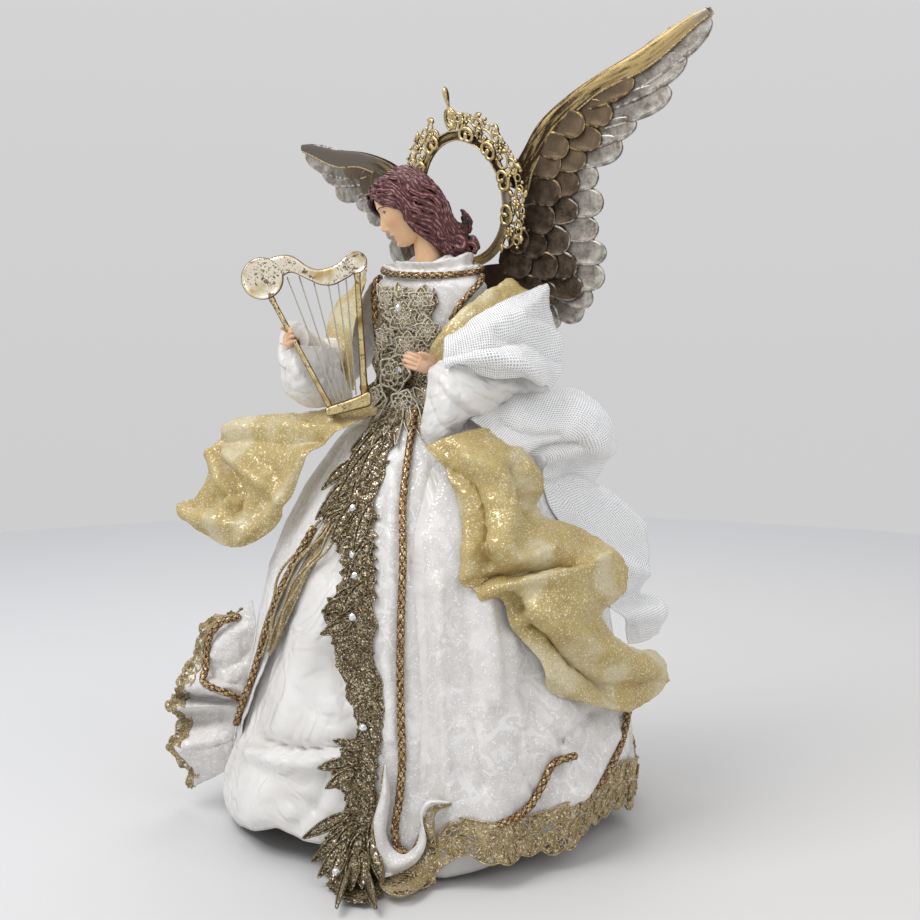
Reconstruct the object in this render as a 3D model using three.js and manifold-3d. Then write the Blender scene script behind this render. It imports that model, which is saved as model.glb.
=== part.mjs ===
// Angel figurine: a cloth-dressed angel on a round base, holding a harp, with a metal
// halo and a pair of metal wings that lift out of a socket on its back.
// Millimetres, +Z up, origin at the middle of the underside. The angel faces -Y and its
// left hand is on +X. A heading is an angle in degrees about Z, 0 at the front (-Y) and
// growing towards +X.
import * as THREE from 'three';
import { mergeVertices } from 'three/addons/utils/BufferGeometryUtils.js';
import Module from 'manifold-3d';

const wasm = await Module();
wasm.setup();

// Driving dimensions
const gap = 0.3;
const slideGap = 0.4;
const overrun = 2;

const feltRadius = 77;
const feltThickness = 1.5;
const boardRadius = 79;
const boardThickness = 3;
const dowelRadius = 4;
const dowelReach = 27;
const coneBottomRadius = 74;
const coneTopRadius = 17;
const coneWall = 2.2;

const skirtHeight = 235;
const hemRadius = 112;
const skirtFloor = 2.2;
const satinInset = 2;
const satinThickness = 1;
const satinFoldDepth = 2.5;
const satinTuck = 18;
const satinHemLift = 7;
const robeThickness = 1.2;
const robeFoldDepth = 9;
const robeHem = 31;
const robeHemWave = 4;
const robeHemLift = 6;
const robeTuck = 4;

const torsoHeight = 68;
const shoulderHalfWidth = 37;
const chestHalfDepth = 25;
const bodiceThickness = 1.5;
const neckRadius = 8.2;
const collarHeight = 10;
const collarThickness = 2.4;

const cordRadius = 1.8;
const neckCordRadius = 1.6;
const laceThickness = 1.1;
const laceFlare = 29;
const laceFlareHeight = 32;
const hemLaceFlare = 5;
const hemLaceDrop = 21;
const hemLaceSideDrop = 10;
const hemLaceScallop = 3;
const clothThickness = 1.6;
const clothFold = 3.2;
const gauzeThickness = 1.4;
const gauzeFold = 2.6;
const crystalRadius = 2.2;
const crystalHeight = 1.7;
const flowerRadius = 9;
const flowerThickness = 1.6;

const headHalfHeight = 19.5;
const headTurn = 40;
const headTilt = 24;
const armRadius = 1.3;
const sleeveRadius = 12.5;
const handLength = 19;

const wingSpan = 160;
const wingRise = 108;
const wingThickness = 2.2;
const wingSweep = 35;
const wingRoll = 9;
const wingLean = 8;
const wingMountOffset = 4;
const wingMountStandoff = 9;
const wingMountDrop = 3;
const bridgeHalfWidth = 34;
const bridgeDrop = 22;
const bridgeThickness = 2.4;
const flatHalfWidth = 10;
const tabHalfWidth = 9;
const tabEnd = 56;
const socketWall = 3.4;
const socketMouth = 30;
const socketReach = 14;

const haloCentreU = 2;
const haloCentreW = 45;
const haloHalfWidth = 29;
const haloHalfHeight = 32;
const haloBand = 6;
const haloThickness = 2.4;
const lobeRadius = 8;
const lobeHole = 4.2;
const lobeOverlap = 2;
const finialOffset = 3;
const finialHeight = 24;
const finialRadius = 2.6;

const harpOffset = 14.5;
const harpStandoff = 40;
const harpRise = 33;
const harpHeading = 45;
const harpNeckThickness = 5;
const harpBaseThickness = 7;
const harpDiscRadius = 11;
const harpScrollRadius = 5.8;
const harpHeight = 85;
const pillarRadius = 1.4;
const columnRadius = 1.5;
const columnFootRadius = 2;
const stringRadius = 0.4;
const stringCount = 6;

const SIDES = 8;

// Places and shapes

const radians = (degrees) => THREE.MathUtils.degToRad(degrees);

function heading(degrees) {
  return new THREE.Vector3(Math.sin(radians(degrees)), -Math.cos(radians(degrees)), 0);
}

function lookUp(rows, key, column = 1) {
  const last = rows.length - 1;
  if (key <= rows[0][0]) return rows[0][column];
  if (key >= rows[last][0]) return rows[last][column];
  const after = rows.findIndex((row) => row[0] >= key);
  const [a, b] = [rows[after - 1], rows[after]];
  return THREE.MathUtils.mapLinear(key, a[0], b[0], a[column], b[column]);
}

function smooth(value, low, high) {
  return THREE.MathUtils.smoothstep(value, low, high);
}

// Share of the skirt's height, share of the hem's radius.
const skirtShares = [
  [0, 1], [0.13, 0.99], [0.27, 0.95], [0.42, 0.87], [0.51, 0.84], [0.61, 0.79],
  [0.71, 0.71], [0.8, 0.61], [0.9, 0.46], [0.95, 0.37], [1, 0.24],
];

function skirtRadius(z) {
  return hemRadius * lookUp(skirtShares, z / skirtHeight);
}

// The hem is drawn in on the angel's left and behind.
function tuck(degrees, z) {
  const side = smooth(degrees, 40, 90) * (1 - smooth(degrees, 250, 300));
  return side * Math.max(0, 1 - z / (skirtHeight / 2));
}

// A row of folds: 0 in the valleys, 1 on the ridges. Each wave is [share, folds, turn].
function foldWave(degrees, waves) {
  return waves.reduce((sum, [share, folds, turn]) =>
    sum + share * Math.cos(radians(folds * degrees + turn)), 0.5);
}

const satinWaveShares = [[0.3, 7, 0], [0.2, 12, 50]];
const robeWaveShares = [[0.36, 12, 40], [0.14, 17, 70]];

function satinRadius(degrees, z) {
  const wave = foldWave(degrees, satinWaveShares);
  const fold = satinFoldDepth * (1 - wave) * (1 - z / skirtHeight);
  return skirtRadius(z) - satinInset - fold - satinTuck * tuck(degrees, z);
}

function robeRadius(degrees, z) {
  const wave = foldWave(degrees, robeWaveShares);
  const calm = smooth(degrees, 40, 62) * (1 - smooth(degrees, 296, 330));
  const fade = Math.pow(Math.max(0, 1 - z / skirtHeight), 0.8);
  return skirtRadius(z) + robeFoldDepth * wave * calm * fade - robeTuck * tuck(degrees, z);
}

// Headings of the robe's two front edges against the share of the skirt's height.
const robeEdgeShares = [
  [0, -38, 27], [0.1, -36, 27], [0.2, -32, 29], [0.3, -26, 30], [0.4, -20, 27], [0.5, -16, 22],
  [0.62, -9, 17], [0.71, -3, 14], [0.8, 1, 14], [0.9, 3, 18], [1, 6, 28],
];

const robeLeftEdge = (z) => 360 + lookUp(robeEdgeShares, z / skirtHeight, 1);
const robeRightEdge = (z) => lookUp(robeEdgeShares, z / skirtHeight, 2);

function polar(degrees, radius, z) {
  return heading(degrees).multiplyScalar(radius).setZ(z);
}

// A place on the skirt: heading, share of its height and standoff in shares of its hem.
function onSkirt([degrees, heightShare, standoffShare]) {
  const z = heightShare * skirtHeight;
  return polar(degrees, skirtRadius(z) + standoffShare * hemRadius, z);
}

// Share of the torso's height, then half width and half depth in shares of their largest.
const torsoShares = [
  [0, 0.7, 0.84], [0.15, 0.7, 0.84], [0.35, 0.79, 0.96], [0.55, 0.9, 1],
  [0.75, 0.98, 0.92], [0.9, 1, 0.84], [1, 0.84, 0.72],
];

function onTorso(degrees, share, standoff) {
  const halfWidth = shoulderHalfWidth * lookUp(torsoShares, share, 1) + standoff;
  const halfDepth = chestHalfDepth * lookUp(torsoShares, share, 2) + standoff;
  const z = skirtHeight + gap + share * torsoHeight;
  return new THREE.Vector3(
    halfWidth * Math.sin(radians(degrees)),
    -halfDepth * Math.cos(radians(degrees)),
    z,
  );
}

// Closed solids from rings and grids of points

function solidFrom(points, triangles) {
  const geometry = new THREE.BufferGeometry();
  const numbers = points.flatMap((p) => p.toArray());
  geometry.setAttribute('position', new THREE.Float32BufferAttribute(numbers, 3));
  geometry.setIndex(signedVolume(points, triangles) < 0 ? triangles.map(flipped) : triangles);
  return geometry;
}

function signedVolume(points, triangles) {
  let sum = 0;
  for (let i = 0; i < triangles.length; i += 3) {
    const [a, b, c] = [points[triangles[i]], points[triangles[i + 1]], points[triangles[i + 2]]];
    sum += a.dot(new THREE.Vector3().crossVectors(b, c));
  }
  return sum;
}

function flipped(corner, position, all) {
  const place = position % 3;
  return place === 0 ? corner : all[position + (place === 1 ? 1 : -1)];
}

function quad(list, a, b, c, d) {
  list.push(a, b, c, a, c, d);
}

// Two grids of points, [row][column], closed along their borders into one body.
function shell(outer, inner, wraps = false) {
  const rows = outer.length;
  const columns = outer[0].length;
  const far = rows * columns;
  const at = (row, column) => row * columns + (column % columns);
  const triangles = [];
  const lastColumn = wraps ? columns : columns - 1;
  for (let r = 0; r < rows - 1; r += 1) {
    for (let c = 0; c < lastColumn; c += 1) {
      const [a, b, d, e] = [at(r, c), at(r, c + 1), at(r + 1, c + 1), at(r + 1, c)];
      quad(triangles, a, b, d, e);
      quad(triangles, far + a, far + e, far + d, far + b);
    }
  }
  for (let c = 0; c < lastColumn; c += 1) {
    const [a, b, d, e] = [at(0, c), at(0, c + 1), at(rows - 1, c), at(rows - 1, c + 1)];
    quad(triangles, a, far + a, far + b, b);
    quad(triangles, d, e, far + e, far + d);
  }
  for (let r = 0; !wraps && r < rows - 1; r += 1) {
    const [a, b, d, e] = [at(r, 0), at(r + 1, 0), at(r, columns - 1), at(r + 1, columns - 1)];
    quad(triangles, a, b, far + b, far + a);
    quad(triangles, d, far + d, far + e, e);
  }
  return solidFrom([...outer.flat(), ...inner.flat()], triangles);
}

function grid(rows, columns, place) {
  return Array.from({ length: rows }, (_, r) =>
    Array.from({ length: columns }, (_, c) => place(c / (columns - 1), r / (rows - 1))));
}

function ringGrid(rows, columns, place) {
  return Array.from({ length: rows }, (_, r) =>
    Array.from({ length: columns }, (_, c) => place(c / columns, r / (rows - 1))));
}

// A stack of rings closed by a flat fan at each end.
function loft(rings) {
  const sides = rings[0].length;
  const points = rings.flat();
  const triangles = [];
  for (let r = 0; r < rings.length - 1; r += 1) {
    for (let s = 0; s < sides; s += 1) {
      const next = (s + 1) % sides;
      quad(triangles, r * sides + s, r * sides + next, (r + 1) * sides + next, (r + 1) * sides + s);
    }
  }
  const last = (rings.length - 1) * sides;
  for (let s = 1; s < sides - 1; s += 1) {
    triangles.push(0, s + 1, s, last, last + s, last + s + 1);
  }
  return solidFrom(points, triangles);
}

// A limb: rings of the given half widths, square to a path through the given places.
function limb(places, radii, sides = SIDES, steps = 2 * places.length) {
  const path = new THREE.CatmullRomCurve3(places);
  const across = places[1].clone().sub(places[0]).cross(new THREE.Vector3(0, 0, 1));
  if (across.lengthSq() === 0) across.set(1, 0, 0);
  const rings = Array.from({ length: steps + 1 }, (_, i) => {
    const share = i / steps;
    const tangent = path.getTangent(share);
    across.addScaledVector(tangent, -across.dot(tangent)).normalize();
    const up = new THREE.Vector3().crossVectors(tangent, across);
    const index = share * (radii.length - 1);
    const low = Math.min(Math.floor(index), radii.length - 2);
    const [wide, tall] = radii[low].map((size, k) =>
      THREE.MathUtils.lerp(size, radii[low + 1][k], index - low));
    return Array.from({ length: sides }, (_, s) => {
      const turn = (2 * Math.PI * s) / sides;
      return path.getPoint(share)
        .addScaledVector(across, wide * Math.cos(turn))
        .addScaledVector(up, tall * Math.sin(turn));
    });
  });
  return loft(rings);
}

// A limb of one round radius.
function rod(places, radius, sides, steps) {
  return limb(places, [[radius, radius], [radius, radius]], sides, steps);
}

// A round cord swept along a route.
function cord(places, radius, steps, sides = 6) {
  const outline = Array.from({ length: sides }, (_, s) => {
    const turn = (2 * Math.PI * s) / sides;
    return new THREE.Vector2(radius * Math.cos(turn), radius * Math.sin(turn));
  });
  return new THREE.ExtrudeGeometry(new THREE.Shape(outline), {
    steps, bevelEnabled: false, extrudePath: new THREE.CatmullRomCurve3(places),
  });
}

// The grid with its four borders pushed outwards in its own surface.
function widened(middle, rim) {
  const push = (edge, next) =>
    edge.clone().addScaledVector(edge.clone().sub(next).normalize(), rim);
  const rows = middle.map((row) =>
    [push(row[0], row[1]), ...row.slice(1, -1), push(row.at(-1), row.at(-2))]);
  const first = rows[0].map((p, c) => push(p, rows[1][c]));
  const last = rows.at(-1).map((p, c) => push(p, rows.at(-2)[c]));
  return [first, ...rows.slice(1, -1), last];
}

function normalsOf(sheet) {
  const [lastRow, lastColumn] = [sheet.length - 1, sheet[0].length - 1];
  return sheet.map((row, r) => row.map((_, c) => {
    const along = sheet[Math.min(r + 1, lastRow)][c].clone().sub(sheet[Math.max(r - 1, 0)][c]);
    const across = row[Math.min(c + 1, lastColumn)].clone().sub(row[Math.max(c - 1, 0)]);
    return along.cross(across).normalize();
  }));
}

// Each point moved along its normal by distance(across, along), both running 0 to 1.
function movedOut(sheet, normals, distance) {
  return sheet.map((row, r) => row.map((p, c) =>
    p.clone().addScaledVector(normals[r][c], distance(c / (row.length - 1), r / (sheet.length - 1)))));
}

// Cloth through rows of places, with folds running down its length, thickened equally
// to both sides. The cloth: thickness, fold depth, folds across, steps along and across.
function drape(rows, cloth, extra = 0) {
  const lengthwise = rows[0].map((_, c) => new THREE.CatmullRomCurve3(rows.map((row) => row[c])));
  const flat = grid(cloth.lengthSteps + 1, cloth.widthSteps + 1, (across, along) =>
    new THREE.CatmullRomCurve3(lengthwise.map((curve) => curve.getPoint(along))).getPoint(across));
  const folded = movedOut(flat, normalsOf(flat), (across, along) => {
    const turn = 2 * Math.PI * cloth.folds * (across + 0.2 * along);
    return cloth.foldDepth * Math.sin(turn) * Math.sin(Math.PI * along);
  });
  const middle = widened(folded, extra);
  const normals = normalsOf(middle);
  const half = cloth.thickness / 2 + extra;
  return shell(movedOut(middle, normals, () => half), movedOut(middle, normals, () => -half));
}

function ellipsoid(halfWidth, halfDepth, halfHeight, sides = 10) {
  const geometry = new THREE.SphereGeometry(1, sides, 6);
  return geometry.scale(halfWidth, halfHeight, halfDepth).rotateX(Math.PI / 2);
}

// Boolean work

function toManifold(geometry) {
  const bare = new THREE.BufferGeometry();
  bare.setAttribute('position', geometry.getAttribute('position').clone());
  if (geometry.index) bare.setIndex(geometry.index.clone());
  const merged = mergeVertices(bare);
  return new wasm.Manifold(new wasm.Mesh({
    numProp: 3,
    vertProperties: new Float32Array(merged.getAttribute('position').array),
    triVerts: new Uint32Array(merged.index.array),
  }));
}

// The geometry of the largest of a manifold's separate bodies.
function fromManifold(manifold) {
  const mesh = manifold.getMesh();
  const corners = Array.from({ length: mesh.vertProperties.length / mesh.numProp }, (_, i) =>
    new THREE.Vector3().fromArray(mesh.vertProperties, i * mesh.numProp));
  const group = corners.map((_, i) => i);
  const root = (i) => {
    while (group[i] !== i) i = group[i];
    return i;
  };
  for (let t = 0; t < mesh.triVerts.length; t += 3) {
    group[root(mesh.triVerts[t + 1])] = root(mesh.triVerts[t]);
    group[root(mesh.triVerts[t + 2])] = root(mesh.triVerts[t]);
  }
  const bodies = new Map();
  for (let t = 0; t < mesh.triVerts.length; t += 3) {
    const key = root(mesh.triVerts[t]);
    if (!bodies.has(key)) bodies.set(key, []);
    bodies.get(key).push(...mesh.triVerts.slice(t, t + 3));
  }
  const largest = [...bodies.values()].reduce((best, body) =>
    (Math.abs(signedVolume(corners, body)) > Math.abs(signedVolume(corners, best)) ? body : best));
  return solidFrom(corners, largest);
}

function join(...geometries) {
  return fromManifold(geometries.map(toManifold).reduce((sum, next) => sum.add(next)));
}

function cut(geometry, ...cutters) {
  const rest = cutters.map(toManifold).reduce((left, cutter) => left.subtract(cutter), toManifold(geometry));
  return fromManifold(rest);
}

// The object's group and its looks

const angel = new THREE.Group();
angel.name = 'angel_figurine';

function add(name, geometry, colour, roughness, metalness, parent = angel) {
  const material = new THREE.MeshStandardMaterial({ color: colour, roughness, metalness });
  const mesh = new THREE.Mesh(geometry, material);
  mesh.name = name;
  parent.add(mesh);
  return mesh;
}

const looks = {
  felt: [0x2f2c2a, 0.95, 0],
  wood: [0xb9905c, 0.6, 0],
  foam: [0xe9e6dc, 0.8, 0],
  card: [0xb5a385, 0.85, 0],
  skin: [0xd8a780, 0.5, 0],
  satin: [0xf1eff0, 0.35, 0],
  brocade: [0xe6e1df, 0.75, 0],
  gauze: [0xe8e9ed, 0.9, 0],
  scarf: [0xb79a55, 0.6, 0.2],
  cord: [0x8a6231, 0.5, 0.4],
  lace: [0x8c7650, 0.6, 0.3],
  crystal: [0xdfe6ee, 0.08, 0],
  wing: [0x7d6a4f, 0.4, 0.9],
  halo: [0xb08a4c, 0.35, 0.9],
  gold: [0xc7a35a, 0.3, 0.9],
  wire: [0x9a9488, 0.35, 1],
  plastic: [0xddd8cc, 0.5, 0],
};

// Base and inner frame

const boardTop = feltThickness + gap + boardThickness;

function disc(radius, height, bottom, sides = 40) {
  const geometry = new THREE.CylinderGeometry(radius, radius, height, sides);
  return geometry.rotateX(Math.PI / 2).translate(0, 0, bottom + height / 2);
}

function skirtCone() {
  const [bottom, top] = [boardTop + gap, skirtHeight - bodiceThickness];
  const outside = [[coneBottomRadius, bottom], [coneTopRadius, top]];
  const inside = outside.map(([radius, z]) => [radius - coneWall, z]).reverse();
  const profile = [...outside, ...inside, outside[0]].map(([x, y]) => new THREE.Vector2(x, y));
  return new THREE.LatheGeometry(profile, 28).rotateX(Math.PI / 2);
}

// Skirts

const SATIN_ROWS = 7;
const SATIN_SIDES = 30;
const ROBE_ROWS = 8;
const ROBE_COLUMNS = 39;

function satinSkirt(extra = 0, inner = satinThickness) {
  const place = (standoff) => (turn, rise) => {
    const floor = skirtFloor + satinHemLift * tuck(360 * turn, 0) - extra;
    const z = THREE.MathUtils.lerp(floor, skirtHeight - satinThickness + extra, rise);
    return polar(360 * turn, satinRadius(360 * turn, z) + standoff, z);
  };
  const faces = [extra, -inner].map((standoff) => ringGrid(SATIN_ROWS, SATIN_SIDES, place(standoff)));
  return shell(...faces, true);
}

function robeHeading(turn, z, widen) {
  return THREE.MathUtils.lerp(robeRightEdge(z) - widen, robeLeftEdge(z) + widen, turn);
}

// 1 where the hem is caught up on the angel's left, 0 elsewhere.
const caughtUp = (degrees) => smooth(degrees, 62, 92) * (1 - smooth(degrees, 125, 160));

function robeBottom(degrees) {
  const wave = robeHemWave * Math.sin(radians(6 * degrees + 200)) * smooth(degrees, 36, 60);
  return robeHem + wave + robeHemLift * caughtUp(degrees);
}

function robeShell(outset, inset, widen = 0, lengthen = 0) {
  const place = (standoff) => (turn, rise) => {
    const rough = THREE.MathUtils.lerp(robeHem, skirtHeight, rise);
    const degrees = robeHeading(turn, rough, widen);
    const z = THREE.MathUtils.lerp(robeBottom(degrees) - lengthen, skirtHeight + lengthen, rise);
    return polar(degrees, robeRadius(degrees, z) + standoff, z);
  };
  return shell(grid(ROBE_ROWS, ROBE_COLUMNS, place(outset)), grid(ROBE_ROWS, ROBE_COLUMNS, place(inset)));
}

// The space that the skirt and the robe take up, with the gap around them.
function dressSpace() {
  const edgeWiden = 0.3;
  const satin = satinSkirt(gap, 0.2 * hemRadius);
  const robe = robeShell(robeThickness + gap, -satinInset - satinThickness, edgeWiden, gap);
  return toManifold(satin).add(toManifold(robe));
}

const dress = dressSpace();

function fitted(geometry, ...cutters) {
  const outside = toManifold(geometry).subtract(dress);
  return fromManifold(cutters.map(toManifold).reduce((left, cutter) => left.subtract(cutter), outside));
}

// Torso, bodice and collar

const TORSO_ROWS = 7;
const TORSO_SIDES = 18;

function torsoStack(standoff) {
  return ringGrid(TORSO_ROWS, TORSO_SIDES, (turn, rise) => onTorso(360 * turn, rise, standoff));
}

function bodiceShape(extra = 0) {
  return shell(torsoStack(extra), torsoStack(-bodiceThickness - extra), true);
}

function torsoSolid(standoff) {
  return loft(torsoStack(standoff));
}

// Share along the cowl from its outer rim to the neck: half width, half depth, height.
const collarRippleShare = 0.03;
const collarShares = [[0, 0.84, 0.8, 0], [0.35, 0.76, 0.78, 0.5], [0.7, 0.52, 0.6, 0.92], [1, 0.3, 0.44, 1]];

function collarShape(extra = 0) {
  const foot = skirtHeight + gap + torsoHeight + gap;
  const place = (lower) => (turn, share) => {
    const angle = radians(360 * turn);
    const ripple = 1 + collarRippleShare * Math.cos(5 * angle);
    const halfWidth = shoulderHalfWidth * lookUp(collarShares, share, 1) * ripple - lower * (1 - share);
    const halfDepth = chestHalfDepth * lookUp(collarShares, share, 2) * ripple - lower * (1 - share);
    const z = foot + collarHeight * lookUp(collarShares, share, 3) - lower * share;
    return new THREE.Vector3(halfWidth * Math.sin(angle), -halfDepth * Math.cos(angle), z);
  };
  return shell(ringGrid(4, 16, place(-extra)), ringGrid(4, 16, place(collarThickness + extra)), true);
}

const torsoTop = skirtHeight + gap + torsoHeight;

// Head: looks to the angel's right and down. Places are (side, forward, up) shares of
// its half height, in its own turned frame.
const headFrame = new THREE.Object3D();
headFrame.position.set(-0.38 * headHalfHeight, -0.38 * headHalfHeight, 1.9 * headHalfHeight);
headFrame.position.z += skirtHeight + torsoHeight;
headFrame.rotation.set(radians(headTilt), 0, radians(-headTurn), 'ZYX');
headFrame.updateMatrixWorld();

function onHead([sideShare, forwardShare, upShare]) {
  const place = new THREE.Vector3(sideShare, -forwardShare, upShare);
  return place.multiplyScalar(headHalfHeight).applyMatrix4(headFrame.matrixWorld);
}

function headBlob([sideShare, forwardShare, upShare], centreShares, extra) {
  const size = [sideShare, forwardShare, upShare].map((share) => share * headHalfHeight + extra);
  return ellipsoid(...size).applyMatrix4(headFrame.matrixWorld.clone().setPosition(onHead(centreShares)));
}

// Locks of hair: places down the lock, and its radius at even steps, in the same shares.
const lockShares = [
  {
    places: [[0.5, 0.5, 0.72], [0.8, 0.05, 0.15], [0.8, -0.22, -0.62], [0.7, -0.45, -1.25], [0.4, -1, -1.85]],
    radii: [0.2, 0.34, 0.36, 0.32, 0.2],
  },
  {
    places: [[0.1, -0.45, 0.45], [0.15, -0.66, -0.3], [0.25, -0.72, -1], [0.3, -0.95, -1.6]],
    radii: [0.5, 0.4, 0.36, 0.26],
  },
  {
    places: [[0.3, -0.75, -0.8], [0.26, -1.06, -1.16], [0.3, -1.28, -1.05], [0.32, -1.36, -0.8]],
    radii: [0.24, 0.22, 0.18, 0.08],
  },
  {
    places: [[-0.25, 0.6, 0.76], [-0.6, 0.78, 0.36], [-0.72, 0.66, -0.1], [-0.74, 0.3, -0.7],
      [-0.55, 0.4, -1.25]],
    radii: [0.22, 0.22, 0.2, 0.26, 0.18],
  },
  {
    places: [[-0.2, -0.45, 0.3], [-0.5, -0.5, -0.5], [-0.45, -0.5, -1.2], [-0.3, -0.8, -1.7]],
    radii: [0.45, 0.4, 0.36, 0.22],
  },
];

function headShape(extra = 0) {
  const neckFoot = new THREE.Vector3(0, 0, torsoTop - overrun);
  const neckTop = onHead([0, -0.15, -0.5]);
  const neck = rod([neckFoot, neckFoot.clone().lerp(neckTop, 0.5), neckTop], neckRadius + extra, 11, 4);
  const face = headBlob([0.68, 0.87, 0.85], [0, 0.12, 0], extra);
  const jaw = headBlob([0.45, 0.44, 0.42], [0, 0.42, -0.62], extra);
  const nose = headBlob([0.11, 0.17, 0.24], [0, 1, -0.32], extra);
  const crown = headBlob([0.82, 0.86, 0.86], [0, -0.12, 0.1], extra);
  const locks = lockShares.map(({ places, radii }) => {
    const sizes = radii.map((share) => share * headHalfHeight + extra);
    return limb(places.map(onHead), sizes.map((size) => [size, size]), 6, 5);
  });
  return join(neck, face, jaw, nose, crown, ...locks);
}

// Arms, hands and sleeves

// Places down each arm from shoulder to wrist, as shares of the shoulders' half width, the
// chest's half depth and the torso's height.
const armLeftShares = [
  [0.95, 0.4, 0.86], [1.3, 0.95, 0.45], [1.32, 0.75, 0.12], [1.15, -0.3, 0.16], [0.92, -1.2, 0.26],
];
const armRightShares = [
  [-0.95, -0.05, 0.86], [-1.28, -0.25, 0.52], [-1.38, -0.85, 0.29], [-1.22, -1.8, 0.29],
  [-0.98, -2.77, 0.445],
];

function inTorso([sideShare, depthShare, heightShare]) {
  const z = skirtHeight + heightShare * torsoHeight;
  return new THREE.Vector3(sideShare * shoulderHalfWidth, depthShare * chestHalfDepth, z);
}

const armLeft = armLeftShares.map(inTorso);
const armRight = armRightShares.map(inTorso);

// Half width and half height of a sleeve from shoulder to cuff, as shares of its radius.
const sleeveShares = [[0.75, 0.75], [0.95, 0.95], [1.05, 1.1], [0.95, 1.05], [0.75, 1.1]];

// Places of the left cuff's hanging corner from the wrist, then its half width and height,
// as shares of the sleeve's radius.
const cuffShares = [[0.1, 0.1, -0.2], [0.15, 0, -1.2], [0.1, 0.1, -2.5]];
const cuffRadiusShares = [[0.85, 0.7], [0.75, 0.55], [0.35, 0.3]];

function sleeveShape(arm, extra = 0) {
  const sizes = sleeveShares.map((row) => row.map((share) => share * sleeveRadius + extra));
  return limb(arm, sizes, 10, 9);
}

function leftSleeve(extra = 0) {
  const places = cuffShares.map((share) =>
    new THREE.Vector3(...share).multiplyScalar(sleeveRadius).add(armLeft[4]));
  const sizes = cuffRadiusShares.map((row) => row.map((share) => share * sleeveRadius + extra));
  return join(sleeveShape(armLeft, extra), limb(places, sizes, SIDES, 4));
}

// A hand: a palm, four fingers and a thumb from the wrist along the given direction.
function handShape(wrist, direction, side, curl, extra = 0) {
  const palmSide = side.clone().addScaledVector(direction, -side.dot(direction)).normalize();
  const up = new THREE.Vector3().crossVectors(direction, palmSide);
  const place = (alongShare, sideShare, upShare) => wrist.clone()
    .addScaledVector(direction, alongShare * handLength)
    .addScaledVector(palmSide, sideShare * handLength)
    .addScaledVector(up, upShare * handLength);
  const size = (...shares) => shares.map((share) => share * handLength + extra);
  const palm = limb([place(-0.35, 0, 0), place(0, 0, 0), place(0.3, 0, 0), place(0.55, 0, 0)],
    [size(0.17, 0.15), size(0.19, 0.14), size(0.25, 0.13), size(0.22, 0.1)], SIDES, 4);
  const fingers = [-0.17, -0.06, 0.05, 0.16].map((offset) =>
    limb([place(0.45, offset, 0), place(0.75, offset * 1.15, -0.35 * curl), place(1, offset * 1.1, -curl)],
      [size(0.07, 0.07), size(0.055, 0.055)], 6, 3));
  const thumb = limb([place(0.1, -0.15, 0), place(0.4, -0.34, -0.1), place(0.6, -0.36, -0.18)],
    [size(0.08, 0.08), size(0.06, 0.06)], 6, 3);
  return join(palm, ...fingers, thumb);
}

// Trim on the dress

// Headings of the front lace's two edges against the share of the skirt's height.
const frontLaceShares = [
  [0.012, 17, 48], [0.06, 20, 34], [0.18, 22, 32.5], [0.27, 24, 32], [0.38, 23, 31], [0.5, 17, 30],
  [0.6, 9, 28], [0.71, 8, 26], [0.83, 5, 23], [0.9, 10, 23], [0.96, 17, 25], [1, 20, 28],
];

// The lace's left edge runs in and out by this many degrees of heading, this often.
const frontLaceScallop = 1.2;
const frontLaceScallops = 9;

function frontLaceRadius(degrees, z) {
  const flare = laceFlare * Math.max(0, 1 - z / laceFlareHeight) ** 2;
  return Math.max(robeRadius(degrees, z), skirtRadius(z)) + robeThickness + 2 * gap + flare;
}

function frontLace(extra = 0) {
  const place = (standoff) => (across, rise) => {
    const z = THREE.MathUtils.lerp(skirtFloor + laceThickness - extra, skirtHeight + extra, rise);
    const share = z / skirtHeight;
    const rim = extra * (2 * across - 1);
    const scallop = frontLaceScallop * Math.sin(2 * Math.PI * frontLaceScallops * rise);
    const left = lookUp(frontLaceShares, share, 1) + scallop;
    const degrees = THREE.MathUtils.lerp(left, lookUp(frontLaceShares, share, 2), across);
    const face = polar(degrees, frontLaceRadius(degrees, z) + standoff, z);
    return face.addScaledVector(heading(degrees + 90), rim);
  };
  return shell(grid(25, 5, place(laceThickness + extra)), grid(25, 5, place(-extra)));
}

function skirtCord(routeShares, radius, steps) {
  const places = routeShares.map(([degrees, heightShare]) => {
    const z = heightShare * skirtHeight;
    const flap = robeRadius(degrees < 0 ? degrees + 360 : degrees, z);
    return polar(degrees, flap + robeThickness + gap + radius, z);
  });
  return cord(places, radius, steps);
}

const frontCordShares = [
  [31, 0.985], [32, 0.92], [33, 0.8], [35, 0.68], [35.5, 0.51], [36, 0.39], [37, 0.27], [36.5, 0.19],
  [35.5, 0.125], [36.5, 0.085], [40, 0.075], [42.5, 0.115],
];
const hemCordShares = [[60, 0.135], [66, 0.14], [71, 0.155], [75, 0.2], [78, 0.24], [85, 0.25]];
const sideCordShares = [[120, 0.3], [110, 0.23], [101, 0.18], [94, 0.157]];

// The cord on the robe's other edge keeps this many degrees of heading outside it.
const openingCordInset = 3;
const openingCordShares = [0.73, 0.65, 0.56, 0.465, 0.37, 0.3, 0.24].map((share) =>
  [robeLeftEdge(share * skirtHeight) - 360 - openingCordInset, share]);

function openingLace() {
  const place = (standoff) => (across, rise) => {
    const z = skirtHeight * THREE.MathUtils.lerp(0.45, 0.74, rise);
    const width = THREE.MathUtils.lerp(0.8, 6.5, across) * Math.sin(radians(40 + 110 * rise));
    return polar(robeLeftEdge(z) - 360 + width, skirtRadius(z) + standoff, z);
  };
  return shell(grid(9, 3, place(laceThickness + gap)), grid(9, 3, place(gap)));
}

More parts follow.
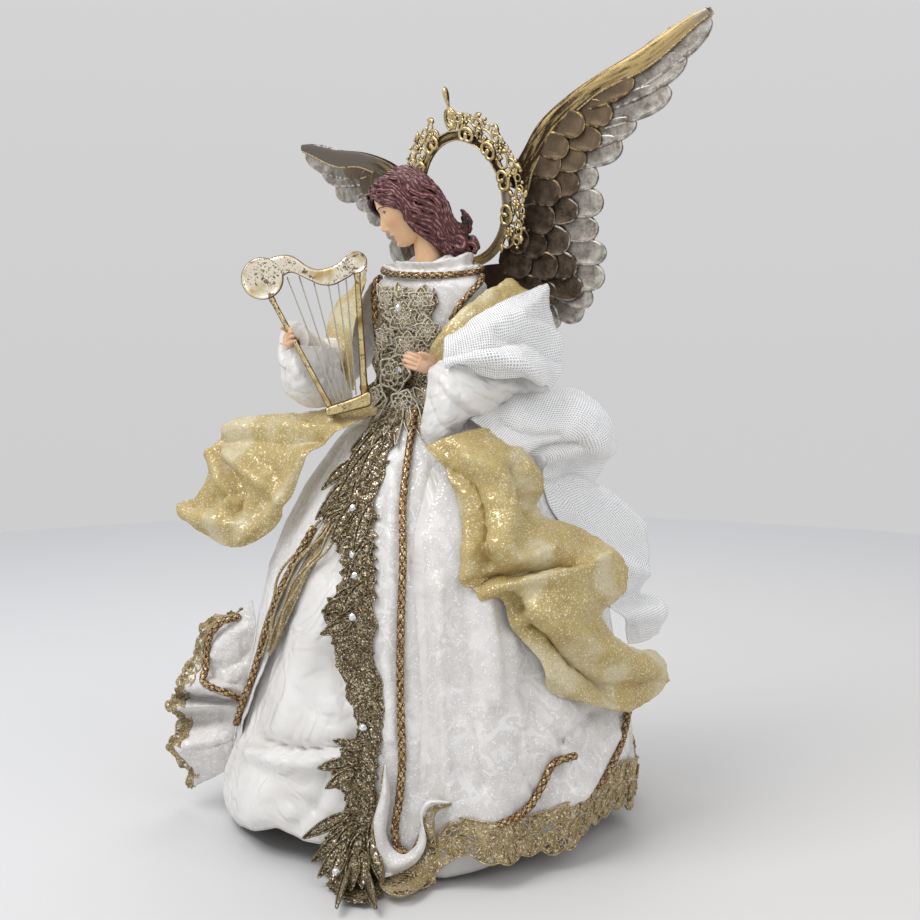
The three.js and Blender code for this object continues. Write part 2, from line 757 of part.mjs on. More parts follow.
function hemLace(extra = 0) {
  const place = (standoff) => (turn, drop) => {
    const degrees = THREE.MathUtils.lerp(46, 300, turn);
    const top = robeBottom(degrees) + 2 * cordRadius;
    const scallop = hemLaceScallop * Math.abs(Math.sin(radians(9 * degrees)));
    const bottom = top - hemLaceDrop - hemLaceSideDrop * caughtUp(degrees) + scallop;
    const z = THREE.MathUtils.lerp(top + extra, bottom - extra, drop);
    const flare = hemLaceFlare * drop * (1 - 2 * caughtUp(degrees));
    return polar(degrees, robeRadius(degrees, z) + robeThickness + 2 * gap + flare + standoff, z);
  };
  return shell(grid(2, 44, place(laceThickness + extra)), grid(2, 44, place(-extra)));
}

// The left front corner of the robe, turned outwards in a ruffle.
const frillShares = [
  [[-41, 0.5, 0.018], [-44, 0.5, 0.08], [-49, 0.48, 0.14]],
  [[-40, 0.41, 0.018], [-40, 0.44, 0.18], [-48, 0.4, 0.32]],
  [[-39, 0.31, 0.018], [-44, 0.3, 0.18], [-47, 0.26, 0.33]],
  [[-38, 0.24, 0.018], [-38, 0.24, 0.16], [-43, 0.17, 0.3]],
  [[-37, 0.16, 0.018], [-37, 0.13, 0.12], [-39, 0.08, 0.19]],
];
const frillCordShares = [
  [-42, 0.5, 0.1], [-37, 0.45, 0.2], [-38, 0.39, 0.24], [-41, 0.33, 0.24],
  [-43, 0.29, 0.28], [-38, 0.26, 0.2], [-34, 0.25, 0.09],
];

// Cloths: thickness, fold depth, folds across, and steps along and across.
const [brocade, gauze] = [{ thickness: clothThickness }, { thickness: gauzeThickness }];
const scarf = { ...brocade, foldDepth: clothFold, folds: 2, lengthSteps: 20, widthSteps: 9 };
const scarfStrip = { ...brocade, foldDepth: 0, folds: 1, lengthSteps: 6, widthSteps: 3 };
const ruffle = { ...brocade, foldDepth: clothFold / 2, folds: 1, lengthSteps: 10, widthSteps: 5 };
const shawl = { ...gauze, foldDepth: gauzeFold / 2, folds: 2, lengthSteps: 7, widthSteps: 8 };
const train = { ...gauze, foldDepth: gauzeFold, folds: 1, lengthSteps: 16, widthSteps: 6 };

const clothFrom = (shares, cloth, extra) => drape(shares.map((row) => row.map(onSkirt)), cloth, extra);

// Scarf and gauze
const scarfLeftShares = [
  [[12, 1.02, 0.024], [13, 0.99, 0.024], [15, 0.96, 0.024]],
  [[-28, 0.97, 0.18], [-12, 0.92, 0.16], [-3, 0.87, 0.11]],
  [[-45, 0.95, 0.37], [-26, 0.88, 0.25], [-14, 0.79, 0.11]],
  [[-49, 0.94, 0.56], [-35, 0.83, 0.38], [-26, 0.7, 0.14]],
  [[-50, 0.84, 0.55], [-41, 0.75, 0.46], [-38, 0.66, 0.24]],
  [[-50, 0.77, 0.61], [-46, 0.74, 0.59], [-44, 0.7, 0.47]],
];
const scarfRightShares = [
  [[80, 0.95, 0.14], [62, 0.94, 0.13], [45, 0.92, 0.08]],
  [[88, 0.89, 0.12], [70, 0.87, 0.16], [55, 0.84, 0.06]],
  [[91, 0.81, 0.12], [72, 0.78, 0.18], [57, 0.73, 0.06]],
  [[92, 0.75, 0.14], [73, 0.69, 0.2], [59, 0.62, 0.07]],
  [[109, 0.7, 0.21], [86, 0.63, 0.16], [69, 0.56, 0.08]],
  [[119, 0.58, 0.2], [97, 0.52, 0.16], [77, 0.45, 0.08]],
  [[115, 0.48, 0.13], [103, 0.41, 0.16], [92, 0.35, 0.09]],
  [[126, 0.41, 0.21], [121, 0.35, 0.2], [114, 0.29, 0.12]],
  [[135, 0.31, 0.26], [133, 0.29, 0.24], [130, 0.27, 0.2]],
];
const scarfNearShoulderShares = [
  [[62, 1.13, 0.13], [55, 1.07, 0.2]],
  [[70, 1.2, 0.13], [66, 1.15, 0.2]],
  [[88, 1.27, 0.13], [84, 1.22, 0.22]],
  [[112, 1.3, 0.14], [108, 1.25, 0.24]],
];
const scarfFarShoulderShares = [
  [[-52, 1.3, 0.08], [-86, 1.29, 0.2]],
  [[-44, 1.2, 0.14], [-76, 1.2, 0.36]],
  [[-38, 1.1, 0.17], [-66, 1.1, 0.36]],
  [[-34, 1.02, 0.16], [-56, 1.01, 0.27]],
];
const gauzeShawlShares = [
  [[76, 1.17, 0.18], [95, 1.22, 0.24], [112, 1.26, 0.27], [126, 1.27, 0.33]],
  [[62, 1.13, 0.23], [84, 1.17, 0.32], [100, 1.2, 0.34], [120, 1.2, 0.38]],
  [[53, 1.11, 0.28], [77, 1.12, 0.39], [97, 1.13, 0.42], [118, 1.13, 0.42]],
  [[50, 1.09, 0.31], [72, 1.07, 0.42], [95, 1.07, 0.42], [116, 1.07, 0.43]],
];
const gauzeTrainShares = [
  [[78, 0.99, 0.16], [76, 0.95, 0.18], [84, 0.91, 0.14]],
  [[121, 1.01, 0.3], [102, 0.94, 0.32], [100, 0.86, 0.14]],
  [[139, 1.01, 0.5], [122, 0.93, 0.46], [108, 0.82, 0.15]],
  [[143, 0.92, 0.5], [129, 0.86, 0.42], [112, 0.77, 0.14]],
  [[145, 0.81, 0.38], [130, 0.78, 0.32], [115, 0.72, 0.15]],
  [[146, 0.7, 0.38], [133, 0.67, 0.32], [118, 0.64, 0.17]],
  [[146, 0.57, 0.32], [134, 0.55, 0.28], [122, 0.54, 0.17]],
  [[144, 0.47, 0.34], [134, 0.45, 0.29], [125, 0.43, 0.18]],
];

// Wings and halo: drawn in their own frame, u to the angel's left, w up, y back.

const wingUnit = new THREE.Group();
wingUnit.position.x = wingMountOffset;
wingUnit.position.y = chestHalfDepth + wingMountStandoff;
wingUnit.position.z = skirtHeight + torsoHeight - wingMountDrop;
wingUnit.rotation.set(radians(wingLean), radians(-wingRoll), 0, 'YXZ');
wingUnit.updateMatrixWorld();

function plate(shape, front, thickness, segments = 8) {
  const settings = { depth: thickness, bevelEnabled: false, curveSegments: segments };
  return new THREE.ExtrudeGeometry(shape, settings).rotateX(Math.PI / 2).translate(0, front + thickness, 0);
}

function sweptBack(geometry) {
  const position = geometry.getAttribute('position');
  for (let i = 0; i < position.count; i += 1) {
    const out = Math.max(0, Math.abs(position.getX(i)) - flatHalfWidth);
    position.setY(i, position.getY(i) + (wingSweep * out) / (wingSpan - flatHalfWidth));
  }
  return geometry;
}

// The wing's inner plate, from its root up the leading edge to the tip and back.
const wingPlateShares = [
  [0.12, 0.06], [0.29, 0.575], [0.37, 0.705], [0.535, 0.815], [0.74, 0.895], [0.92, 0.983],
  [0.978, 1.003], [0.997, 0.955], [0.94, 0.86], [0.76, 0.74], [0.6, 0.6], [0.48, 0.44],
  [0.43, 0.28], [0.41, 0.04], [0.36, -0.16], [0.27, -0.24], [0.24, -0.17],
];

// Feathers: root and tip (shares of span and rise), then half width as a share of span.
const featherShares = [
  [0.62, 0.72, 0.97, 0.9, 0.03], [0.55, 0.62, 0.81, 0.665, 0.036], [0.42, 0.5, 0.61, 0.475, 0.036],
  [0.34, 0.4, 0.515, 0.36, 0.038], [0.34, 0.3, 0.52, 0.25, 0.038], [0.3, 0.2, 0.49, 0.135, 0.038],
  [0.3, 0.1, 0.495, 0.03, 0.038], [0.26, 0, 0.475, -0.11, 0.04], [0.24, -0.06, 0.4, -0.235, 0.04],
  [0.22, -0.08, 0.31, -0.3, 0.04],
];

function featherShape([rootU, rootW, tipU, tipW, widthShare]) {
  const root = new THREE.Vector2(rootU * wingSpan, rootW * wingRise);
  const tip = new THREE.Vector2(tipU * wingSpan, tipW * wingRise);
  const halfWidth = widthShare * wingSpan;
  const along = tip.clone().sub(root).normalize();
  const centre = tip.clone().addScaledVector(along, -halfWidth);
  const turn = along.angle();
  const side = new THREE.Vector2(-along.y, along.x).multiplyScalar(0.7 * halfWidth);
  const shape = new THREE.Shape();
  shape.moveTo(root.x + side.x, root.y + side.y);
  shape.lineTo(root.x - side.x, root.y - side.y);
  shape.absarc(centre.x, centre.y, halfWidth, turn - Math.PI / 2, turn + Math.PI / 2);
  return shape;
}

function wingSolid(side) {
  const corners = wingPlateShares.map(([u, w]) => new THREE.Vector2(u * wingSpan, w * wingRise));
  const outline = new THREE.Shape(corners);
  const inset = 0.15 * wingThickness;
  const feathers = featherShares.map((row) => plate(featherShape(row), inset, wingThickness - 2 * inset, 5));
  const wing = sweptBack(join(plate(outline, 0, wingThickness), ...feathers));
  return side > 0 ? wing : mirrored(wing);
}

function mirrored(geometry) {
  const position = geometry.getAttribute('position');
  const points = Array.from({ length: position.count }, (_, i) =>
    new THREE.Vector3(-position.getX(i), position.getY(i), position.getZ(i)));
  return solidFrom(points, Array.from(geometry.index.array));
}

function boxBetween(low, high) {
  const size = new THREE.Vector3().subVectors(high, low);
  const middle = new THREE.Vector3().addVectors(low, high).multiplyScalar(0.5);
  return new THREE.BoxGeometry(size.x, size.y, size.z).translate(middle.x, middle.y, middle.z);
}

const bridgeTop = haloCentreW - haloHalfHeight - haloBand - gap;
const bridgeBack = -gap;
const bridgeFront = bridgeBack - bridgeThickness;

function wingBridge() {
  const stations = [-bridgeHalfWidth, -flatHalfWidth, flatHalfWidth, bridgeHalfWidth];
  const heights = (u) => {
    const end = Math.abs(u) > flatHalfWidth;
    return end ? [-bridgeDrop * 0.35, bridgeTop * 0.6] : [-bridgeDrop, bridgeTop];
  };
  const face = (y) => [0, 1].map((row) =>
    stations.map((u) => new THREE.Vector3(u, y, heights(u)[row])));
  const yoke = sweptBack(shell(face(bridgeFront), face(bridgeBack)));
  const tab = boxBetween(
    new THREE.Vector3(-tabHalfWidth, bridgeFront, -tabEnd),
    new THREE.Vector3(tabHalfWidth, bridgeBack, -bridgeDrop / 2),
  );
  return join(yoke, tab);
}

function wingSocket() {
  const halfWidth = tabHalfWidth + slideGap + socketWall;
  const floor = -tabEnd - gap;
  const block = boxBetween(
    new THREE.Vector3(-halfWidth, bridgeFront - slideGap - socketReach, floor - socketWall),
    new THREE.Vector3(halfWidth, bridgeBack + slideGap + socketWall, -socketMouth),
  );
  const pocket = boxBetween(
    new THREE.Vector3(-tabHalfWidth - slideGap, bridgeFront - slideGap, floor),
    new THREE.Vector3(tabHalfWidth + slideGap, bridgeBack + slideGap, -socketMouth + overrun),
  );
  return cut(block, pocket);
}

const haloBack = -gap;

function haloSolid() {
  const ring = new THREE.Shape();
  const [ringHalfWidth, ringHalfHeight] = [haloHalfWidth + haloBand, haloHalfHeight + haloBand];
  ring.absellipse(haloCentreU, haloCentreW, ringHalfWidth, ringHalfHeight, 0, 2 * Math.PI);
  const hole = new THREE.Path();
  hole.absellipse(haloCentreU, haloCentreW, haloHalfWidth, haloHalfHeight, 0, 2 * Math.PI);
  ring.holes.push(hole);
  const reach = haloBand + lobeRadius - lobeOverlap;
  const angles = [-30, -6, 18, 42, 66, 114, 138, 162, 186];
  const lobes = angles.map((angle) => {
    const u = haloCentreU + (haloHalfWidth + reach) * Math.cos(radians(angle));
    const w = haloCentreW + (haloHalfHeight + reach) * Math.sin(radians(angle));
    const lobe = new THREE.Shape();
    lobe.absarc(u, w, lobeRadius, 0, 2 * Math.PI);
    const eye = new THREE.Path();
    eye.absarc(u, w, lobeHole, 0, 2 * Math.PI);
    lobe.holes.push(eye);
    return plate(lobe, haloBack - haloThickness, haloThickness, 4);
  });
  return join(plate(ring, haloBack - haloThickness, haloThickness, 12), ...lobes);
}

// Radius and height shares of the halo's spike.
const finialShares = [
  [0, 0], [1, 0], [0.9, 0.12], [0.4, 0.2], [1, 0.4], [0.45, 0.55], [0.85, 0.78], [0.7, 0.92], [0, 1],
];

function haloFinial() {
  const profile = finialShares.map(([r, h]) => new THREE.Vector2(r * finialRadius, h * finialHeight));
  const [foot, middle] = [haloCentreW + haloHalfHeight + haloBand + gap, haloBack - haloThickness / 2];
  const spike = new THREE.LatheGeometry(profile, 10).rotateX(Math.PI / 2);
  return spike.translate(haloCentreU - finialOffset, middle, foot);
}

// Harp: drawn in its own upright plane, x to the right and y up as its holder's viewer
// sees it, as shares of its height.

const harp = new THREE.Group();
harp.position.set(-harpOffset, -chestHalfDepth - harpStandoff, skirtHeight + harpRise);
harp.rotation.set(Math.PI / 2, radians(harpHeading), 0, 'ZXY');
harp.updateMatrixWorld();

const discShares = [-0.382, 0.379];
const scrollShares = [0.195, 0.479];
const neckTopShares = [[-0.212, 0.522], [-0.109, 0.459], [-0.046, 0.436], [0.018, 0.444], [0.081, 0.472]];
const neckUnderShares = [
  [0.131, 0.376], [0.055, 0.339], [-0.021, 0.339], [-0.085, 0.364], [-0.148, 0.395], [-0.212, 0.414],
];
const pillarShares = [[-0.325, 0.27], [0.031, -0.424]];
const columnShares = [[0.199, 0.46], [0.242, -0.341]];
const baseShares = [
  [-0.005, -0.44], [0.02, -0.475], [0.28, -0.41], [0.285, -0.35], [0.262, -0.315], [0.12, -0.375],
  [0.02, -0.395],
];
const baseMiddleShares = [0.14, -0.4];
const stringTopShares = [
  [-0.242, 0.42], [-0.168, 0.43], [-0.075, 0.39], [0.02, 0.37], [0.08, 0.38], [0.13, 0.41],
];
const stringFootShares = [[0.07, -0.4], [0.19, -0.355]];

const onHarp = ([x, y]) => new THREE.Vector2(x * harpHeight, y * harpHeight);

function harpPlate(shape, thickness, segments) {
  const settings = { depth: thickness, bevelEnabled: false, curveSegments: segments };
  return new THREE.ExtrudeGeometry(shape, settings).translate(0, 0, -thickness / 2);
}

function circle(centre, radius) {
  return new THREE.Shape().absarc(centre.x, centre.y, radius, 0, 2 * Math.PI);
}

function harpNeck(extra = 0) {
  const [disc, scroll] = [discShares, scrollShares].map(onHarp);
  const [discRadius, scrollRadius] = [harpDiscRadius, harpScrollRadius].map((radius) => radius + extra);
  const arm = new THREE.Shape();
  arm.moveTo(disc.x, disc.y + discRadius);
  neckTopShares.map(onHarp).forEach((p) => arm.lineTo(p.x, p.y + extra));
  arm.lineTo(scroll.x, scroll.y + 0.8 * scrollRadius);
  arm.lineTo(scroll.x, scroll.y - 0.8 * scrollRadius);
  neckUnderShares.map(onHarp).forEach((p) => arm.lineTo(p.x, p.y - extra));
  arm.lineTo(disc.x + 0.7 * harpDiscRadius, disc.y - 0.5 * harpDiscRadius);
  const thickness = harpNeckThickness + 2 * extra;
  const plates = [[arm, 6], [circle(disc, discRadius), 12], [circle(scroll, scrollRadius), 8]];
  return join(...plates.map(([shape, segments]) => harpPlate(shape, thickness, segments)));
}

function harpBase(extra = 0) {
  const middle = onHarp(baseMiddleShares);
  const outline = baseShares.map(onHarp).map((p) =>
    p.clone().addScaledVector(p.clone().sub(middle).normalize(), 2 * extra));
  return harpPlate(new THREE.Shape(outline), harpBaseThickness + 2 * extra, 4);
}

function harpRod([top, foot], topRadius, footRadius, sides) {
  const [a, b] = [top, foot].map((share) => new THREE.Vector3(...onHarp(share).toArray(), 0));
  const cylinder = new THREE.CylinderGeometry(topRadius, footRadius, a.distanceTo(b), sides);
  const upright = new THREE.Vector3(0, 1, 0);
  const turn = new THREE.Quaternion().setFromUnitVectors(upright, a.clone().sub(b).normalize());
  return cylinder.applyQuaternion(turn).translate(...a.lerp(b, 0.5).toArray());
}

function stringEnds(i) {
  const share = i / (stringCount - 1);
  const [first, last] = stringFootShares.map((place) => new THREE.Vector2(...place));
  return [stringTopShares[i], first.lerp(last, share).toArray()];
}

function buildHarp() {
  const spaces = [harpNeck(gap), harpBase(gap)];
  const pillar = harpRod(pillarShares, pillarRadius, pillarRadius, SIDES);
  const column = harpRod(columnShares, columnRadius, columnFootRadius, SIDES);
  add('harp_neck', harpNeck(), ...looks.gold, harp);
  add('harp_base', harpBase(), ...looks.gold, harp);
  add('harp_pillar', cut(pillar, ...spaces), ...looks.gold, harp);
  add('harp_column', cut(column, ...spaces), ...looks.gold, harp);
  for (let i = 0; i < stringCount; i += 1) {
    const string = harpRod(stringEnds(i), stringRadius, stringRadius, 5);
    add(`harp_string_${i + 1}`, cut(string, ...spaces), ...looks.wire, harp);
  }
}

// Crystals and flower

function facing(geometry, place, direction) {
  const turn = new THREE.Quaternion().setFromUnitVectors(new THREE.Vector3(0, 0, 1), direction);
  return geometry.applyQuaternion(turn).translate(place.x, place.y, place.z);
}

function crystal(place, direction) {
  const stone = new THREE.CylinderGeometry(0.6 * crystalRadius, crystalRadius, crystalHeight, SIDES);
  return facing(stone.rotateX(Math.PI / 2).translate(0, 0, crystalHeight / 2), place, direction);
}

const PETALS = 8;
const PETAL_POINTS = 6;
const petalShare = 0.22;

function flowerShape(extra = 0) {
  const points = Array.from({ length: PETAL_POINTS * PETALS }, (_, i) => {
    const turn = (2 * Math.PI * i) / (PETAL_POINTS * PETALS);
    const bulge = petalShare * Math.abs(Math.sin((PETALS * turn) / 2));
    const reach = flowerRadius * (1 - petalShare + bulge) + extra;
    return new THREE.Vector2(reach * Math.cos(turn), reach * Math.sin(turn));
  });
  const settings = { depth: flowerThickness + extra, bevelEnabled: false };
  return new THREE.ExtrudeGeometry(new THREE.Shape(points), settings);
}

// Headings that the bodice's lace reaches at its ends, and how much further in the middle.
const bodiceLaceReach = 24;
const bodiceLaceBulge = 8;

function bodiceLace(extra = 0) {
  const place = (standoff) => (across, rise) => {
    const reach = bodiceLaceReach + bodiceLaceBulge * Math.sin(Math.PI * rise);
    const degrees = THREE.MathUtils.lerp(-reach, reach, across);
    return onTorso(degrees, THREE.MathUtils.lerp(0.16, 0.93, rise), standoff);
  };
  return shell(grid(6, 6, place(2 * gap + laceThickness + extra)), grid(6, 6, place(2 * gap - extra)));
}

// Assembly

const dowelTop = skirtHeight + dowelReach;
const dowelBottom = boardTop + gap;

add('felt_pad', disc(feltRadius, feltThickness, 0), ...looks.felt);
add('base_board', disc(boardRadius, boardThickness, feltThickness + gap), ...looks.wood);
add('spine_dowel', disc(dowelRadius, dowelTop - dowelBottom, dowelBottom, 12), ...looks.wood);
add('skirt_cone', skirtCone(), ...looks.card);
add('under_skirt', satinSkirt(), ...looks.satin);
add('over_robe', robeShell(robeThickness, 0), ...looks.brocade);

const armWires = (radius) => [armLeft, armRight].map((arm) => rod(arm, radius, 6, 12));
const wires = armWires(armRadius);
const wireSpaces = armWires(armRadius + gap);

const dowelSpace = disc(dowelRadius + gap, dowelReach + gap + overrun, skirtHeight - overrun, 12);
const core = torsoSolid(-bodiceThickness - gap);
add('torso_core', cut(core, dowelSpace, ...wireSpaces), ...looks.foam);
add('bodice', cut(bodiceShape(), ...wireSpaces), ...looks.brocade);

const headSpace = headShape(gap);
add('head', cut(headShape(), disc(2 * neckRadius, 2 * overrun, torsoTop + gap - 2 * overrun)), ...looks.skin);
add('collar', cut(collarShape(), headSpace), ...looks.satin);

angel.add(wingUnit, harp);
buildHarp();

function pillarSpace() {
  const radius = pillarRadius + gap;
  return harpRod(pillarShares, radius, radius, SIDES).applyMatrix4(harp.matrixWorld);
}

// The right hand passes outside the harp's pillar and curls back across it.
const gripShares = [-0.205, 0.02];
const gripBeside = 0.2 * handLength;
const grip = harp.localToWorld(new THREE.Vector3(...onHarp(gripShares).toArray(), 0));
grip.addScaledVector(heading(harpHeading + 90), -gripBeside);

const leftDirection = heading(harpHeading - 90).setZ(0.35).normalize();
const rightDirection = grip.clone().sub(armRight[4]).normalize();
const down = new THREE.Vector3(0, 0, -1);
const handLeft = (extra) => handShape(armLeft[4], leftDirection, down, 0.25, extra);
const handRight = (extra) => handShape(armRight[4], rightDirection, down, -0.3, extra);
const handSpaces = [handLeft(gap), handRight(gap)];

add('hand_left', cut(handLeft(0), wireSpaces[0]), ...looks.skin);
add('hand_right', cut(handRight(0), wireSpaces[1], pillarSpace()), ...looks.skin);
add('arm_wire_left', wires[0], ...looks.wire);
add('arm_wire_right', wires[1], ...looks.wire);

const bodiceSpace = torsoSolid(gap);
const sleeveSpaces = [leftSleeve(gap), sleeveShape(armRight, gap)];
const rightCutters = [bodiceSpace, wireSpaces[1], handSpaces[1], pillarSpace()];
add('sleeve_left', fitted(leftSleeve(), bodiceSpace, wireSpaces[0], handSpaces[0]), ...looks.satin);
add('sleeve_right', fitted(sleeveShape(armRight), ...rightCutters), ...looks.satin);

// Trim on the torso

function torsoCord(routeShares, radius, steps) {
  return cord(routeShares.map(([degrees, share]) => onTorso(degrees, share, radius + gap)), radius, steps);
}

// The cord round the neckline, open behind, dips at the front.
function necklineCord(radius) {
  const standoff = neckCordRadius + gap;
  const rim = collarShares[0].map((share) => share * (1 + collarRippleShare));
  const places = Array.from({ length: 17 }, (_, i) => {
    const angle = radians(187 + (346 * i) / 16);
    const halfWidth = shoulderHalfWidth * rim[1] + standoff;
    const halfDepth = chestHalfDepth * rim[2] + standoff;
    const z = torsoTop + neckCordRadius * (1 - 1.6 * Math.cos(angle));
    return new THREE.Vector3(halfWidth * Math.sin(angle), -halfDepth * Math.cos(angle), z);
  });
  return cord(places, radius, 22);
}

const nearCordShares = [[104, 0.98], [88, 0.93], [72, 0.85], [60, 0.74], [54, 0.62]];
const farCordShares = [[-64, 0.98], [-54, 0.9], [-47, 0.7], [-45, 0.45], [-45, 0.2], [-45, 0.08]];

const collarSpace = collarShape(gap);
const neckline = cut(necklineCord(neckCordRadius), bodiceSpace, collarSpace);
const necklineSpace = necklineCord(neckCordRadius + gap);
const nearCord = (extra) => torsoCord(nearCordShares, neckCordRadius + extra, 8);
const farCord = (extra) => torsoCord(farCordShares, neckCordRadius + extra, 9);
add('neckline_cord', neckline, ...looks.cord);
const neckSpaces = [bodiceSpace, necklineSpace, collarSpace];
add('shoulder_cord_left', cut(nearCord(0), ...neckSpaces, sleeveSpaces[0]), ...looks.cord);
add('shoulder_cord_right', cut(farCord(0), ...neckSpaces, sleeveSpaces[1]), ...looks.cord);
add('bodice_lace', fitted(bodiceLace(), bodiceSpace), ...looks.lace);

// Trim on the dress

const frontCord = (extra) => skirtCord(frontCordShares, cordRadius + extra, 22);
const hemCord = (extra) => skirtCord(hemCordShares, cordRadius + extra, 10);
const sideCord = (extra) => skirtCord(sideCordShares, cordRadius + extra, 12);
const openingCord = (extra) => skirtCord(openingCordShares, cordRadius + extra, 12);
const frill = (extra) => clothFrom(frillShares, ruffle, extra);
const frillCord = cord(frillCordShares.map(onSkirt), cordRadius, 12);

add('front_lace', fitted(frontLace()), ...looks.lace);
add('opening_lace', fitted(openingLace()), ...looks.lace);
add('front_cord', fitted(frontCord(0), frontLace(gap)), ...looks.cord);
add('opening_cord', fitted(openingCord(0)), ...looks.cord);
add('hem_lace', fitted(hemLace(), frontLace(gap)), ...looks.lace);
add('hem_cord', fitted(hemCord(0), hemLace(gap)), ...looks.cord);
add('side_cord', fitted(sideCord(0), hemLace(gap)), ...looks.cord);
add('frill', fitted(frill(0), openingCord(gap)), ...looks.brocade);
add('frill_cord', fitted(frillCord, frill(gap), openingCord(gap)), ...looks.cord);

// Crystals

function dressCrystal(degrees, heightShare) {
  const z = heightShare * skirtHeight;
  const standoff = laceThickness + 2 * gap;
  return crystal(polar(degrees, frontLaceRadius(degrees, z) + standoff, z), heading(degrees));
}

const crystalShares = [[12, 0.776], [17, 0.683], [20, 0.555], [24, 0.05], [19, 0.64], [26, 0.33]];
crystalShares.forEach(([degrees, heightShare], i) => {
  add(`crystal_${i + 1}`, cut(dressCrystal(degrees, heightShare), frontLace(gap)), ...looks.crystal);
});

const flowerHeading = 8;
const flowerShareUp = 0.24;
const chestStoneHeading = 4;
const chestStoneShareUp = 0.72;
const onBodiceLace = (degrees, shareUp) => onTorso(degrees, shareUp, 3 * gap + laceThickness);
const flowerPlace = onBodiceLace(flowerHeading, flowerShareUp);
const flower = (extra) => facing(flowerShape(extra), flowerPlace, heading(flowerHeading));
const flowerStone = flowerPlace.clone().addScaledVector(heading(flowerHeading), flowerThickness + gap);
const chestStone = onBodiceLace(chestStoneHeading, chestStoneShareUp);

add('waist_flower', fitted(flower(0), bodiceLace(gap)), ...looks.lace);
add('crystal_7', crystal(flowerStone, heading(flowerHeading)), ...looks.crystal);
add('crystal_8', cut(crystal(chestStone, heading(chestStoneHeading)), bodiceLace(gap)), ...looks.crystal);

// Scarf and gauze

const neckwear = [collarSpace, necklineSpace, headSpace, nearCord(gap), farCord(gap)];
const sleevesAndHands = [...sleeveSpaces, ...handSpaces, bodiceLace(gap), bodiceSpace];
const trim = [frontLace(gap), frontCord(gap), openingCord(gap), flower(gap)];

const cloths = {
  scarf_left: (extra) => clothFrom(scarfLeftShares, { ...scarf, lengthSteps: 16 }, extra),
  scarf_right: (extra) => clothFrom(scarfRightShares, scarf, extra),
  scarf_shoulder_left: (extra) => clothFrom(scarfNearShoulderShares, scarfStrip, extra),
  scarf_shoulder_right: (extra) => clothFrom(scarfFarShoulderShares, scarfStrip, extra),
  gauze_shawl: (extra) => clothFrom(gauzeShawlShares, shawl, extra),
  gauze_train: (extra) => clothFrom(gauzeTrainShares, train, extra),
};

Object.entries(cloths).forEach(([name, make], i) => {
  const earlier = Object.values(cloths).slice(0, i).map((other) => other(gap));
  const look = name.startsWith('gauze') ? looks.gauze : looks.scarf;
  add(name, fitted(make(0), ...neckwear, ...sleevesAndHands, ...trim, ...earlier), ...look);
});

// Wings, halo and socket

const socket = fitted(wingSocket().applyMatrix4(wingUnit.matrixWorld), bodiceSpace);
socket.applyMatrix4(wingUnit.matrixWorld.clone().invert());
add('wing_socket', socket, ...looks.plastic, wingUnit);
add('wing_bridge', wingBridge(), ...looks.wing, wingUnit);
add('wing_left', wingSolid(1), ...looks.wing, wingUnit);
add('wing_right', wingSolid(-1), ...looks.wing, wingUnit);
add('halo', haloSolid(), ...looks.halo, wingUnit);
add('halo_finial', haloFinial(), ...looks.halo, wingUnit);

export default angel;
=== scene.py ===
# %% [markdown]
# # A cloth-dressed angel figurine
# The figurine is a card cone dressed in real cloth: a satin skirt, a brocade robe, a glitter
# scarf and gauze, with lace and twisted cords sewn on, and cast metal wings behind it.
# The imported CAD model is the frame. It gives every place and size, and each piece below is
# laid over its CAD node or stands for it.

# %% Load the frame
import math
import bmesh
import bpy
import numpy as np
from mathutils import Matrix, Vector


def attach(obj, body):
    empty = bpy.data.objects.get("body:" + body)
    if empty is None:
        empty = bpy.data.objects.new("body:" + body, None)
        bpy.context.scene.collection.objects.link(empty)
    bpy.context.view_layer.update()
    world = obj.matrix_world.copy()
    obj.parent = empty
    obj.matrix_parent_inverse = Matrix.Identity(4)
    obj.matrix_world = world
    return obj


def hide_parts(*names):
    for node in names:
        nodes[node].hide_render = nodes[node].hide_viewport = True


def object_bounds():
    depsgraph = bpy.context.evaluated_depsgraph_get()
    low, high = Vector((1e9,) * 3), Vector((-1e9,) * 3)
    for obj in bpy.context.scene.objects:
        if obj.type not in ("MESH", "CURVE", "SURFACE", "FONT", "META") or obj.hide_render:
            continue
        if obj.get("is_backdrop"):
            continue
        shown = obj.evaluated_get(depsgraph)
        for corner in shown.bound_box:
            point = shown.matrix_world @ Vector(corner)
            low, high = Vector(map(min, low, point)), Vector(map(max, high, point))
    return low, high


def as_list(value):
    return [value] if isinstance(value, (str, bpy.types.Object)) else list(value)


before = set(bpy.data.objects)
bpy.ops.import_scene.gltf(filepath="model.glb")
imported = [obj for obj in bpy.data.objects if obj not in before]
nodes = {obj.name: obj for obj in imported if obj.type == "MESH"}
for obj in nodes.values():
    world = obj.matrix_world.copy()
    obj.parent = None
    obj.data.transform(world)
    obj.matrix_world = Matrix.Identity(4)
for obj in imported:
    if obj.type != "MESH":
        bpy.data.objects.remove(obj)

cad_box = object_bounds()
print(len(nodes), "CAD nodes, box", [[round(x, 4) for x in corner] for corner in cad_box])

# %% [markdown]
# ## Helpers for shapes
# Every new piece is a grid of points that a formula gives as one numpy array, in millimetres.
# `spline` draws a smooth curve through a few places, and `spread` does so in both directions,
# which is how a cloth is laid over a table of places. Loose noise comes from a sum of turned
# sine waves, because it is smooth, cheap and the same on every run.

# %% Curves, tables and noise
def smooth(x, low, high):
    """0 below low, 1 above high, and 3t^2 - 2t^3 in between."""
    t = np.clip((np.asarray(x, float) - low) / (high - low), 0, 1)
    return t * t * (3 - 2 * t)


def even(count):
    """Shares from 0 to 1 in even steps."""
    return np.linspace(0, 1, count)


def circle(count):
    """Angles once round, in radians."""
    return np.linspace(0, 2 * np.pi, count)


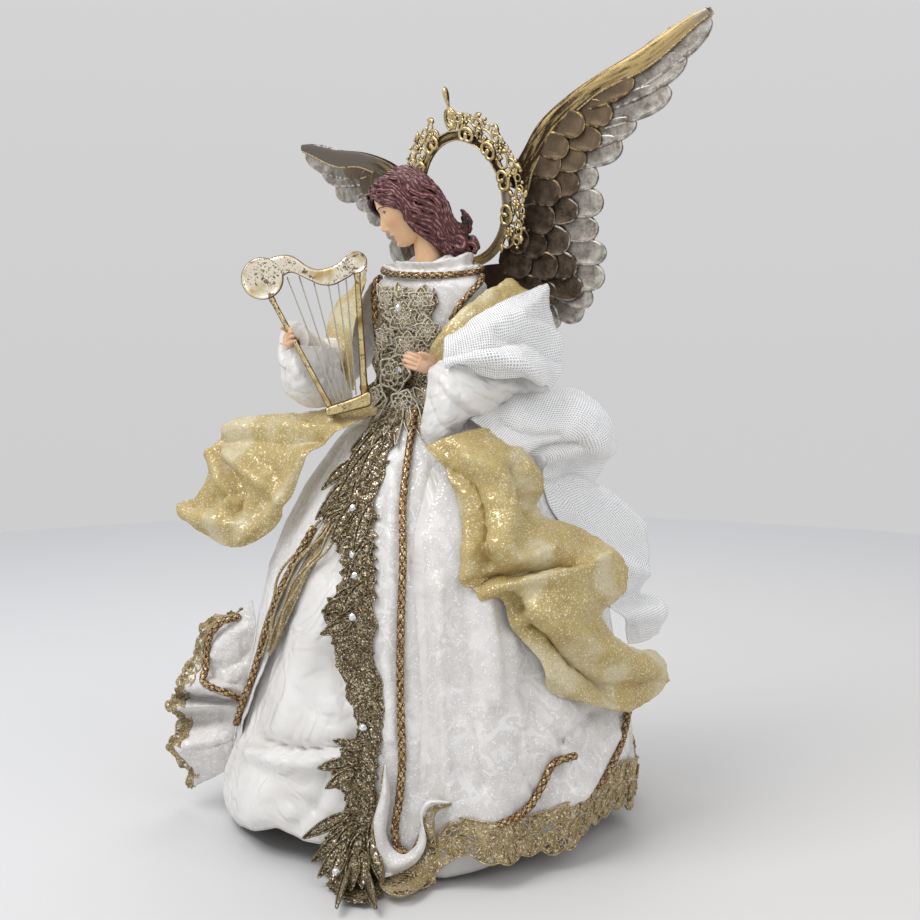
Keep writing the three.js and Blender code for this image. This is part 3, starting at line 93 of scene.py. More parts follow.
def crossed(rows, columns):
    """Two grids: the value of each row, and the value of each column."""
    return np.meshgrid(rows, columns, indexing="ij")


def shares_grid(rows, columns):
    """Two grids of shares from 0 to 1, down the rows and across the columns."""
    return crossed(even(rows), even(columns))


def join(*coordinates):
    """Coordinates side by side as points."""
    return np.stack(coordinates, -1)


def look_up(rows, share, column=1):
    """Straight lines between the rows of a table whose first column rises."""
    rows = np.array(rows, float)
    return np.interp(share, rows[:, 0], rows[:, column])


def spline(places, t):
    """Catmull-Rom curve through the places at t from 0 to 1; its ends are mirrored."""
    p = np.asarray(places, float)
    p = np.concatenate([2 * p[:1] - p[1:2], p, 2 * p[-1:] - p[-2:-1]])
    x = np.clip(t, 0, 1) * (len(p) - 3)
    i = np.minimum(x.astype(int), len(p) - 4)
    f = (x - i).reshape(x.shape + (1,) * (p.ndim - 1))
    a, b, c, d = p[i], p[i + 1], p[i + 2], p[i + 3]
    return 0.5 * (2 * b + (c - a) * f + (2 * a - 5 * b + 4 * c - d) * f**2
                  + (3 * b - a - 3 * c + d) * f**3)


def spread(places, along, across):
    """A spline surface through a table of places: first along its rows, then across them."""
    rows = spline(places, along)
    return np.swapaxes(spline(np.swapaxes(rows, 0, 1), across), 0, 1)


def unit(vectors):
    """Each vector divided by its own length."""
    return vectors / np.maximum(np.linalg.norm(vectors, axis=-1, keepdims=True), 1e-9)


def ripple(points, size, seed=0, octaves=3):
    """Smooth noise of about -1 to 1: sines along turned directions, bent by one another."""
    rng = np.random.default_rng(int(seed))
    total, weight, p = 0, 0, np.asarray(points, float) / size
    for octave in range(octaves):
        axes = unit(rng.normal(size=(5, p.shape[-1]))) * 2**octave * 2 * np.pi
        waves = np.sin(p @ axes.T + rng.uniform(0, 2 * np.pi, 5))
        bent = np.sin(p @ axes.T * 0.7 + 1.7 * np.roll(waves, 1, -1))
        total, weight = total + bent.mean(-1) / 1.8**octave, weight + 0.45 / 1.8**octave
    return total / weight


def from_axis(points):
    """The level outward direction at each point: away from the upright axis."""
    return unit(points * [1, 1, 0])


def normals(points):
    """The unit normal at each point of a grid: the cross product of its two directions."""
    return unit(np.cross(np.gradient(points, axis=-3), np.gradient(points, axis=-2)))


# %% [markdown]
# A mesh is made from grids of points. Neighbours in a grid become a four-sided face, and
# points that fall together, at a seam or a pole, are welded. A tube is a ring of points
# carried along a path. Its frame comes from the path's direction and an outward direction,
# so that a flat or plaited cord lies on its cloth the right way round.

# %% Grids into meshes
LOWEST, WELD = 0.0005, 2e-6  # metres: the lowest that a piece reaches, and the gap that is welded


def tube(path, radius, outward, sides=10, flat=1.0):
    """A closed tube along a path: path + radius * (cos a * outward' + flat * sin a * side).

    path and outward are (..., n, 3), radius is a number, (..., n) or (..., n, sides + 1).
    A row with no radius is added at each end, so that the welded tube is closed."""
    path = np.asarray(path, float)
    ahead = unit(np.gradient(path, axis=-2))
    outward = np.broadcast_to(np.asarray(outward, float), path.shape)
    up = unit(outward - (outward * ahead).sum(-1, keepdims=True) * ahead)
    side = np.cross(ahead, up)
    radius = np.asarray(radius, float)
    if radius.shape[-1:] != (sides + 1,):
        radius = np.broadcast_to(radius, path.shape[:-1])[..., None]
    angle = circle(sides + 1)
    reach = radius * np.ones(sides + 1)
    ring = (path[..., None, :] + (reach * np.cos(angle) * flat)[..., None] * up[..., None, :]
            + (reach * np.sin(angle))[..., None] * side[..., None, :])
    ends = [np.repeat(path[..., k, None, None, :], sides + 1, axis=-2) for k in (0, -1)]
    return np.concatenate([ends[0], ring, ends[1]], axis=-3)


def lengths_uv(points):
    """UV in centimetres of cloth: mean distance walked across the columns, then the rows."""
    def walk(axis, other):
        steps = np.linalg.norm(np.diff(points, axis=axis - 1), axis=-1)
        total = np.cumsum(steps.mean(axis=other, keepdims=True), axis=axis)
        return np.concatenate([0 * np.take(total, [0], axis=axis), total], axis=axis)
    shape = points.shape[:-1]
    return join(np.broadcast_to(walk(-1, -2), shape), np.broadcast_to(walk(-2, -1), shape)) / 10


def share_uv(points):
    """UV from 0 to 1: u along the columns of a grid and v along its rows."""
    rows, columns = points.shape[-3:-1]
    v, u = shares_grid(rows, columns)
    return np.broadcast_to(join(u, v), points.shape[:-1] + (2,))


def grid_faces(shape):
    """Corner numbers of the faces of grids of that shape, (..., rows, columns)."""
    at = np.arange(int(np.prod(shape))).reshape(shape)
    corners = [at[..., :-1, :-1], at[..., :-1, 1:], at[..., 1:, 1:], at[..., 1:, :-1]]
    return np.stack(corners, -1).reshape(-1, 4)


def mesh_piece(name, grids, uv=share_uv, outwards=True, marks=None):
    """An object of welded grids. grids is a list of arrays (..., rows, columns, 3) in mm.

    What would sink into the floor lies on it. outwards turns the faces of closed forms outwards;
    marks adds point attributes, each a list with one array for every grid."""
    grids = [np.asarray(g, float) for g in (grids if isinstance(grids, list) else [grids])]
    points = np.concatenate([g.reshape(-1, 3) for g in grids]) / 1000
    starts = np.cumsum([0] + [g[..., 0].size for g in grids])
    faces = np.concatenate([grid_faces(g.shape[:-1]) + s for g, s in zip(grids, starts)])
    points[:, 2] = np.maximum(points[:, 2], LOWEST)
    flat_uv = np.concatenate([np.reshape(uv(g), (-1, 2)) for g in grids])
    mesh = bpy.data.meshes.new(name)
    mesh.vertices.add(len(points))
    mesh.vertices.foreach_set("co", points.ravel())
    mesh.loops.add(faces.size)
    mesh.loops.foreach_set("vertex_index", faces.ravel())
    mesh.polygons.add(len(faces))
    mesh.polygons.foreach_set("loop_start", np.arange(0, faces.size, 4))
    mesh.update()
    mesh.uv_layers.new(name="UVMap").data.foreach_set("uv", flat_uv[faces.ravel()].ravel())
    for mark, arrays in (marks or {}).items():
        values = np.concatenate([np.broadcast_to(a, g.shape[:-1]).ravel()
                                 for a, g in zip(arrays, grids)])
        mesh.attributes.new(mark, "FLOAT", "POINT").data.foreach_set("value", values)
    shape = bmesh.new()
    shape.from_mesh(mesh)
    bmesh.ops.remove_doubles(shape, verts=shape.verts, dist=WELD)
    bmesh.ops.dissolve_degenerate(shape, edges=shape.edges, dist=1e-7)
    if outwards:
        bmesh.ops.recalc_face_normals(shape, faces=shape.faces)
    shape.to_mesh(mesh)
    shape.free()
    mesh.shade_smooth()
    piece = bpy.data.objects.new(name, mesh)
    bpy.context.scene.collection.objects.link(piece)
    return piece


def dress(piece, material, slot, stands_for=(), body="angel", thick=0, rounds=0, offset=1):
    """Gives a piece its finish, wall and body, and hides the CAD nodes that it stands for."""
    piece.data.materials.append(material)
    if thick:
        wall = piece.modifiers.new("wall", "SOLIDIFY")
        wall.thickness, wall.offset, wall.use_even_offset = thick / 1000, offset, False
    if rounds:
        soft = piece.modifiers.new("soft", "SUBSURF")
        soft.levels = soft.render_levels = rounds
    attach(piece, body)
    if stands_for:
        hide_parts(*stands_for)
    print(f"{piece.name}: {len(piece.data.polygons)} faces")
    return piece


def add(name, grids, material, slot, stands_for=(), uv=share_uv, outwards=True, marks=None, **more):
    """Makes a piece and dresses it."""
    return dress(mesh_piece(name, grids, uv, outwards, marks), material, slot, stands_for, **more)


def sew(name, points, material, slot, stands_for=(), offset=0, **more):
    """An open cloth: its UV map is in centimetres, and its wall grows to both sides."""
    return add(name, points, material, slot, stands_for, lengths_uv, False, offset=offset, **more)


# %% [markdown]
# ## Helpers for finishes
# A finish is a small formula over the surface: noise, rings, lines. One class wraps a shader
# socket so that the formula can be written as Python arithmetic, and its `node` method adds
# any other kind of node. Only colour, roughness, metallic, alpha and the normal vary.

# %% Shader arithmetic
def arithmetic(operation, turned=False):
    """A method that adds one Math node; turned puts the socket itself last."""
    def method(self, *others):
        values = (*others, self) if turned else (self, *others)
        return self.node("Math", dict(enumerate(values)), {"operation": operation})
    return method


class Socket:
    """A shader socket in an expression: each operator adds one Math node to its tree."""

    def __init__(self, tree, output=None):
        self.tree, self.output = tree, output

    def node(self, kind, inputs, settings=None, out=0):
        """A node of any kind: its settings first, then its sockets' values or links."""
        made = self.tree.nodes.new("ShaderNode" + kind)
        for key, value in (settings or {}).items():
            setattr(made, key, value)
        for key, value in inputs.items():
            if isinstance(value, Socket):
                self.tree.links.new(value.output, made.inputs[key])
            else:
                made.inputs[key].default_value = value
        return Socket(self.tree, made.outputs[out])

    __add__, __radd__ = arithmetic("ADD"), arithmetic("ADD", turned=True)
    __sub__, __rsub__ = arithmetic("SUBTRACT"), arithmetic("SUBTRACT", turned=True)
    __mul__, __rmul__ = arithmetic("MULTIPLY"), arithmetic("MULTIPLY", turned=True)
    __mod__, __abs__ = arithmetic("FLOORED_MODULO"), arithmetic("ABSOLUTE")
    sin, most = arithmetic("SINE"), arithmetic("MAXIMUM")

    def between(self, low, high, start=0.0, end=1.0):
        """start below low, end above high, and a smooth step in between."""
        return self.node("MapRange", {0: self, 1: low, 2: high, 3: start, 4: end},
                         {"interpolation_type": "SMOOTHSTEP"})


def rgb(code):
    """A colour written as six hexadecimal digits, as the linear numbers that shaders use."""
    parts = [int(code[k:k + 2], 16) / 255 for k in (0, 2, 4)]
    return tuple(p / 12.92 if p < 0.04045 else ((p + 0.055) / 1.055)**2.4 for p in parts)


def mix(factor, first, second):
    """first where the factor is 0 and second where it is 1: sockets or codes of colours."""
    pick = [(*rgb(c), 1) if isinstance(c, str) else c for c in (first, second)]
    return factor.node("Mix", {0: factor, 6: pick[0], 7: pick[1]}, {"data_type": "RGBA"}, 2)


def noise(place, scale, detail=2.0, rough=0.5, bend=0.0):
    """Cloudy noise from 0 to 1 at that many waves to a metre."""
    return place.node("TexNoise", {"Vector": place, "Scale": scale, "Detail": detail,
                                   "Roughness": rough, "Distortion": bend})


def cells(place, scale, feature="F1", out="Distance"):
    """Random cells: the distance to their centre or edge, or a colour for each."""
    return place.node("TexVoronoi", {"Vector": place, "Scale": scale}, {"feature": feature}, out)


def part(vector, index):
    """One coordinate of a vector."""
    return vector.node("SeparateXYZ", {0: vector}, out=index)


def bump(height, strength, distance, under=None):
    """A normal tilted by a height field; distance is the height's size in metres."""
    inputs = {"Height": height, "Strength": strength, "Distance": distance}
    return height.node("Bump", {**inputs, **({"Normal": under} if under else {})})


def finish(name, recipe, **fixed):
    """A material. recipe(place, uv, tree) gives the sockets that vary over the surface, and
    fixed sets the shader's own sockets."""
    material = bpy.data.materials.new(name)
    material.use_nodes = True
    tree = material.node_tree
    shader = tree.nodes["Principled BSDF"]
    root = Socket(tree)
    place = root.node("TexCoord", {}, out="Object")
    uv = root.node("UVMap", {})
    for key, value in {**fixed, **recipe(place, uv, root)}.items():
        socket = shader.inputs[key.replace("_", " ")]
        if isinstance(value, Socket):
            tree.links.new(value.output, socket)
        else:
            socket.default_value = (*value, 1) if isinstance(value, tuple) else value
    return material

# %% [markdown]
# ## Places and folds seen in the photograph
# Soft parts are placed by the photograph: a pixel, and a distance in millimetres towards the
# camera from the figurine's axis, or the dress that the pixel's ray meets. Folds are drawn as a
# tailor chalks them: each is a line of pixels with a height and a width. A ridge has a round
# section, and a valley has a sharp one.

# %% Places and folds seen in the photograph
def seen(table):
    """World places of (px, py, near): on the camera's ray through the pixel, near mm towards
    the camera from the plane through the upright axis that faces it."""
    table = np.asarray(table, float)
    side = (table[..., 0] - PIXELS / 2) / FOCAL
    rise = (PIXELS / 2 - table[..., 1]) / FOCAL
    ray = VIEW[2] + side[..., None] * VIEW[0] + rise[..., None] * VIEW[1]
    reach = (table[..., 2] - EYE @ FACING) / (ray @ FACING)
    return EYE + ray * reach[..., None]


def in_photo(points):
    """The pixels at which places appear."""
    local = (points - EYE) @ VIEW.T
    return PIXELS / 2 + FOCAL * local[..., :2] / local[..., 2:] * [1, -1]


LENS, SENSOR, PIXELS = 60.3, 36, 920
FOCAL = LENS / SENSOR * PIXELS
EYE = np.array([601.04, -601.04, 300.0])
FACING = np.array([1, -1, 0]) / math.sqrt(2)
yaw, pitch = math.radians(43.959), math.radians(83.3)
VIEW = np.array([[math.cos(yaw), math.sin(yaw), 0],
                 [-math.sin(yaw) * math.cos(pitch), math.cos(yaw) * math.cos(pitch), math.sin(pitch)],
                 [-math.sin(yaw) * math.sin(pitch), math.cos(yaw) * math.sin(pitch), -math.cos(pitch)]])


def creased(points, folds, near_side=False):
    """Moves points along their outward normals by every fold: height times exp(-d^2) in a
    ridge and exp(-d^1.25) in a valley, where d is the distance to its line in widths. With
    near_side, only what faces the camera is folded."""
    face = normals(points)
    face = face * np.sign((face * (points * [1, 1, 0] + [0, 0, 20])).sum(-1).mean())
    pixels, lift = in_photo(points), 0
    for height, width, line in folds:
        path = spline(line, even(24))
        near = np.full(pixels.shape[:-1], 1e9)
        for start, end in zip(path[:-1], path[1:]):
            step = end - start
            t = np.clip(((pixels - start) @ step) / (step @ step), 0, 1)
            near = np.minimum(near, np.linalg.norm(pixels - start - t[..., None] * step, axis=-1))
        shape = np.exp(-(near / width)**2) if height > 0 else np.exp(-(near / width)**1.25)
        lift = lift + height * shape
    if near_side:
        lift = lift * smooth(face @ FACING, 0.05, 0.45)
    return points + face * lift[..., None]


def crumpled(points, depth, seed):
    """Small irregular wrinkles of cloth, in millimetres of its own surface."""
    face = normals(points)
    wrinkle = ripple(points, 26, seed, 3) + 0.4 * ripple(points, 9, seed + 3, 2)
    return points + face * (depth * wrinkle)[..., None]


def around_axis(points):
    """The heading in degrees and the level distance of places from the upright axis."""
    return np.degrees(np.arctan2(points[..., 0], -points[..., 1])), np.hypot(points[..., 0], points[..., 1])


def outside_dress(points, gap=2.0):
    """Keeps a cloth at least gap outside the robe."""
    degrees, level = around_axis(points)
    degrees = np.where(degrees < 0, degrees + 360, degrees)
    z = points[..., 2]
    least = np.where(z < HEIGHT - 3, robe_radius(degrees, np.clip(z, 0, HEIGHT)) + gap, 0)
    grow = np.maximum(1, least / np.maximum(level, 1))[..., None]
    return points * np.concatenate([grow, grow, grow * 0 + 1], -1)


def dress_radius(degrees, z):
    """The level distance from the axis to the front lace on the skirt, or to the bodice."""
    a = np.radians(degrees)
    share = np.clip((z - TORSO_FOOT) / TORSO_HEIGHT, 0, 1)
    wide, deep = SHOULDER * look_up(TORSO, share), CHEST * look_up(TORSO, share, 2)
    oval = 1 / np.sqrt((np.sin(a) / wide)**2 + (np.cos(a) / deep)**2)
    robe = robe_radius(degrees, np.clip(z, 0, HEIGHT)) + 1.8
    return robe + (oval - robe) * smooth(z, HEIGHT - 8, HEIGHT + 8)


def on_dress(pixels, gap=1.5):
    """Places on the camera's rays through the pixels, gap outside the dress: the depth is
    corrected by most of the distance that is still missing, sixteen times."""
    pixels = np.asarray(pixels, float)
    near = np.full(pixels.shape[:-1], 60.0)
    for _ in range(16):
        here = seen(join(pixels[..., 0], pixels[..., 1], near))
        degrees, level = around_axis(here)
        flat = from_axis(here)
        miss = dress_radius(degrees, here[..., 2]) + gap - level
        near = np.clip(near + 0.7 * np.clip(miss, -20, 20) / np.maximum(flat @ FACING, 0.45), 0, 130)
    low = 2.4 + np.asarray(gap, float)[..., None]
    floor = EYE + (here - EYE) * ((EYE[2] - low) / (EYE[2] - here[..., 2:]))
    return np.where(here[..., 2:] < low, floor, here)


TORSO = [[0, .7, .84], [.15, .7, .84], [.35, .79, .96], [.55, .9, 1], [.75, .98, .92],
         [.9, 1, .84], [1, .84, .72]]
SHOULDER, CHEST, TORSO_HEIGHT, TORSO_FOOT = 37.0, 25.0, 68.0, 235.3

# %% [markdown]
# ## Stage
# The figurine stands on a plain pale floor. The floor fades into the background's grey at its
# far edge, so that no line shows there. The background is seen by the camera, by gloss and
# through glass only, and everything else is lit by a plain pale sky and three soft lamps.

# %% Floor, background, lamps and camera
def floor_finish(place, uv, root):
    """Painted light: paler on the near left, towards the key lamp, than on the right, and the background's
    grey at the far edge.
    """
    left = part(place, 0) * -0.7 - part(place, 1) * 0.7
    # painted light: the side towards the key lamp gets the paler tone
    tone = mix(left.between(-0.3, 0.45), "D6D4D2", "D9D9DA")
    reach = place.node("VectorMath", {0: place}, {"operation": "LENGTH"}, 1)
    return {"Base_Color": mix(reach.between(0.35, 1.05), tone, "CECECF")}


LAMPS = [  # name, heading and rise in degrees, size in metres, power in watts
    ("key", -12, 52, 0.9, 13.0), ("fill", 96, 30, 1.1, 3.6), ("rim", 215, 48, 0.8, 4.2)]
LAMP_REACH, LAMPS_AIM = 1.5, [0, 0, 0.2]


def build_stage():
    """A round floor, the world, the lamps, and the camera fitted to the photo."""
    r, a = crossed([0, 300, 1100], circle(97))
    ring = join(r * np.cos(a), r * np.sin(a), 0 * a)
    floor = mesh_piece("floor", ring, outwards=False)
    floor.data.flip_normals()
    floor.data.materials.append(finish("floor grey", floor_finish, Roughness=0.75,
                                       Specular_IOR_Level=0.2))
    floor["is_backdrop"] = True
    world = bpy.data.worlds.new("studio")
    bpy.context.scene.world = world
    world.use_nodes = True
    root = Socket(world.node_tree)
    path = root.node("LightPath", {})
    seen = path.most(root.node("LightPath", {}, out=3)).most(root.node("LightPath", {}, out=6))
    height = part(root.node("TexCoord", {}), 2)
    backdrop = mix(height.between(-0.15, 0.3), "CECECF", "D6D5D6")
    shown = world.node_tree.nodes["Background"]
    world.node_tree.links.new(mix(seen, (0.62, 0.63, 0.65, 1), backdrop).output, shown.inputs[0])
    for name, heading, rise, size, power in LAMPS:
        lamp = bpy.data.lights.new(name, "AREA")
        lamp.energy, lamp.size = power, size
        thing = bpy.data.objects.new(name, lamp)
        round_by, up_by = math.radians(heading), math.radians(rise)
        away = np.array([math.sin(round_by) * math.cos(up_by), -math.cos(round_by) * math.cos(up_by),
                         math.sin(up_by)])
        thing.location = away * LAMP_REACH + LAMPS_AIM
        thing.rotation_euler = (math.radians(90 - rise), 0, math.radians(heading))
        bpy.context.scene.collection.objects.link(thing)
    camera = bpy.data.objects.new("camera", bpy.data.cameras.new("camera"))
    camera.data.sensor_width, camera.data.lens = SENSOR, LENS
    camera.location = EYE / 1000
    camera.rotation_euler = (pitch, 0, yaw)
    bpy.context.scene.collection.objects.link(camera)
    bpy.context.scene.camera = camera
    bpy.context.scene.view_settings.view_transform = "Standard"


build_stage()
print("stage set")

# %% [markdown]
# ## Cloth finishes
# Satin is smooth, with a broad soft gloss and long faint streaks of its threads. Brocade is
# satin with raised scrolls woven in: the scrolls follow the level lines of a bent noise,
# which curl and branch as drawn tendrils do. A few threads of it sparkle: small cells are
# painted paler by their own random number, a painted glint, and raised a little. The glitter
# scarf is the same idea with a third of its cells metal, each about six tenths of a millimetre wide.

# %% Satin, brocade and glitter
def threads(place, scale=2400):
    """Fine crossing lines, the warp and weft of a plain weave, from 0 to 1."""
    x, y, z = [part(place, k) for k in range(3)]
    return ((x * 0.7 + y * 0.7) * scale).sin() * (z * scale).sin() * 0.5 + 0.5


def sparkle(place, scale, share):
    """1 in a random share of the cells, and the cell's own random number beside it."""
    colour = cells(place, scale, out="Color")
    value = part(colour, 0)
    return value.between(1 - share, 1 - share * 0.6), part(colour, 1)


def tendrils(place, scale, turns, width):
    """Level lines of a bent noise: distance from the nearest of several levels, as a band."""
    field = noise(place, scale, 1.0, 0.4, 0.6)
    return (abs((field * turns) % 1.0 - 0.5) * 2).between(1 - width, 1 - width * 0.35)


def satin_finish(place, uv, root):
    """Pearly white, greyer in patches, with faint threads and sharp small creases."""
    patch = noise(place, 38, 2)
    fine = noise(place, 900, 2)
    crease = abs(noise(place, 30, 2, 0.5, 1.6) - 0.5).between(0, 0.16)
    return {"Base_Color": mix(patch, "D9D5D0", "F1EFEC"),
            "Roughness": patch * 0.14 + 0.2,
            "Normal": bump(fine * 0.6 + threads(place, 3000) * 0.4, 0.25, 0.0002,
                           bump(crease, 0.4, 0.0016))}


def brocade_finish(place, uv, root):
    """Matt white ground, raised satin scrolls and leaves a shade paler, and fine specks painted near white
    as glints.
    """
    scrolls = tendrils(place, 70, 4.0, 0.5)
    leaves = noise(place, 190, 2, 0.5, 1.0).between(0.52, 0.62)
    raised = (scrolls * 0.8).most(leaves * 0.7) * noise(place, 55, 1).between(0.4, 0.6, 0.35, 1.0)
    bright, tilt = sparkle(place, 1500, 0.10)
    fleck = noise(place, 620, 2, 0.7)
    tone = mix(raised * 0.7 + fleck * 0.3, "D4D0CC", "F1EFED")
    height = raised * 0.8 + fleck * 0.5 + threads(place) * 0.12 + bright * tilt * 0.7
    # painted glint: the sparkle cells get a near-white colour
    return {"Base_Color": mix(bright, tone, "FBFAF9"),
            "Roughness": 0.6 - raised * 0.1 - bright * 0.25,
            "Metallic": bright * 0.35,
            "Normal": bump(height, 0.6, 0.0004)}


def glitter_finish(place, uv, root):
    """Champagne net, thinner and paler in places, with small flakes painted pale or dark at random as
    glints.
    """
    bright, tilt = sparkle(place, 1700, 0.34)
    tone, thin = noise(place, 60, 3), noise(place, 34, 1).between(0.5, 0.68)
    ground = mix(tone, "A0884C", "CCB677")
    ground = mix(thin * 0.8, ground, "D6CDAD")
    # painted glint: the flakes are painted pale or dark by their cell's random number
    flake_glint = mix(tilt, "BBA368", "F6EED4")
    return {"Base_Color": mix(bright, ground, flake_glint),
            "Roughness": 0.6 - bright * 0.22,
            "Metallic": bright * 0.6,
            "Normal": bump(tilt * bright + threads(place, 2200) * 0.2, 0.6, 0.0004)}


satin = finish("pearly satin", satin_finish, Sheen_Weight=0.25, Sheen_Roughness=0.4)
brocade = finish("white brocade", brocade_finish, Sheen_Weight=0.3, Sheen_Roughness=0.5)
glitter_cloth = finish("champagne glitter cloth", glitter_finish)
print("cloth finishes:", satin.name, brocade.name, glitter_cloth.name)

# %% [markdown]
# ## Skirt and robe
# Both are sewn cloths over a card cone. On the real one the seamstress stiffens the hem into
# folds like organ pipes. A simulation would have to be stiffened until it no longer moved, so
# the folds are drawn: a radius that depends on the height and, through a few sine waves, on
# the heading. The heading runs round the angel from its front towards its left hand.
# The values are the CAD model's own, so the cloths meet the lace and cords that lie on them.

# %% Radius of the cloths
HEIGHT, HEM = 235.0, 112.0
SKIRT = [[0, 1], [.13, .99], [.27, .95], [.42, .87], [.51, .84], [.61, .79], [.71, .71], [.8, .61],
         [.9, .46], [.95, .37], [1, .24]]
ROBE_EDGES = [[0, -38, 27], [.1, -36, 27], [.2, -32, 29], [.3, -26, 30], [.4, -20, 27],
              [.5, -16, 22], [.62, -9, 17], [.71, -3, 14], [.8, 1, 14], [.9, 3, 18], [1, 6, 28]]


def sine(turns, degrees, start=0.0):
    return np.sin(np.radians(turns * degrees + start))


def heading(degrees):
    """The level direction at a heading: 0 faces the front, 90 the angel's left."""
    a = np.radians(degrees)
    return join(np.sin(a), -np.cos(a), np.zeros_like(a))


def polar(degrees, radius, z):
    """A point at a heading, a distance from the upright axis and a height."""
    degrees, radius, z = np.broadcast_arrays(degrees, radius, z)
    return heading(degrees) * radius[..., None] + join(0 * z, 0 * z, z)


def skirt_radius(z):
    return HEM * look_up(SKIRT, z / HEIGHT)


def tucked(degrees, z):
    """How far the far back side is pressed in, from 0 to 1."""
    turned = smooth(degrees, 40, 90) * (1 - smooth(degrees, 250, 300))
    return turned * np.maximum(0, 1 - z / (HEIGHT / 2))


def satin_radius(degrees, z):
    wave = 0.5 + 0.3 * np.cos(np.radians(7 * degrees)) + 0.2 * np.cos(np.radians(12 * degrees + 50))
    return skirt_radius(z) - 2 - 2.5 * (1 - wave) * (1 - z / HEIGHT) - 18 * tucked(degrees, z)


def robe_radius(degrees, z):
    """The skirt's radius, the robe's folds, which die out at the waist, and its tuck."""
    wave = (0.5 + 0.36 * np.cos(np.radians(12 * degrees + 40))
            + 0.14 * np.cos(np.radians(17 * degrees + 70)))
    calm = smooth(degrees, 40, 62) * (1 - smooth(degrees, 296, 330))
    folds = 9 * wave * calm * np.maximum(0, 1 - z / HEIGHT)**0.8
    return skirt_radius(z) + folds - 4 * tucked(degrees, z)


def caught_up(degrees):
    return smooth(degrees, 62, 92) * (1 - smooth(degrees, 125, 160))


def robe_bottom(degrees):
    calm = smooth(degrees, 36, 60)
    corner = 1 - smooth(degrees, 40, 52)
    return 31 - 19 * corner + 4 * sine(6, degrees, 200) * calm + 6 * caught_up(degrees)


# %% Under skirt and robe
HEM_LIFT = [[-52, 0], [-37, .6], [-24, 3], [-10, 9.5], [0, 16.5], [8, 12.5], [20, 12], [36, 3],
            [48, 0]]


def under_skirt():
    """Closed ring of satin: satin_radius over headings and heights, puffed out at the near
    left foot, with a hem that dips and rises and fine long creases."""
    z, degrees = crossed(np.linspace(1, 0, 70)**1.1, np.linspace(180, 540, 300) % 360)
    turned = (degrees + 180) % 360 - 180
    floor = 2.4 + 7 * tucked(degrees, 0) + look_up(HEM_LIFT, turned)
    z = floor + z * (HEIGHT - 2 - floor)
    puffed = smooth(turned, -90, -50) * (1 - smooth(turned, -15, 25))
    belly = puffed * (8 * np.exp(-((z - 20) / 26)**2) - 3 * np.exp(-((z - floor) / 4)**2))
    points = polar(degrees, satin_radius(degrees, z) + 0.9 + belly, z)
    crease = ripple(points * [1, 1, 0.3], 34, 3) * 0.6 * (1 - z / HEIGHT)
    return points + heading(degrees) * np.minimum(crease, 0.4)[..., None]


def robe():
    """Open ring of brocade between two edges that part towards the hem, to a wavy hem."""
    t, s = shares_grid(110, 380)
    z = 31 + t * 204
    for _ in range(2):
        right, left = look_up(ROBE_EDGES, z / HEIGHT, 2), 360 + look_up(ROBE_EDGES, z / HEIGHT, 1)
        degrees = right + s * (left - right)
        bottom = robe_bottom(degrees)
        z = bottom + t**1.15 * (HEIGHT - 1 - bottom)
    wrinkle = ripple(join(degrees / 5, z / 34), 1.0, 5, 4) * 0.8 * (1 - z / HEIGHT)
    behind = smooth(degrees, 135, 165) * (1 - smooth(degrees, 280, 296)) * smooth(z, 34, 70)
    pleats = 9 * behind * np.abs(sine(9, degrees + 7 * np.sin(z / 48)))**0.7 * np.sqrt(1 - z / HEIGHT)
    radius = robe_radius(degrees, z) + 1.1 + np.minimum(wrinkle, 0.6) + pleats
    waist = np.minimum(radius, dress_radius(degrees, 0 * z + HEIGHT + 9) + 1.5)
    return polar(degrees, radius + (waist - radius) * smooth(z, HEIGHT - 16, HEIGHT - 1), z)


SKIRT_FOLDS = [
    (-3.0, 9, [(287, 610), (270, 660), (254, 720)]), (3.5, 13, [(332, 600), (304, 670), (284, 730)]),
    (-5, 8, [(333, 660), (345, 705), (354, 738)]),
    (-7, 5, [(258, 739), (300, 749), (340, 746), (364, 736)]),
    (6, 8, [(254, 753), (300, 764), (350, 757)]), (-3, 7, [(330, 770), (318, 800), (296, 826)]),
    (3, 10, [(262, 790), (258, 815)]), (-2.5, 5, [(285, 800), (310, 806), (322, 818)]),
    (-2, 6, [(300, 690), (318, 716), (338, 724)])]
ROBE_FOLDS = [
    (4.5, 9, [(440, 585), (441, 680), (446, 760), (454, 815)]),
    (-4, 6, [(416, 560), (422, 640), (425, 720), (421, 790)]),
    (-4.5, 8, [(464, 590), (471, 700), (484, 785)]), (4, 12, [(508, 640), (516, 720), (524, 790)]),
    (-4, 7, [(520, 690), (545, 727), (590, 752)]), (4, 8, [(486, 600), (492, 650), (494, 700)]),
    (-4, 6, [(556, 772), (570, 742), (596, 712)]), (4.5, 8, [(582, 795), (597, 762), (612, 735)]),
    (-3.5, 6, [(436, 470), (420, 530), (417, 575)]),
    (3, 7, [(394, 470), (390, 560), (389, 660), (392, 740)]),
    (-3, 5, [(540, 800), (520, 770), (515, 740)]), (3, 6, [(546, 742), (566, 764), (572, 800)]),
    (-3, 6, [(330, 470), (300, 520), (276, 570)]), (3, 8, [(318, 460), (288, 510), (268, 566)]),
    (-3, 5, [(345, 440), (325, 470), (306, 500)]), (-3, 5, [(622, 712), (634, 746), (628, 780)])]
skirt_points = creased(under_skirt(), SKIRT_FOLDS, near_side=True)
skirt_piece = sew("satin_skirt", skirt_points, satin, "satin", ["under_skirt"], thick=0.6, offset=-1)
robe_points = creased(robe(), ROBE_FOLDS, near_side=True)
robe_piece = sew("brocade_robe", robe_points, brocade, "brocade", ["over_robe"], thick=0.8, offset=-1)

# %% [markdown]
# ## Scarf and gauze
# The scarf and the gauze are strips of cloth, stiffened by hand so that they stand away from
# the robe in loops. A cloth simulation would drop them flat, because what holds them is the
# stiffener. So each one is a spline surface through a small table of places, and its folds
# are drawn on it.


def declare(rests_on):
    """Makes a list of what carries a piece; nothing more is done with it."""
    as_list(rests_on)


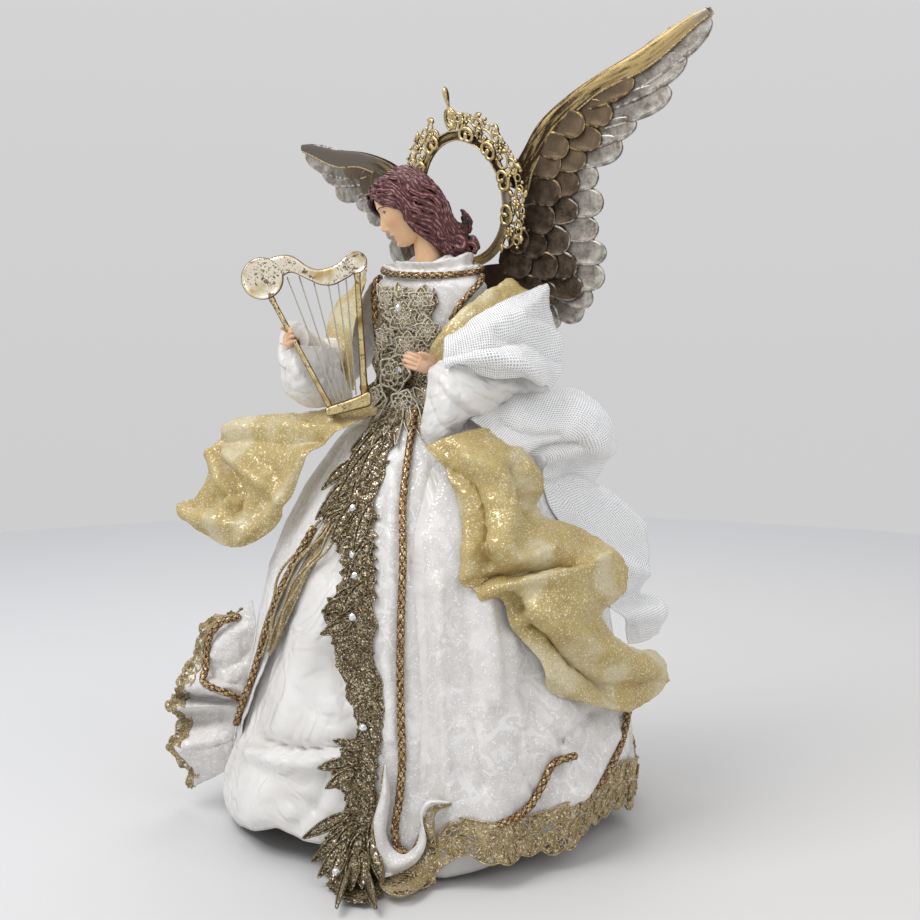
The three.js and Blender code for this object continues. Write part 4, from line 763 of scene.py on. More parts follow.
# %% Tables of the cloths
SCARF_FRONT = [
    [[394, 398, 8], [392, 403, 12], [388, 410, 16]], [[342, 411, 17], [345, 418, 30], [350, 425, 40]],
    [[300, 414, 2], [308, 428, 24], [318, 446, 38]], [[265, 417, -6], [280, 445, 24], [305, 470, 38]],
    [[235, 422, -10], [254, 470, 22], [290, 502, 34]],
    [[214, 450, -12], [230, 495, 18], [270, 532, 28]],
    [[203, 484, -12], [208, 510, 12], [232, 547, 18]], [[182, 500, -12], [179, 508, -2], [196, 528, 4]]]
FRONT_FOLDS = [
    (5, 10, [(335, 422), (290, 427), (255, 430), (230, 432)]),
    (-5, 7, [(318, 438), (285, 440), (255, 438), (225, 441)]),
    (5, 8, [(216, 448), (240, 466), (262, 484), (285, 505)]),
    (-7, 5, [(219, 452), (229, 474), (237, 495), (234, 515)]),
    (4, 5, [(213, 455), (219, 480), (226, 502)]), (-8, 7, [(193, 501), (210, 498), (228, 491)]),
    (4, 9, [(184, 512), (215, 521), (240, 524)]), (-5, 15, [(262, 462), (275, 478), (272, 500)]),
    (5, 9, [(245, 538), (268, 518), (288, 488), (306, 455)]),
    (-3, 5, [(300, 420), (320, 425), (340, 424)])]
SCARF_SIDE = [
    [[516, 440, 42], [486, 428, 56], [456, 434, 64], [426, 446, 60]],
    [[537, 474, 50], [514, 462, 68], [480, 468, 76], [446, 470, 68]],
    [[539, 512, 56], [520, 508, 74], [490, 518, 86], [462, 516, 76]],
    [[585, 530, 50], [545, 538, 76], [502, 548, 92], [462, 551, 86]],
    [[622, 558, 46], [572, 565, 82], [515, 573, 94], [462, 586, 90]],
    [[626, 590, 48], [590, 598, 86], [540, 600, 98], [499, 601, 90]],
    [[607, 618, 58], [588, 628, 84], [550, 635, 98], [512, 630, 92]],
    [[626, 650, 46], [610, 658, 70], [574, 668, 90], [541, 662, 92]],
    [[655, 653, 30], [640, 674, 50], [600, 690, 76], [548, 690, 88]],
    [[672, 681, 14], [656, 696, 30], [625, 711, 58], [588, 706, 78]]]
SIDE_FOLDS = [
    (4, 8, [(430, 452), (452, 474), (469, 500), (471, 560), (467, 582)]),
    (-6, 6, [(448, 468), (474, 490), (483, 530), (487, 562)]),
    (6, 11, [(470, 460), (500, 478), (506, 515), (503, 545)]),
    (-8, 6, [(515, 466), (521, 490), (531, 506)]), (4, 6, [(518, 452), (534, 478), (538, 508)]),
    (6, 9, [(492, 545), (508, 558), (530, 560), (552, 553)]),
    (-11, 6, [(466, 590), (492, 579), (530, 571), (580, 561)]),
    (7, 9, [(480, 592), (520, 581), (560, 575), (604, 560)]), (-8, 8, [(506, 596), (518, 609)]),
    (-4, 10, [(600, 585), (604, 610), (590, 628)]),
    (6, 12, [(535, 610), (570, 632), (612, 655), (650, 672)]),
    (-9, 6, [(528, 630), (560, 655), (592, 681), (612, 696)]),
    (4, 8, [(548, 674), (590, 697), (622, 707)]), (-4, 5, [(612, 690), (640, 684), (666, 682)])]
NEAR_SHOULDER = [
    [[428, 354, 42], [446, 368, 48]], [[442, 332, 44], [466, 346, 54]],
    [[464, 311, 42], [490, 326, 52]], [[486, 293, 34], [514, 312, 44]], [[508, 279, 18], [536, 296, 28]]]
FAR_SHOULDER = [
    [[367, 266, -4], [366, 270, -32]], [[356, 312, 3], [334, 308, -30]],
    [[351, 355, 8], [324, 352, -22]], [[354, 390, 11], [332, 392, -11]]]
BEHIND_ELBOW = [[[519, 366, 2], [541, 374, -4]], [[521, 380, 2], [542, 384, -6]],
                [[521, 395, 0], [540, 394, -8]]]
SHAWL = [
    [[451, 337, 46], [478, 315, 48], [512, 297, 38], [543, 286, 12]],
    [[447, 349, 58], [488, 332, 60], [522, 324, 52], [552, 317, 22]],
    [[443, 358, 62], [490, 352, 68], [530, 350, 56], [559, 348, 28]],
    [[446, 365, 62], [495, 368, 70], [536, 369, 58], [564, 366, 28]],
    [[454, 370, 58], [495, 380, 62], [530, 379, 50], [552, 387, 26]]]
SHAWL_FOLDS = [
    (4, 8, [(448, 348), (488, 328), (528, 308), (545, 290)]),
    (-4, 5, [(446, 358), (480, 347), (520, 340)]),
    (4, 7, [(448, 362), (485, 357), (515, 364), (540, 378)]),
    (-5, 5, [(455, 368), (490, 372), (524, 374)]), (-4, 5, [(500, 335), (535, 342), (560, 360)]),
    (3, 6, [(520, 322), (550, 334), (560, 350)])]
TRAIN = [
    [[498, 398, 28], [486, 408, 46], [470, 418, 54]], [[545, 389, 8], [528, 418, 48], [508, 446, 58]],
    [[588, 395, -10], [576, 425, 40], [532, 456, 54]],
    [[610, 432, -16], [594, 450, 28], [548, 461, 46]], [[602, 468, -18], [574, 468, 4], [538, 476, 34]],
    [[592, 488, -22], [570, 494, 16], [541, 506, 40]],
    [[624, 509, -24], [600, 528, 16], [560, 540, 36]], [[648, 545, -26], [626, 560, 6], [590, 576, 28]],
    [[646, 584, -26], [634, 594, -2], [610, 604, 24]], [[666, 608, -24], [650, 618, 4], [624, 624, 20]],
    [[660, 632, -22], [645, 641, 0], [628, 644, 16]]]
TRAIN_FOLDS = [
    (6, 13, [(515, 408), (560, 404), (592, 424), (602, 446)]),
    (-9, 6, [(522, 464), (550, 452), (584, 447)]),
    (6, 9, [(542, 478), (572, 482), (604, 502), (636, 530)]),
    (-4, 7, [(548, 504), (590, 522), (628, 552)]), (5, 9, [(568, 540), (605, 556), (640, 572)]),
    (-6, 5, [(616, 602), (648, 588)]), (4, 8, [(626, 616), (658, 612)]),
    (-4, 6, [(500, 420), (530, 434), (560, 434)])]
FRILL = [
    [[252, 600, 10], [246, 606, 6], [242, 612, 0]], [[257, 630, 12], [236, 628, 10], [213, 624, 2]],
    [[257, 660, 13], [230, 652, 14], [203, 648, 4]], [[254, 680, 14], [226, 672, 18], [192, 672, 6]],
    [[249, 692, 14], [222, 690, 22], [185, 688, 8]], [[247, 700, 14], [225, 701, 4], [183, 696, -10]],
    [[246, 707, 14], [222, 706, 16], [177, 707, 6]], [[245, 715, 14], [220, 716, 0], [186, 718, -12]],
    [[244, 723, 14], [215, 730, 14], [182, 736, 4]], [[243, 735, 14], [212, 745, 20], [175, 748, 8]],
    [[242, 748, 14], [216, 760, 14], [192, 768, 2]], [[241, 756, 14], [222, 772, 6], [194, 786, -6]]]
FRILL_FOLDS = [(-3, 6, [(250, 650), (235, 664), (215, 668)]),
               (3, 8, [(245, 630), (225, 640), (215, 655)]),
               (-3, 5, [(238, 684), (222, 680), (205, 672)]),
               (-3, 4, [(240, 740), (215, 748), (195, 752)])]


# %% Gauze finish
def gauze_finish(place, uv, root):
    """Open weave by the cloth's own centimetres: pale thick threads 1.3 mm apart, crossed by
    finer ones, with gaps that let what is behind show through."""
    u, v = part(uv, 0), part(uv, 1)
    wobble = noise(place, 120, 2) * 4 + noise(place, 620, 1) * 1.7
    warp = (u * 48 + wobble).sin() * 0.5 + 0.5
    weft = (v * 48 + wobble).sin() * 0.5 + 0.5
    thread = warp.most(weft * 0.95)
    slub = noise(place, 700, 1) * 0.9 + noise(place, 90, 2) * 0.5
    bright, tilt = sparkle(place, 1300, 0.02)
    return {"Base_Color": mix(thread, "E6E4E2", "FFFFFF"),
            "Roughness": 0.7 - bright * 0.4,
            "Alpha": (thread + slub * 0.55).between(0.72, 1.05, 0.4, 1.0),
            "Normal": bump(thread + slub * 0.5 + bright * tilt, 0.5, 0.0005)}


gauze = finish("open white gauze", gauze_finish, Sheen_Weight=0.3)

# %% Lay the cloths
CLOTHS = [  # name, table, rows and columns, folds, finish, slot, CAD node, what carries it
    ("scarf_front", SCARF_FRONT, (150, 90), FRONT_FOLDS, glitter_cloth,
     "scarf", "scarf_left", ["over_robe"]),
    ("scarf_side", SCARF_SIDE, (200, 100), SIDE_FOLDS, glitter_cloth,
     "scarf", "scarf_right", ["over_robe"]),
    ("scarf_near_shoulder", NEAR_SHOULDER, (60, 26), [(2, 8, [(436, 345), (465, 315), (510, 285)])],
     glitter_cloth, "scarf", "scarf_shoulder_left", ["bodice"]),
    ("scarf_far_shoulder", FAR_SHOULDER, (60, 34), [(-3, 5, [(360, 280), (343, 330), (342, 385)])],
     glitter_cloth, "scarf", "scarf_shoulder_right", ["sleeve_right"]),
    ("scarf_behind_elbow", BEHIND_ELBOW, (24, 24), [(-3, 3, [(529, 366), (530, 395)])], glitter_cloth,
     "scarf", None, ["sleeve_left"]),
    ("gauze_shoulder", SHAWL, (90, 110), SHAWL_FOLDS, gauze, "gauze", "gauze_shawl", ["sleeve_left"]),
    ("gauze_train_loops", TRAIN, (200, 70), TRAIN_FOLDS, gauze, "gauze", "gauze_train", ["over_robe"]),
    ("robe_frill", FRILL, (160, 60), FRILL_FOLDS, brocade, "brocade", "frill", ["over_robe"])]
strips = {}
for seed, (name, table, (rows, columns), folds, look, slot, node, carriers) in enumerate(CLOTHS):
    points = spread(seen(table), even(rows), even(columns))
    points = crumpled(creased(points, folds), 0.5 if look is gauze else 0.8, seed)
    points = outside_dress(points, 2.5)
    strips[name] = points
    piece = sew(name, points, look, slot, [node] if node else [], thick=0.5)
    declare(carriers)
declare(["skirt_cone"])
declare(["skirt_cone"])

# %% [markdown]
# ## Bodice, cowl and sleeves
# The bodice is a tube of brocade round the moulded torso, and the cowl a ring of satin that
# falls outwards from the neck. Both are rings of points round the upright axis. The sleeves
# are satin tubes over the arm wires; crosswise wrinkles gather at the elbow, because the
# cloth is longer than the arm. A wrinkle is a ring whose radius swells, turned a little.

# %% Bodice and cowl
COWL = [[0, .81, .8, 0], [.25, .8, .8, .3], [.6, .6, .66, .85], [1, .3, .44, 1]]


def on_torso(degrees, share, standoff=0.0):
    """A place on the bodice by heading and share of the torso's height."""
    a = np.radians(degrees)
    return join((SHOULDER * look_up(TORSO, share) + standoff) * np.sin(a),
                -(CHEST * look_up(TORSO, share, 2) + standoff) * np.cos(a),
                TORSO_FOOT + np.asarray(share) * TORSO_HEIGHT + 0 * a)


def neck_dip(a):
    """How far the neck opening dips: most on the near side of its front, and least opposite."""
    return 3.4 * np.cos(a - 0.45)


def bodice():
    """Rings of the torso's own outline with shallow gathers that fade towards the neck."""
    t, degrees = crossed(even(60), np.linspace(180, 540, 161))
    gather = 0.6 * ripple(on_torso(degrees, t) * [1, 1, 0.4], 15, 11, 3) * (1.2 - t)
    points = on_torso(degrees, t, np.minimum(gather - 0.5, 0) + 1.2 * (1 - smooth(t, 0, 0.06)))
    return points - join(0 * t, 0 * t, 3 * (1 - smooth(t, 0, 0.06)))


def cowl():
    """Satin folds falling outwards from the neck: a profile round the axis, creased in loops."""
    t, a = crossed(even(40), np.linspace(np.pi, 3 * np.pi, 181))
    wave = 1 + 0.03 * np.cos(5 * a)
    low = 0.7 * smooth(np.cos(a + 0.35), -0.5, 0.7)
    fold = 1.9 * np.sin(4.2 * np.pi * t + 1.5 * np.sin(a) + 1.1 * np.sin(2 * a + 1))
    fold = fold * np.sin(np.pi * t)**0.7
    fold = fold + 0.7 * ripple(join(2 * np.sin(a), 2 * np.cos(a), t * 2), 1.6, 8)
    wide = SHOULDER * look_up(COWL, t) * wave + fold
    deep = CHEST * look_up(COWL, t, 2) * wave + fold
    start = 303.0 - neck_dip(a)
    z = 305.6 + 8 * look_up(COWL, t, 3) * (1 - low) + 0.9 * fold
    z = start + (z - start) * smooth(t, 0, 0.3)
    return join(wide * np.sin(a), -deep * np.cos(a), z)


sew("brocade_bodice", bodice(), brocade, "bodice", ["bodice"], thick=1.0, offset=-1)
sew("satin_cowl", cowl(), satin, "satin", ["collar"], thick=1.6, offset=-1)

# %% Sleeves
ARM_LEFT = [[.95, .4, .86], [1.3, .95, .45], [1.32, .75, .12], [1.15, -.3, .16], [.92, -1.2, .26]]
ARM_RIGHT = [[-.95, -.05, .86], [-1.28, -.25, .52], [-1.38, -.85, .29], [-1.22, -1.8, .29],
             [-.98, -2.77, .445]]
SLEEVE = [[.75, .75], [.95, .95], [1.05, 1.1], [.95, 1.05], [.75, 1.1]]


def in_torso(places):
    """Shares of the shoulders' half width, the chest's half depth and the torso's height."""
    return np.array(places) * [SHOULDER, CHEST, TORSO_HEIGHT] + [0, 0, HEIGHT]


def sleeve(arm, seed):
    """An elliptic tube along the arm; its radius swells in slanting wrinkles, most where the
    arm bends. At the wrist the cloth is turned in and gathered round the hand."""
    t = even(110)
    path = spline(in_torso(arm), t)
    ahead = unit(np.gradient(path, axis=0))
    side = unit(np.cross(ahead, [0, 0, 1.0]))
    up = np.cross(side, ahead)
    wide, high = (spline(SLEEVE, t) * 12.3).T
    a, tt = circle(73), t[:, None]
    bend = np.linalg.norm(np.gradient(ahead, axis=0), axis=-1)
    bend = 0.35 + np.convolve(bend / bend.max(), np.ones(15) / 15, "same")[:, None]
    slant = 24 * tt + 1.6 * np.sin(a + seed) + 1.1 * np.sin(2 * a + 9 * tt + seed)
    folds = (np.abs(np.sin(slant))**0.7 - 0.6) * 1.9 * bend
    fine = 0.5 * ripple(join(a + 0 * tt, tt * 9 + 0 * a), 1.4, seed, 3)
    grow = folds + fine - 0.4
    cuff = 1 + 0.10 * np.sin(3 * a + seed) * smooth(tt, 0.85, 1.0)
    cloth = (path[:, None] + ((wide[:, None] + grow) * cuff * np.cos(a))[..., None] * side[:, None]
             + ((high[:, None] + grow) * cuff * np.sin(a))[..., None] * up[:, None])
    turned_in = [path[-1] + (cloth[-1:] - path[-1]) * share - ahead[-1] * back
                 for share, back in ((.9, -.3), (.7, .2), (.5, 1.0), (.36, 2.0))]
    return np.concatenate([cloth, *turned_in])


SLEEVE_FOLDS = [
    (-2.6, 4, [(436, 364), (460, 383), (490, 401), (508, 407)]),
    (2.4, 5, [(432, 372), (450, 391), (480, 411)]),
    (-2.4, 4, [(446, 364), (472, 373), (505, 391), (520, 397)]),
    (2.2, 5, [(455, 367), (490, 381), (516, 388)]), (-2.4, 4, [(440, 385), (452, 402), (470, 415)]),
    (-2.2, 4, [(438, 368), (436, 400), (430, 426)]), (2.2, 5, [(450, 384), (449, 410), (444, 434)]),
    (-2.2, 4, [(461, 395), (459, 415), (453, 431)]), (-2.0, 3, [(428, 398), (436, 420), (452, 432)])]
FAR_FOLDS = [(-2, 4, [(300, 355), (312, 370), (335, 385)]),
             (2, 5, [(293, 365), (305, 382), (330, 396)]),
             (-2, 4, [(288, 372), (296, 390), (316, 402)]),
             (-2, 4, [(310, 345), (330, 365), (350, 372)])]
near_sleeve = creased(sleeve(ARM_LEFT, 2.0), SLEEVE_FOLDS)
far_sleeve = creased(sleeve(ARM_RIGHT, 5.0), FAR_FOLDS)
for name, arm_sleeve, node in [("sleeve_near", near_sleeve, "sleeve_left"),
                               ("sleeve_far", far_sleeve, "sleeve_right")]:
    sew(name, arm_sleeve, satin, "satin", [node], thick=0.7)
NEAR_CUFF = [
    [[431, 368, 50], [440, 360, 57], [464, 366, 60], [500, 372, 50], [521, 376, 32]],
    [[427, 388, 54], [440, 384, 64], [464, 390, 67], [500, 392, 54], [522, 391, 34]],
    [[424, 410, 56], [436, 408, 66], [458, 410, 67], [482, 410, 54], [502, 412, 40]],
    [[421, 431, 53], [430, 432, 62], [446, 430, 63], [464, 422, 56], [474, 413, 46]],
    [[426, 444, 48], [433, 447, 53], [443, 446, 53], [454, 438, 50], [467, 425, 44]]]
FAR_CUFF = [
    [[285, 352, 22], [296, 346, 30], [315, 346, 27], [336, 348, 18]],
    [[281, 372, 21], [294, 371, 33], [316, 370, 29], [342, 370, 16]],
    [[285, 391, 18], [300, 395, 29], [322, 393, 25], [350, 390, 12]],
    [[298, 403, 12], [312, 408, 20], [332, 406, 17], [353, 401, 8]]]
CUFFS = [("cuff_near", NEAR_CUFF, SLEEVE_FOLDS, "sleeve_left"),
         ("cuff_far", FAR_CUFF, FAR_FOLDS, "sleeve_right")]
for seed, (name, table, folds, node) in enumerate(CUFFS):
    points = spread(seen(table), even(90), even(110))
    shallow = [(0.55 * high, wide, line) for high, wide, line in folds]
    points = crumpled(creased(points, shallow), 0.3, seed + 40)
    piece = sew(name, points, satin, "satin", thick=0.6)
    declare([node])

# %% [markdown]
# ## Hands
# The hands are cast in resin and painted like the face. Each is a palm with four tapered
# fingers and a thumb, drawn as tubes and then melted into one skin with a voxel remesh, as
# a sculptor would press clay rolls together.

# %% Hands
HAND = 19.0


def hand(wrist, direction, curl, spread_out, thumb_side):
    """Tubes of a palm, fingers and thumb in the frame (direction, side, back of the hand)."""
    ahead = unit(np.array(direction))
    side = unit(np.array([0, 0, -1.0]) + ahead * ahead[2])
    back = np.cross(ahead, side)

    def at(*places):
        return wrist + HAND * (np.array(places) @ np.stack([ahead, side, back]))

    t = even(14)
    palm = tube(spline(at((-.42, 0, 0), (0, 0, 0), (.28, 0, .01), (.56, 0, 0)), t),
                HAND * np.interp(t, [0, .35, .7, 1], [.15, .15, .215, .2]), side, 20, 1.0)
    middle = palm.mean(axis=(0, 1))
    palm = palm - np.einsum("ijk,k->ij", palm - middle, back)[..., None] * back * 0.42
    rolls = [palm]
    for k, offset in enumerate([-.16, -.055, .05, .15]):
        long = [.92, 1.04, 1.0, .84][k]
        bow = curl * (1 + 0.16 * k)
        places = at((.42, offset, 0), (.42 + .3 * long, offset * spread_out, -.3 * bow + .03),
                    (.42 + .48 * long, offset * spread_out, -.62 * bow),
                    (.42 + .58 * long, offset * spread_out * .95, -1.0 * bow))
        rolls.append(tube(spline(places, t), HAND * np.interp(t, [0, .5, .9, 1], [.062, .056, .046, .03]),
                          back, 12))
    thumb = at((.02, -.12, 0), (.3, -.27, thumb_side * .05), (.52, -.3, thumb_side * .12),
               (.66, -.27, thumb_side * .15))
    rolls.append(tube(spline(thumb, t), HAND * np.interp(t, [0, .5, .9, 1], [.085, .066, .052, .035]),
                      back, 12))
    return rolls


def melted(piece, voxel):
    """Joins overlapping closed forms into one skin by a voxel remesh, then relaxes it."""
    melt = piece.modifiers.new("melt", "REMESH")
    melt.mode, melt.voxel_size, melt.use_smooth_shade = "VOXEL", voxel / 1000, True
    relax = piece.modifiers.new("relax", "SMOOTH")
    relax.iterations, relax.factor = 3, 0.5
    bpy.context.view_layer.update()
    whole = bpy.data.meshes.new_from_object(piece.evaluated_get(
        bpy.context.evaluated_depsgraph_get()))
    piece.modifiers.clear()
    piece.data = whole
    piece.data.shade_smooth()
    return piece


def skin_finish(place, uv, root):
    """Peach resin paint, redder in slow patches, with a soft satin gloss."""
    patch = noise(place, 70, 2)
    fine = noise(place, 1500, 2)
    return {"Base_Color": mix(patch, "D8AA86", "E9C19E"),
            "Roughness": fine * 0.15 + 0.38,
            "Normal": bump(fine, 0.12, 0.0002)}


skin = finish("painted skin", skin_finish, Subsurface_Weight=0.08, Subsurface_Scale=0.002)
left_wrist, right_wrist = in_torso(ARM_LEFT)[4], in_torso(ARM_RIGHT)[4]
near_toward = unit(heading(-45.0) + np.array([0, 0, 0.35]))
grip = np.array([-26.8, -77.3, 269.7])
grip_beside = grip + np.array([-2.69, -2.69, 0])
far_toward = unit(grip_beside - right_wrist)
for name, rolls, node in [
        ("hand_near", hand(left_wrist, near_toward, 0.22, 1.15, 1), "hand_left"),
        ("hand_far", hand(right_wrist, far_toward, -0.28, 1.1, -1), "hand_right")]:
    dress(melted(mesh_piece(name, rolls), 0.35), skin, "skin", [node])

# %% [markdown]
# ## Plaited cords
# The cords are flat metallic thread plaited round a core. A round plait of n strands swells
# where two strands cross: its radius is r (1 + a |sin(n angle / 2 + k s)| |sin(n angle / 2 -
# k s)|), with s the distance along the cord. The same formula on the cord's UV map colours
# the strands in bronze and pale gold, with painted shade darkening the gaps between them.

# %% Cords
def along(points):
    """Distance walked along each path of (..., n, 3)."""
    steps = np.linalg.norm(np.diff(points, axis=-2), axis=-1)
    return np.concatenate([0 * steps[..., :1], np.cumsum(steps, axis=-1)], axis=-1)


def plait(places, radius, outward, turns=2.2):
    """A plaited cord on a spline through the places, with rows every third of a millimetre."""
    rough = spline(places, even(200))
    count = int(along(rough)[-1] / 0.36)
    path = spline(places, even(count))
    s = along(path)[:, None]
    a = circle(17)
    bulge = np.abs(np.sin(2 * a + turns * s / radius * 0.5)) * np.abs(
        np.sin(2 * a - turns * s / radius * 0.5))
    ends = smooth(s, 0, 1.0) * (1 - smooth(s, s[-1] - 1.0, s[-1]))
    ring = radius * (1.0 + 0.22 * bulge) * (0.5 + 0.5 * ends)
    return tube(path, ring, outward(path), sides=16)


def cord_uv(points):
    """u from 0 to 1 round the cord and v in millimetres along it."""
    middle = points.mean(axis=-2)
    v = np.broadcast_to(along(middle)[..., None], points.shape[:-1])
    return join(share_uv(points)[..., 0], v)


def twine(name, tubes, material, slot, stands_for=(), body="angel"):
    """Cords and threads, whose UV map runs round and along them."""
    return add(name, tubes, material, slot, stands_for, cord_uv, body=body)


def plait_finish(place, uv, root):
    """The plait's own formula: strands in bronze and pale gold, painted shade dark in the gaps
    between them, and pale metal flecks over the strands, painted as glints."""
    u, v = part(uv, 0) * (4 * math.pi), part(uv, 1)
    bulge = abs((u + v * 0.65).sin()) * abs((u - v * 0.65).sin())
    strand = (u + v * 0.65).sin().between(-0.2, 0.2)
    bright, tilt = sparkle(place, 1700, 0.5)
    tone = mix(strand, "6A4426", "94713F")
    # painted shade: the gaps between strands, where the bulge is low, are made dark
    tone = mix(bulge.between(0.02, 0.4), "38240F", tone)
    fleck = mix(tilt, "B58F55", "F7E8C4")
    # painted glints: pale flecks over the strands
    return {"Base_Color": mix(bright * bulge.between(0.05, 0.35), tone, fleck),
            "Roughness": 0.42 - bright * 0.14,
            "Metallic": 0.45 + bright * 0.4,
            "Normal": bump(bulge + tilt * bright * 0.4, 0.6, 0.0004)}


def on_robe(route, radius):
    """Places of a cord's middle on the robe, by heading and share of the skirt's height."""
    degrees, share = np.array(route, float).T
    z = share * HEIGHT
    flap = robe_radius(np.where(degrees < 0, degrees + 360, degrees), z)
    return polar(degrees, flap + 1.5 + radius, z)


OPENING = [(look_up(ROBE_EDGES, s) - 3, s) for s in (.73, .65, .56, .465, .37, .3, .24)]
FRONT_CORD = [(31, .985), (32, .92), (33, .8), (35, .68), (35.5, .51), (36, .39), (37, .27),
              (36.5, .19), (35.5, .125), (36.5, .085), (40, .075), (42.5, .115)]
HEM_CORD = [(60, .135), (66, .14), (71, .155), (75, .2), (78, .24), (85, .25)]
SIDE_CORD = [(120, .3), (110, .23), (101, .18), (94, .157)]
FRILL_CORD = [(241, 616, 9), (222, 622, 11), (210, 636, 10), (206, 652, 11), (206, 668, 14),
              (203, 681, 18), (215, 689, 25), (232, 695, 24), (244, 703, 20)]
NEAR_CORD = [(104, .98), (88, .93), (72, .85), (60, .74), (54, .62)]
FAR_CORD = [(-64, .98), (-54, .9), (-47, .7), (-45, .45), (-45, .2), (-45, .08)]
turn = np.radians(np.linspace(187, 533, 17))
NECKLINE = join(31.5 * np.sin(turn), -21.0 * np.cos(turn), 305.2 - neck_dip(turn))
on_chest = [on_torso(*np.array(route, float).T, 1.9) for route in (NEAR_CORD, FAR_CORD)]
plaits = finish("plaited metallic cord", plait_finish)
THICK, SLIM = 1.8, 1.6
for name, places, radius, node in [
        ("front", on_robe(FRONT_CORD, THICK), THICK, "front_cord"),
        ("opening", on_robe(OPENING, THICK), THICK, "opening_cord"),
        ("hem", on_robe(HEM_CORD, THICK), THICK, "hem_cord"),
        ("side", on_robe(SIDE_CORD, THICK), THICK, "side_cord"),
        ("frill", seen(FRILL_CORD), THICK, "frill_cord"), ("neckline", NECKLINE, SLIM, "neckline_cord"),
        ("shoulder_near", on_chest[0], SLIM, "shoulder_cord_left"),
        ("shoulder_far", on_chest[1], SLIM, "shoulder_cord_right")]:
    twine(name + "_plait", plait(places, radius, from_axis), plaits, "cord", [node])

# %% [markdown]
# ## Lace
# Machine lace is a net filled with metal thread, with leaves and flowers outlined by a raised
# cord. The net is a thin surface that follows the dress. Leaves and petals are small domed
# forms, made once as a formula and carried to every place in one array operation, and each
# outline is a thin tube on the edge of such a form.

# %% Petals and outlines
def frames(places, ahead, up):
    """Three directions at each place: ahead, side and up, square to one another."""
    up = unit(np.broadcast_to(np.asarray(up, float), np.shape(places)))
    ahead = np.broadcast_to(np.asarray(ahead, float), np.shape(places))
    ahead = unit(ahead - (ahead * up).sum(-1, keepdims=True) * up)
    return np.stack([ahead, np.cross(up, ahead), up], -2)


def carried(shape, places, directions, sizes):
    """Copies of a shape (rows, columns, 3) at N places: sizes scale it along its directions."""
    local = shape * np.reshape(sizes, (-1, 1, 1, 3))
    return np.asarray(places)[:, None, None] + np.einsum("nrck,nkj->nrcj", local, directions)


def petal_shape(rows=6, columns=5, point=0.8):
    """A domed petal of length, half width and height 1, from its root at 0.

    Its half width is sin(pi t^point), and its dome is 1 - s^2 across."""
    t, s = crossed(np.linspace(0.02, 0.995, rows), np.linspace(-1, 1, columns))
    wide = np.sin(np.pi * t**point)**0.8
    return join(t, wide * s, (1 - s * s) * np.sin(np.pi * t)**0.6 - 0.25)


def outline_path(count=19, point=0.8):
    """The edge of that petal as a closed path: out along one side and back along the other."""
    a = circle(count)
    t = (1 - np.cos(a)) / 2
    return join(t, np.sign(np.sin(a)) * np.sin(np.pi * np.clip(t, 0, 1)**point)**0.8
                * (np.abs(np.sin(a)) > 1e-9), 0 * t)


def petals(places, directions, sizes, rows=6, columns=5, point=0.8):
    """Domed petals with a flat back, as two welded sheets each."""
    top = petal_shape(rows, columns, point)
    under = top * [1, 1, 0] - [0, 0, 0.3]
    under[:, [0, -1]] = top[:, [0, -1]]
    under[[0, -1]] = top[[0, -1]]
    return [carried(top, places, directions, sizes), carried(under[:, ::-1], places, directions, sizes)]


def outlines(places, directions, sizes, thickness, lift=0.0, point=0.8, sides=6):
    """Thin tubes along the edges of petals at those places."""
    path = carried(outline_path(point=point)[None], places, directions, sizes)[:, 0]
    up = np.broadcast_to(directions[:, None, 2], path.shape)
    return tube(path + lift * up, thickness, up, sides)


def flower_set(places, up, start, radius, count=5, wide=0.34):
    """Places, directions and sizes of the petals of flowers: count turned about each middle."""
    base = frames(places, start, up)
    a = np.arange(count) * 2 * np.pi / count
    ahead = (np.cos(a)[None, :, None] * base[:, None, 0] + np.sin(a)[None, :, None] * base[:, None, 1])
    up_all = np.broadcast_to(base[:, None, 2], ahead.shape)
    where = np.broadcast_to(np.asarray(places)[:, None], ahead.shape).reshape(-1, 3)
    size = np.repeat(np.asarray(radius, float) * np.ones(len(places)), count)
    return (where, frames(where, ahead.reshape(-1, 3), up_all.reshape(-1, 3)),
            join(size, size * wide, size * 0.22))


def beads(places, radius, columns=8):
    """Small welded spheres: latitude and longitude grids."""
    v, u = crossed(np.linspace(0, np.pi, 6), circle(columns + 1))
    ball = join(np.sin(v) * np.cos(u), np.sin(v) * np.sin(u), np.cos(v))
    size = np.reshape(np.asarray(radius, float) * np.ones(len(places)), (-1, 1, 1, 1))
    return np.asarray(places)[:, None, None] + ball * size


# %% Lace finishes
def lace_finish(dark, pale, density=0.4, open_mesh=False):
    """Metal thread: a dark net with bright flecks painted as glints; in an open mesh the gaps let light
    pass.
    """
    def recipe(place, uv, root):
        bright, tilt = sparkle(place, 1350, density)
        patch = noise(place, 160, 2)
        net = cells(place, 520, "DISTANCE_TO_EDGE")
        thread = net.between(0.05, 0.14, 1, 0)
        tone = mix(patch, dark, pale)
        tone = mix(thread * 0.55, tone, "B9A67C")
        # painted glints: the flecks are painted pale by their cell's random number
        out = {"Base_Color": mix(bright, tone, mix(tilt, "AE9562", "FBF3DE")),
               "Roughness": 0.5 - bright * 0.2,
               "Metallic": bright * 0.6 + 0.2,
               "Normal": bump(thread + bright * tilt * 1.2, 0.8, 0.0005)}
        if open_mesh:
            wide = cells(place, 330, "DISTANCE_TO_EDGE")
            body = noise(place, 95, 1).between(0.46, 0.5)
            out["Alpha"] = wide.between(0.09, 0.13, 1, 0).most(body)
        return out
    return recipe


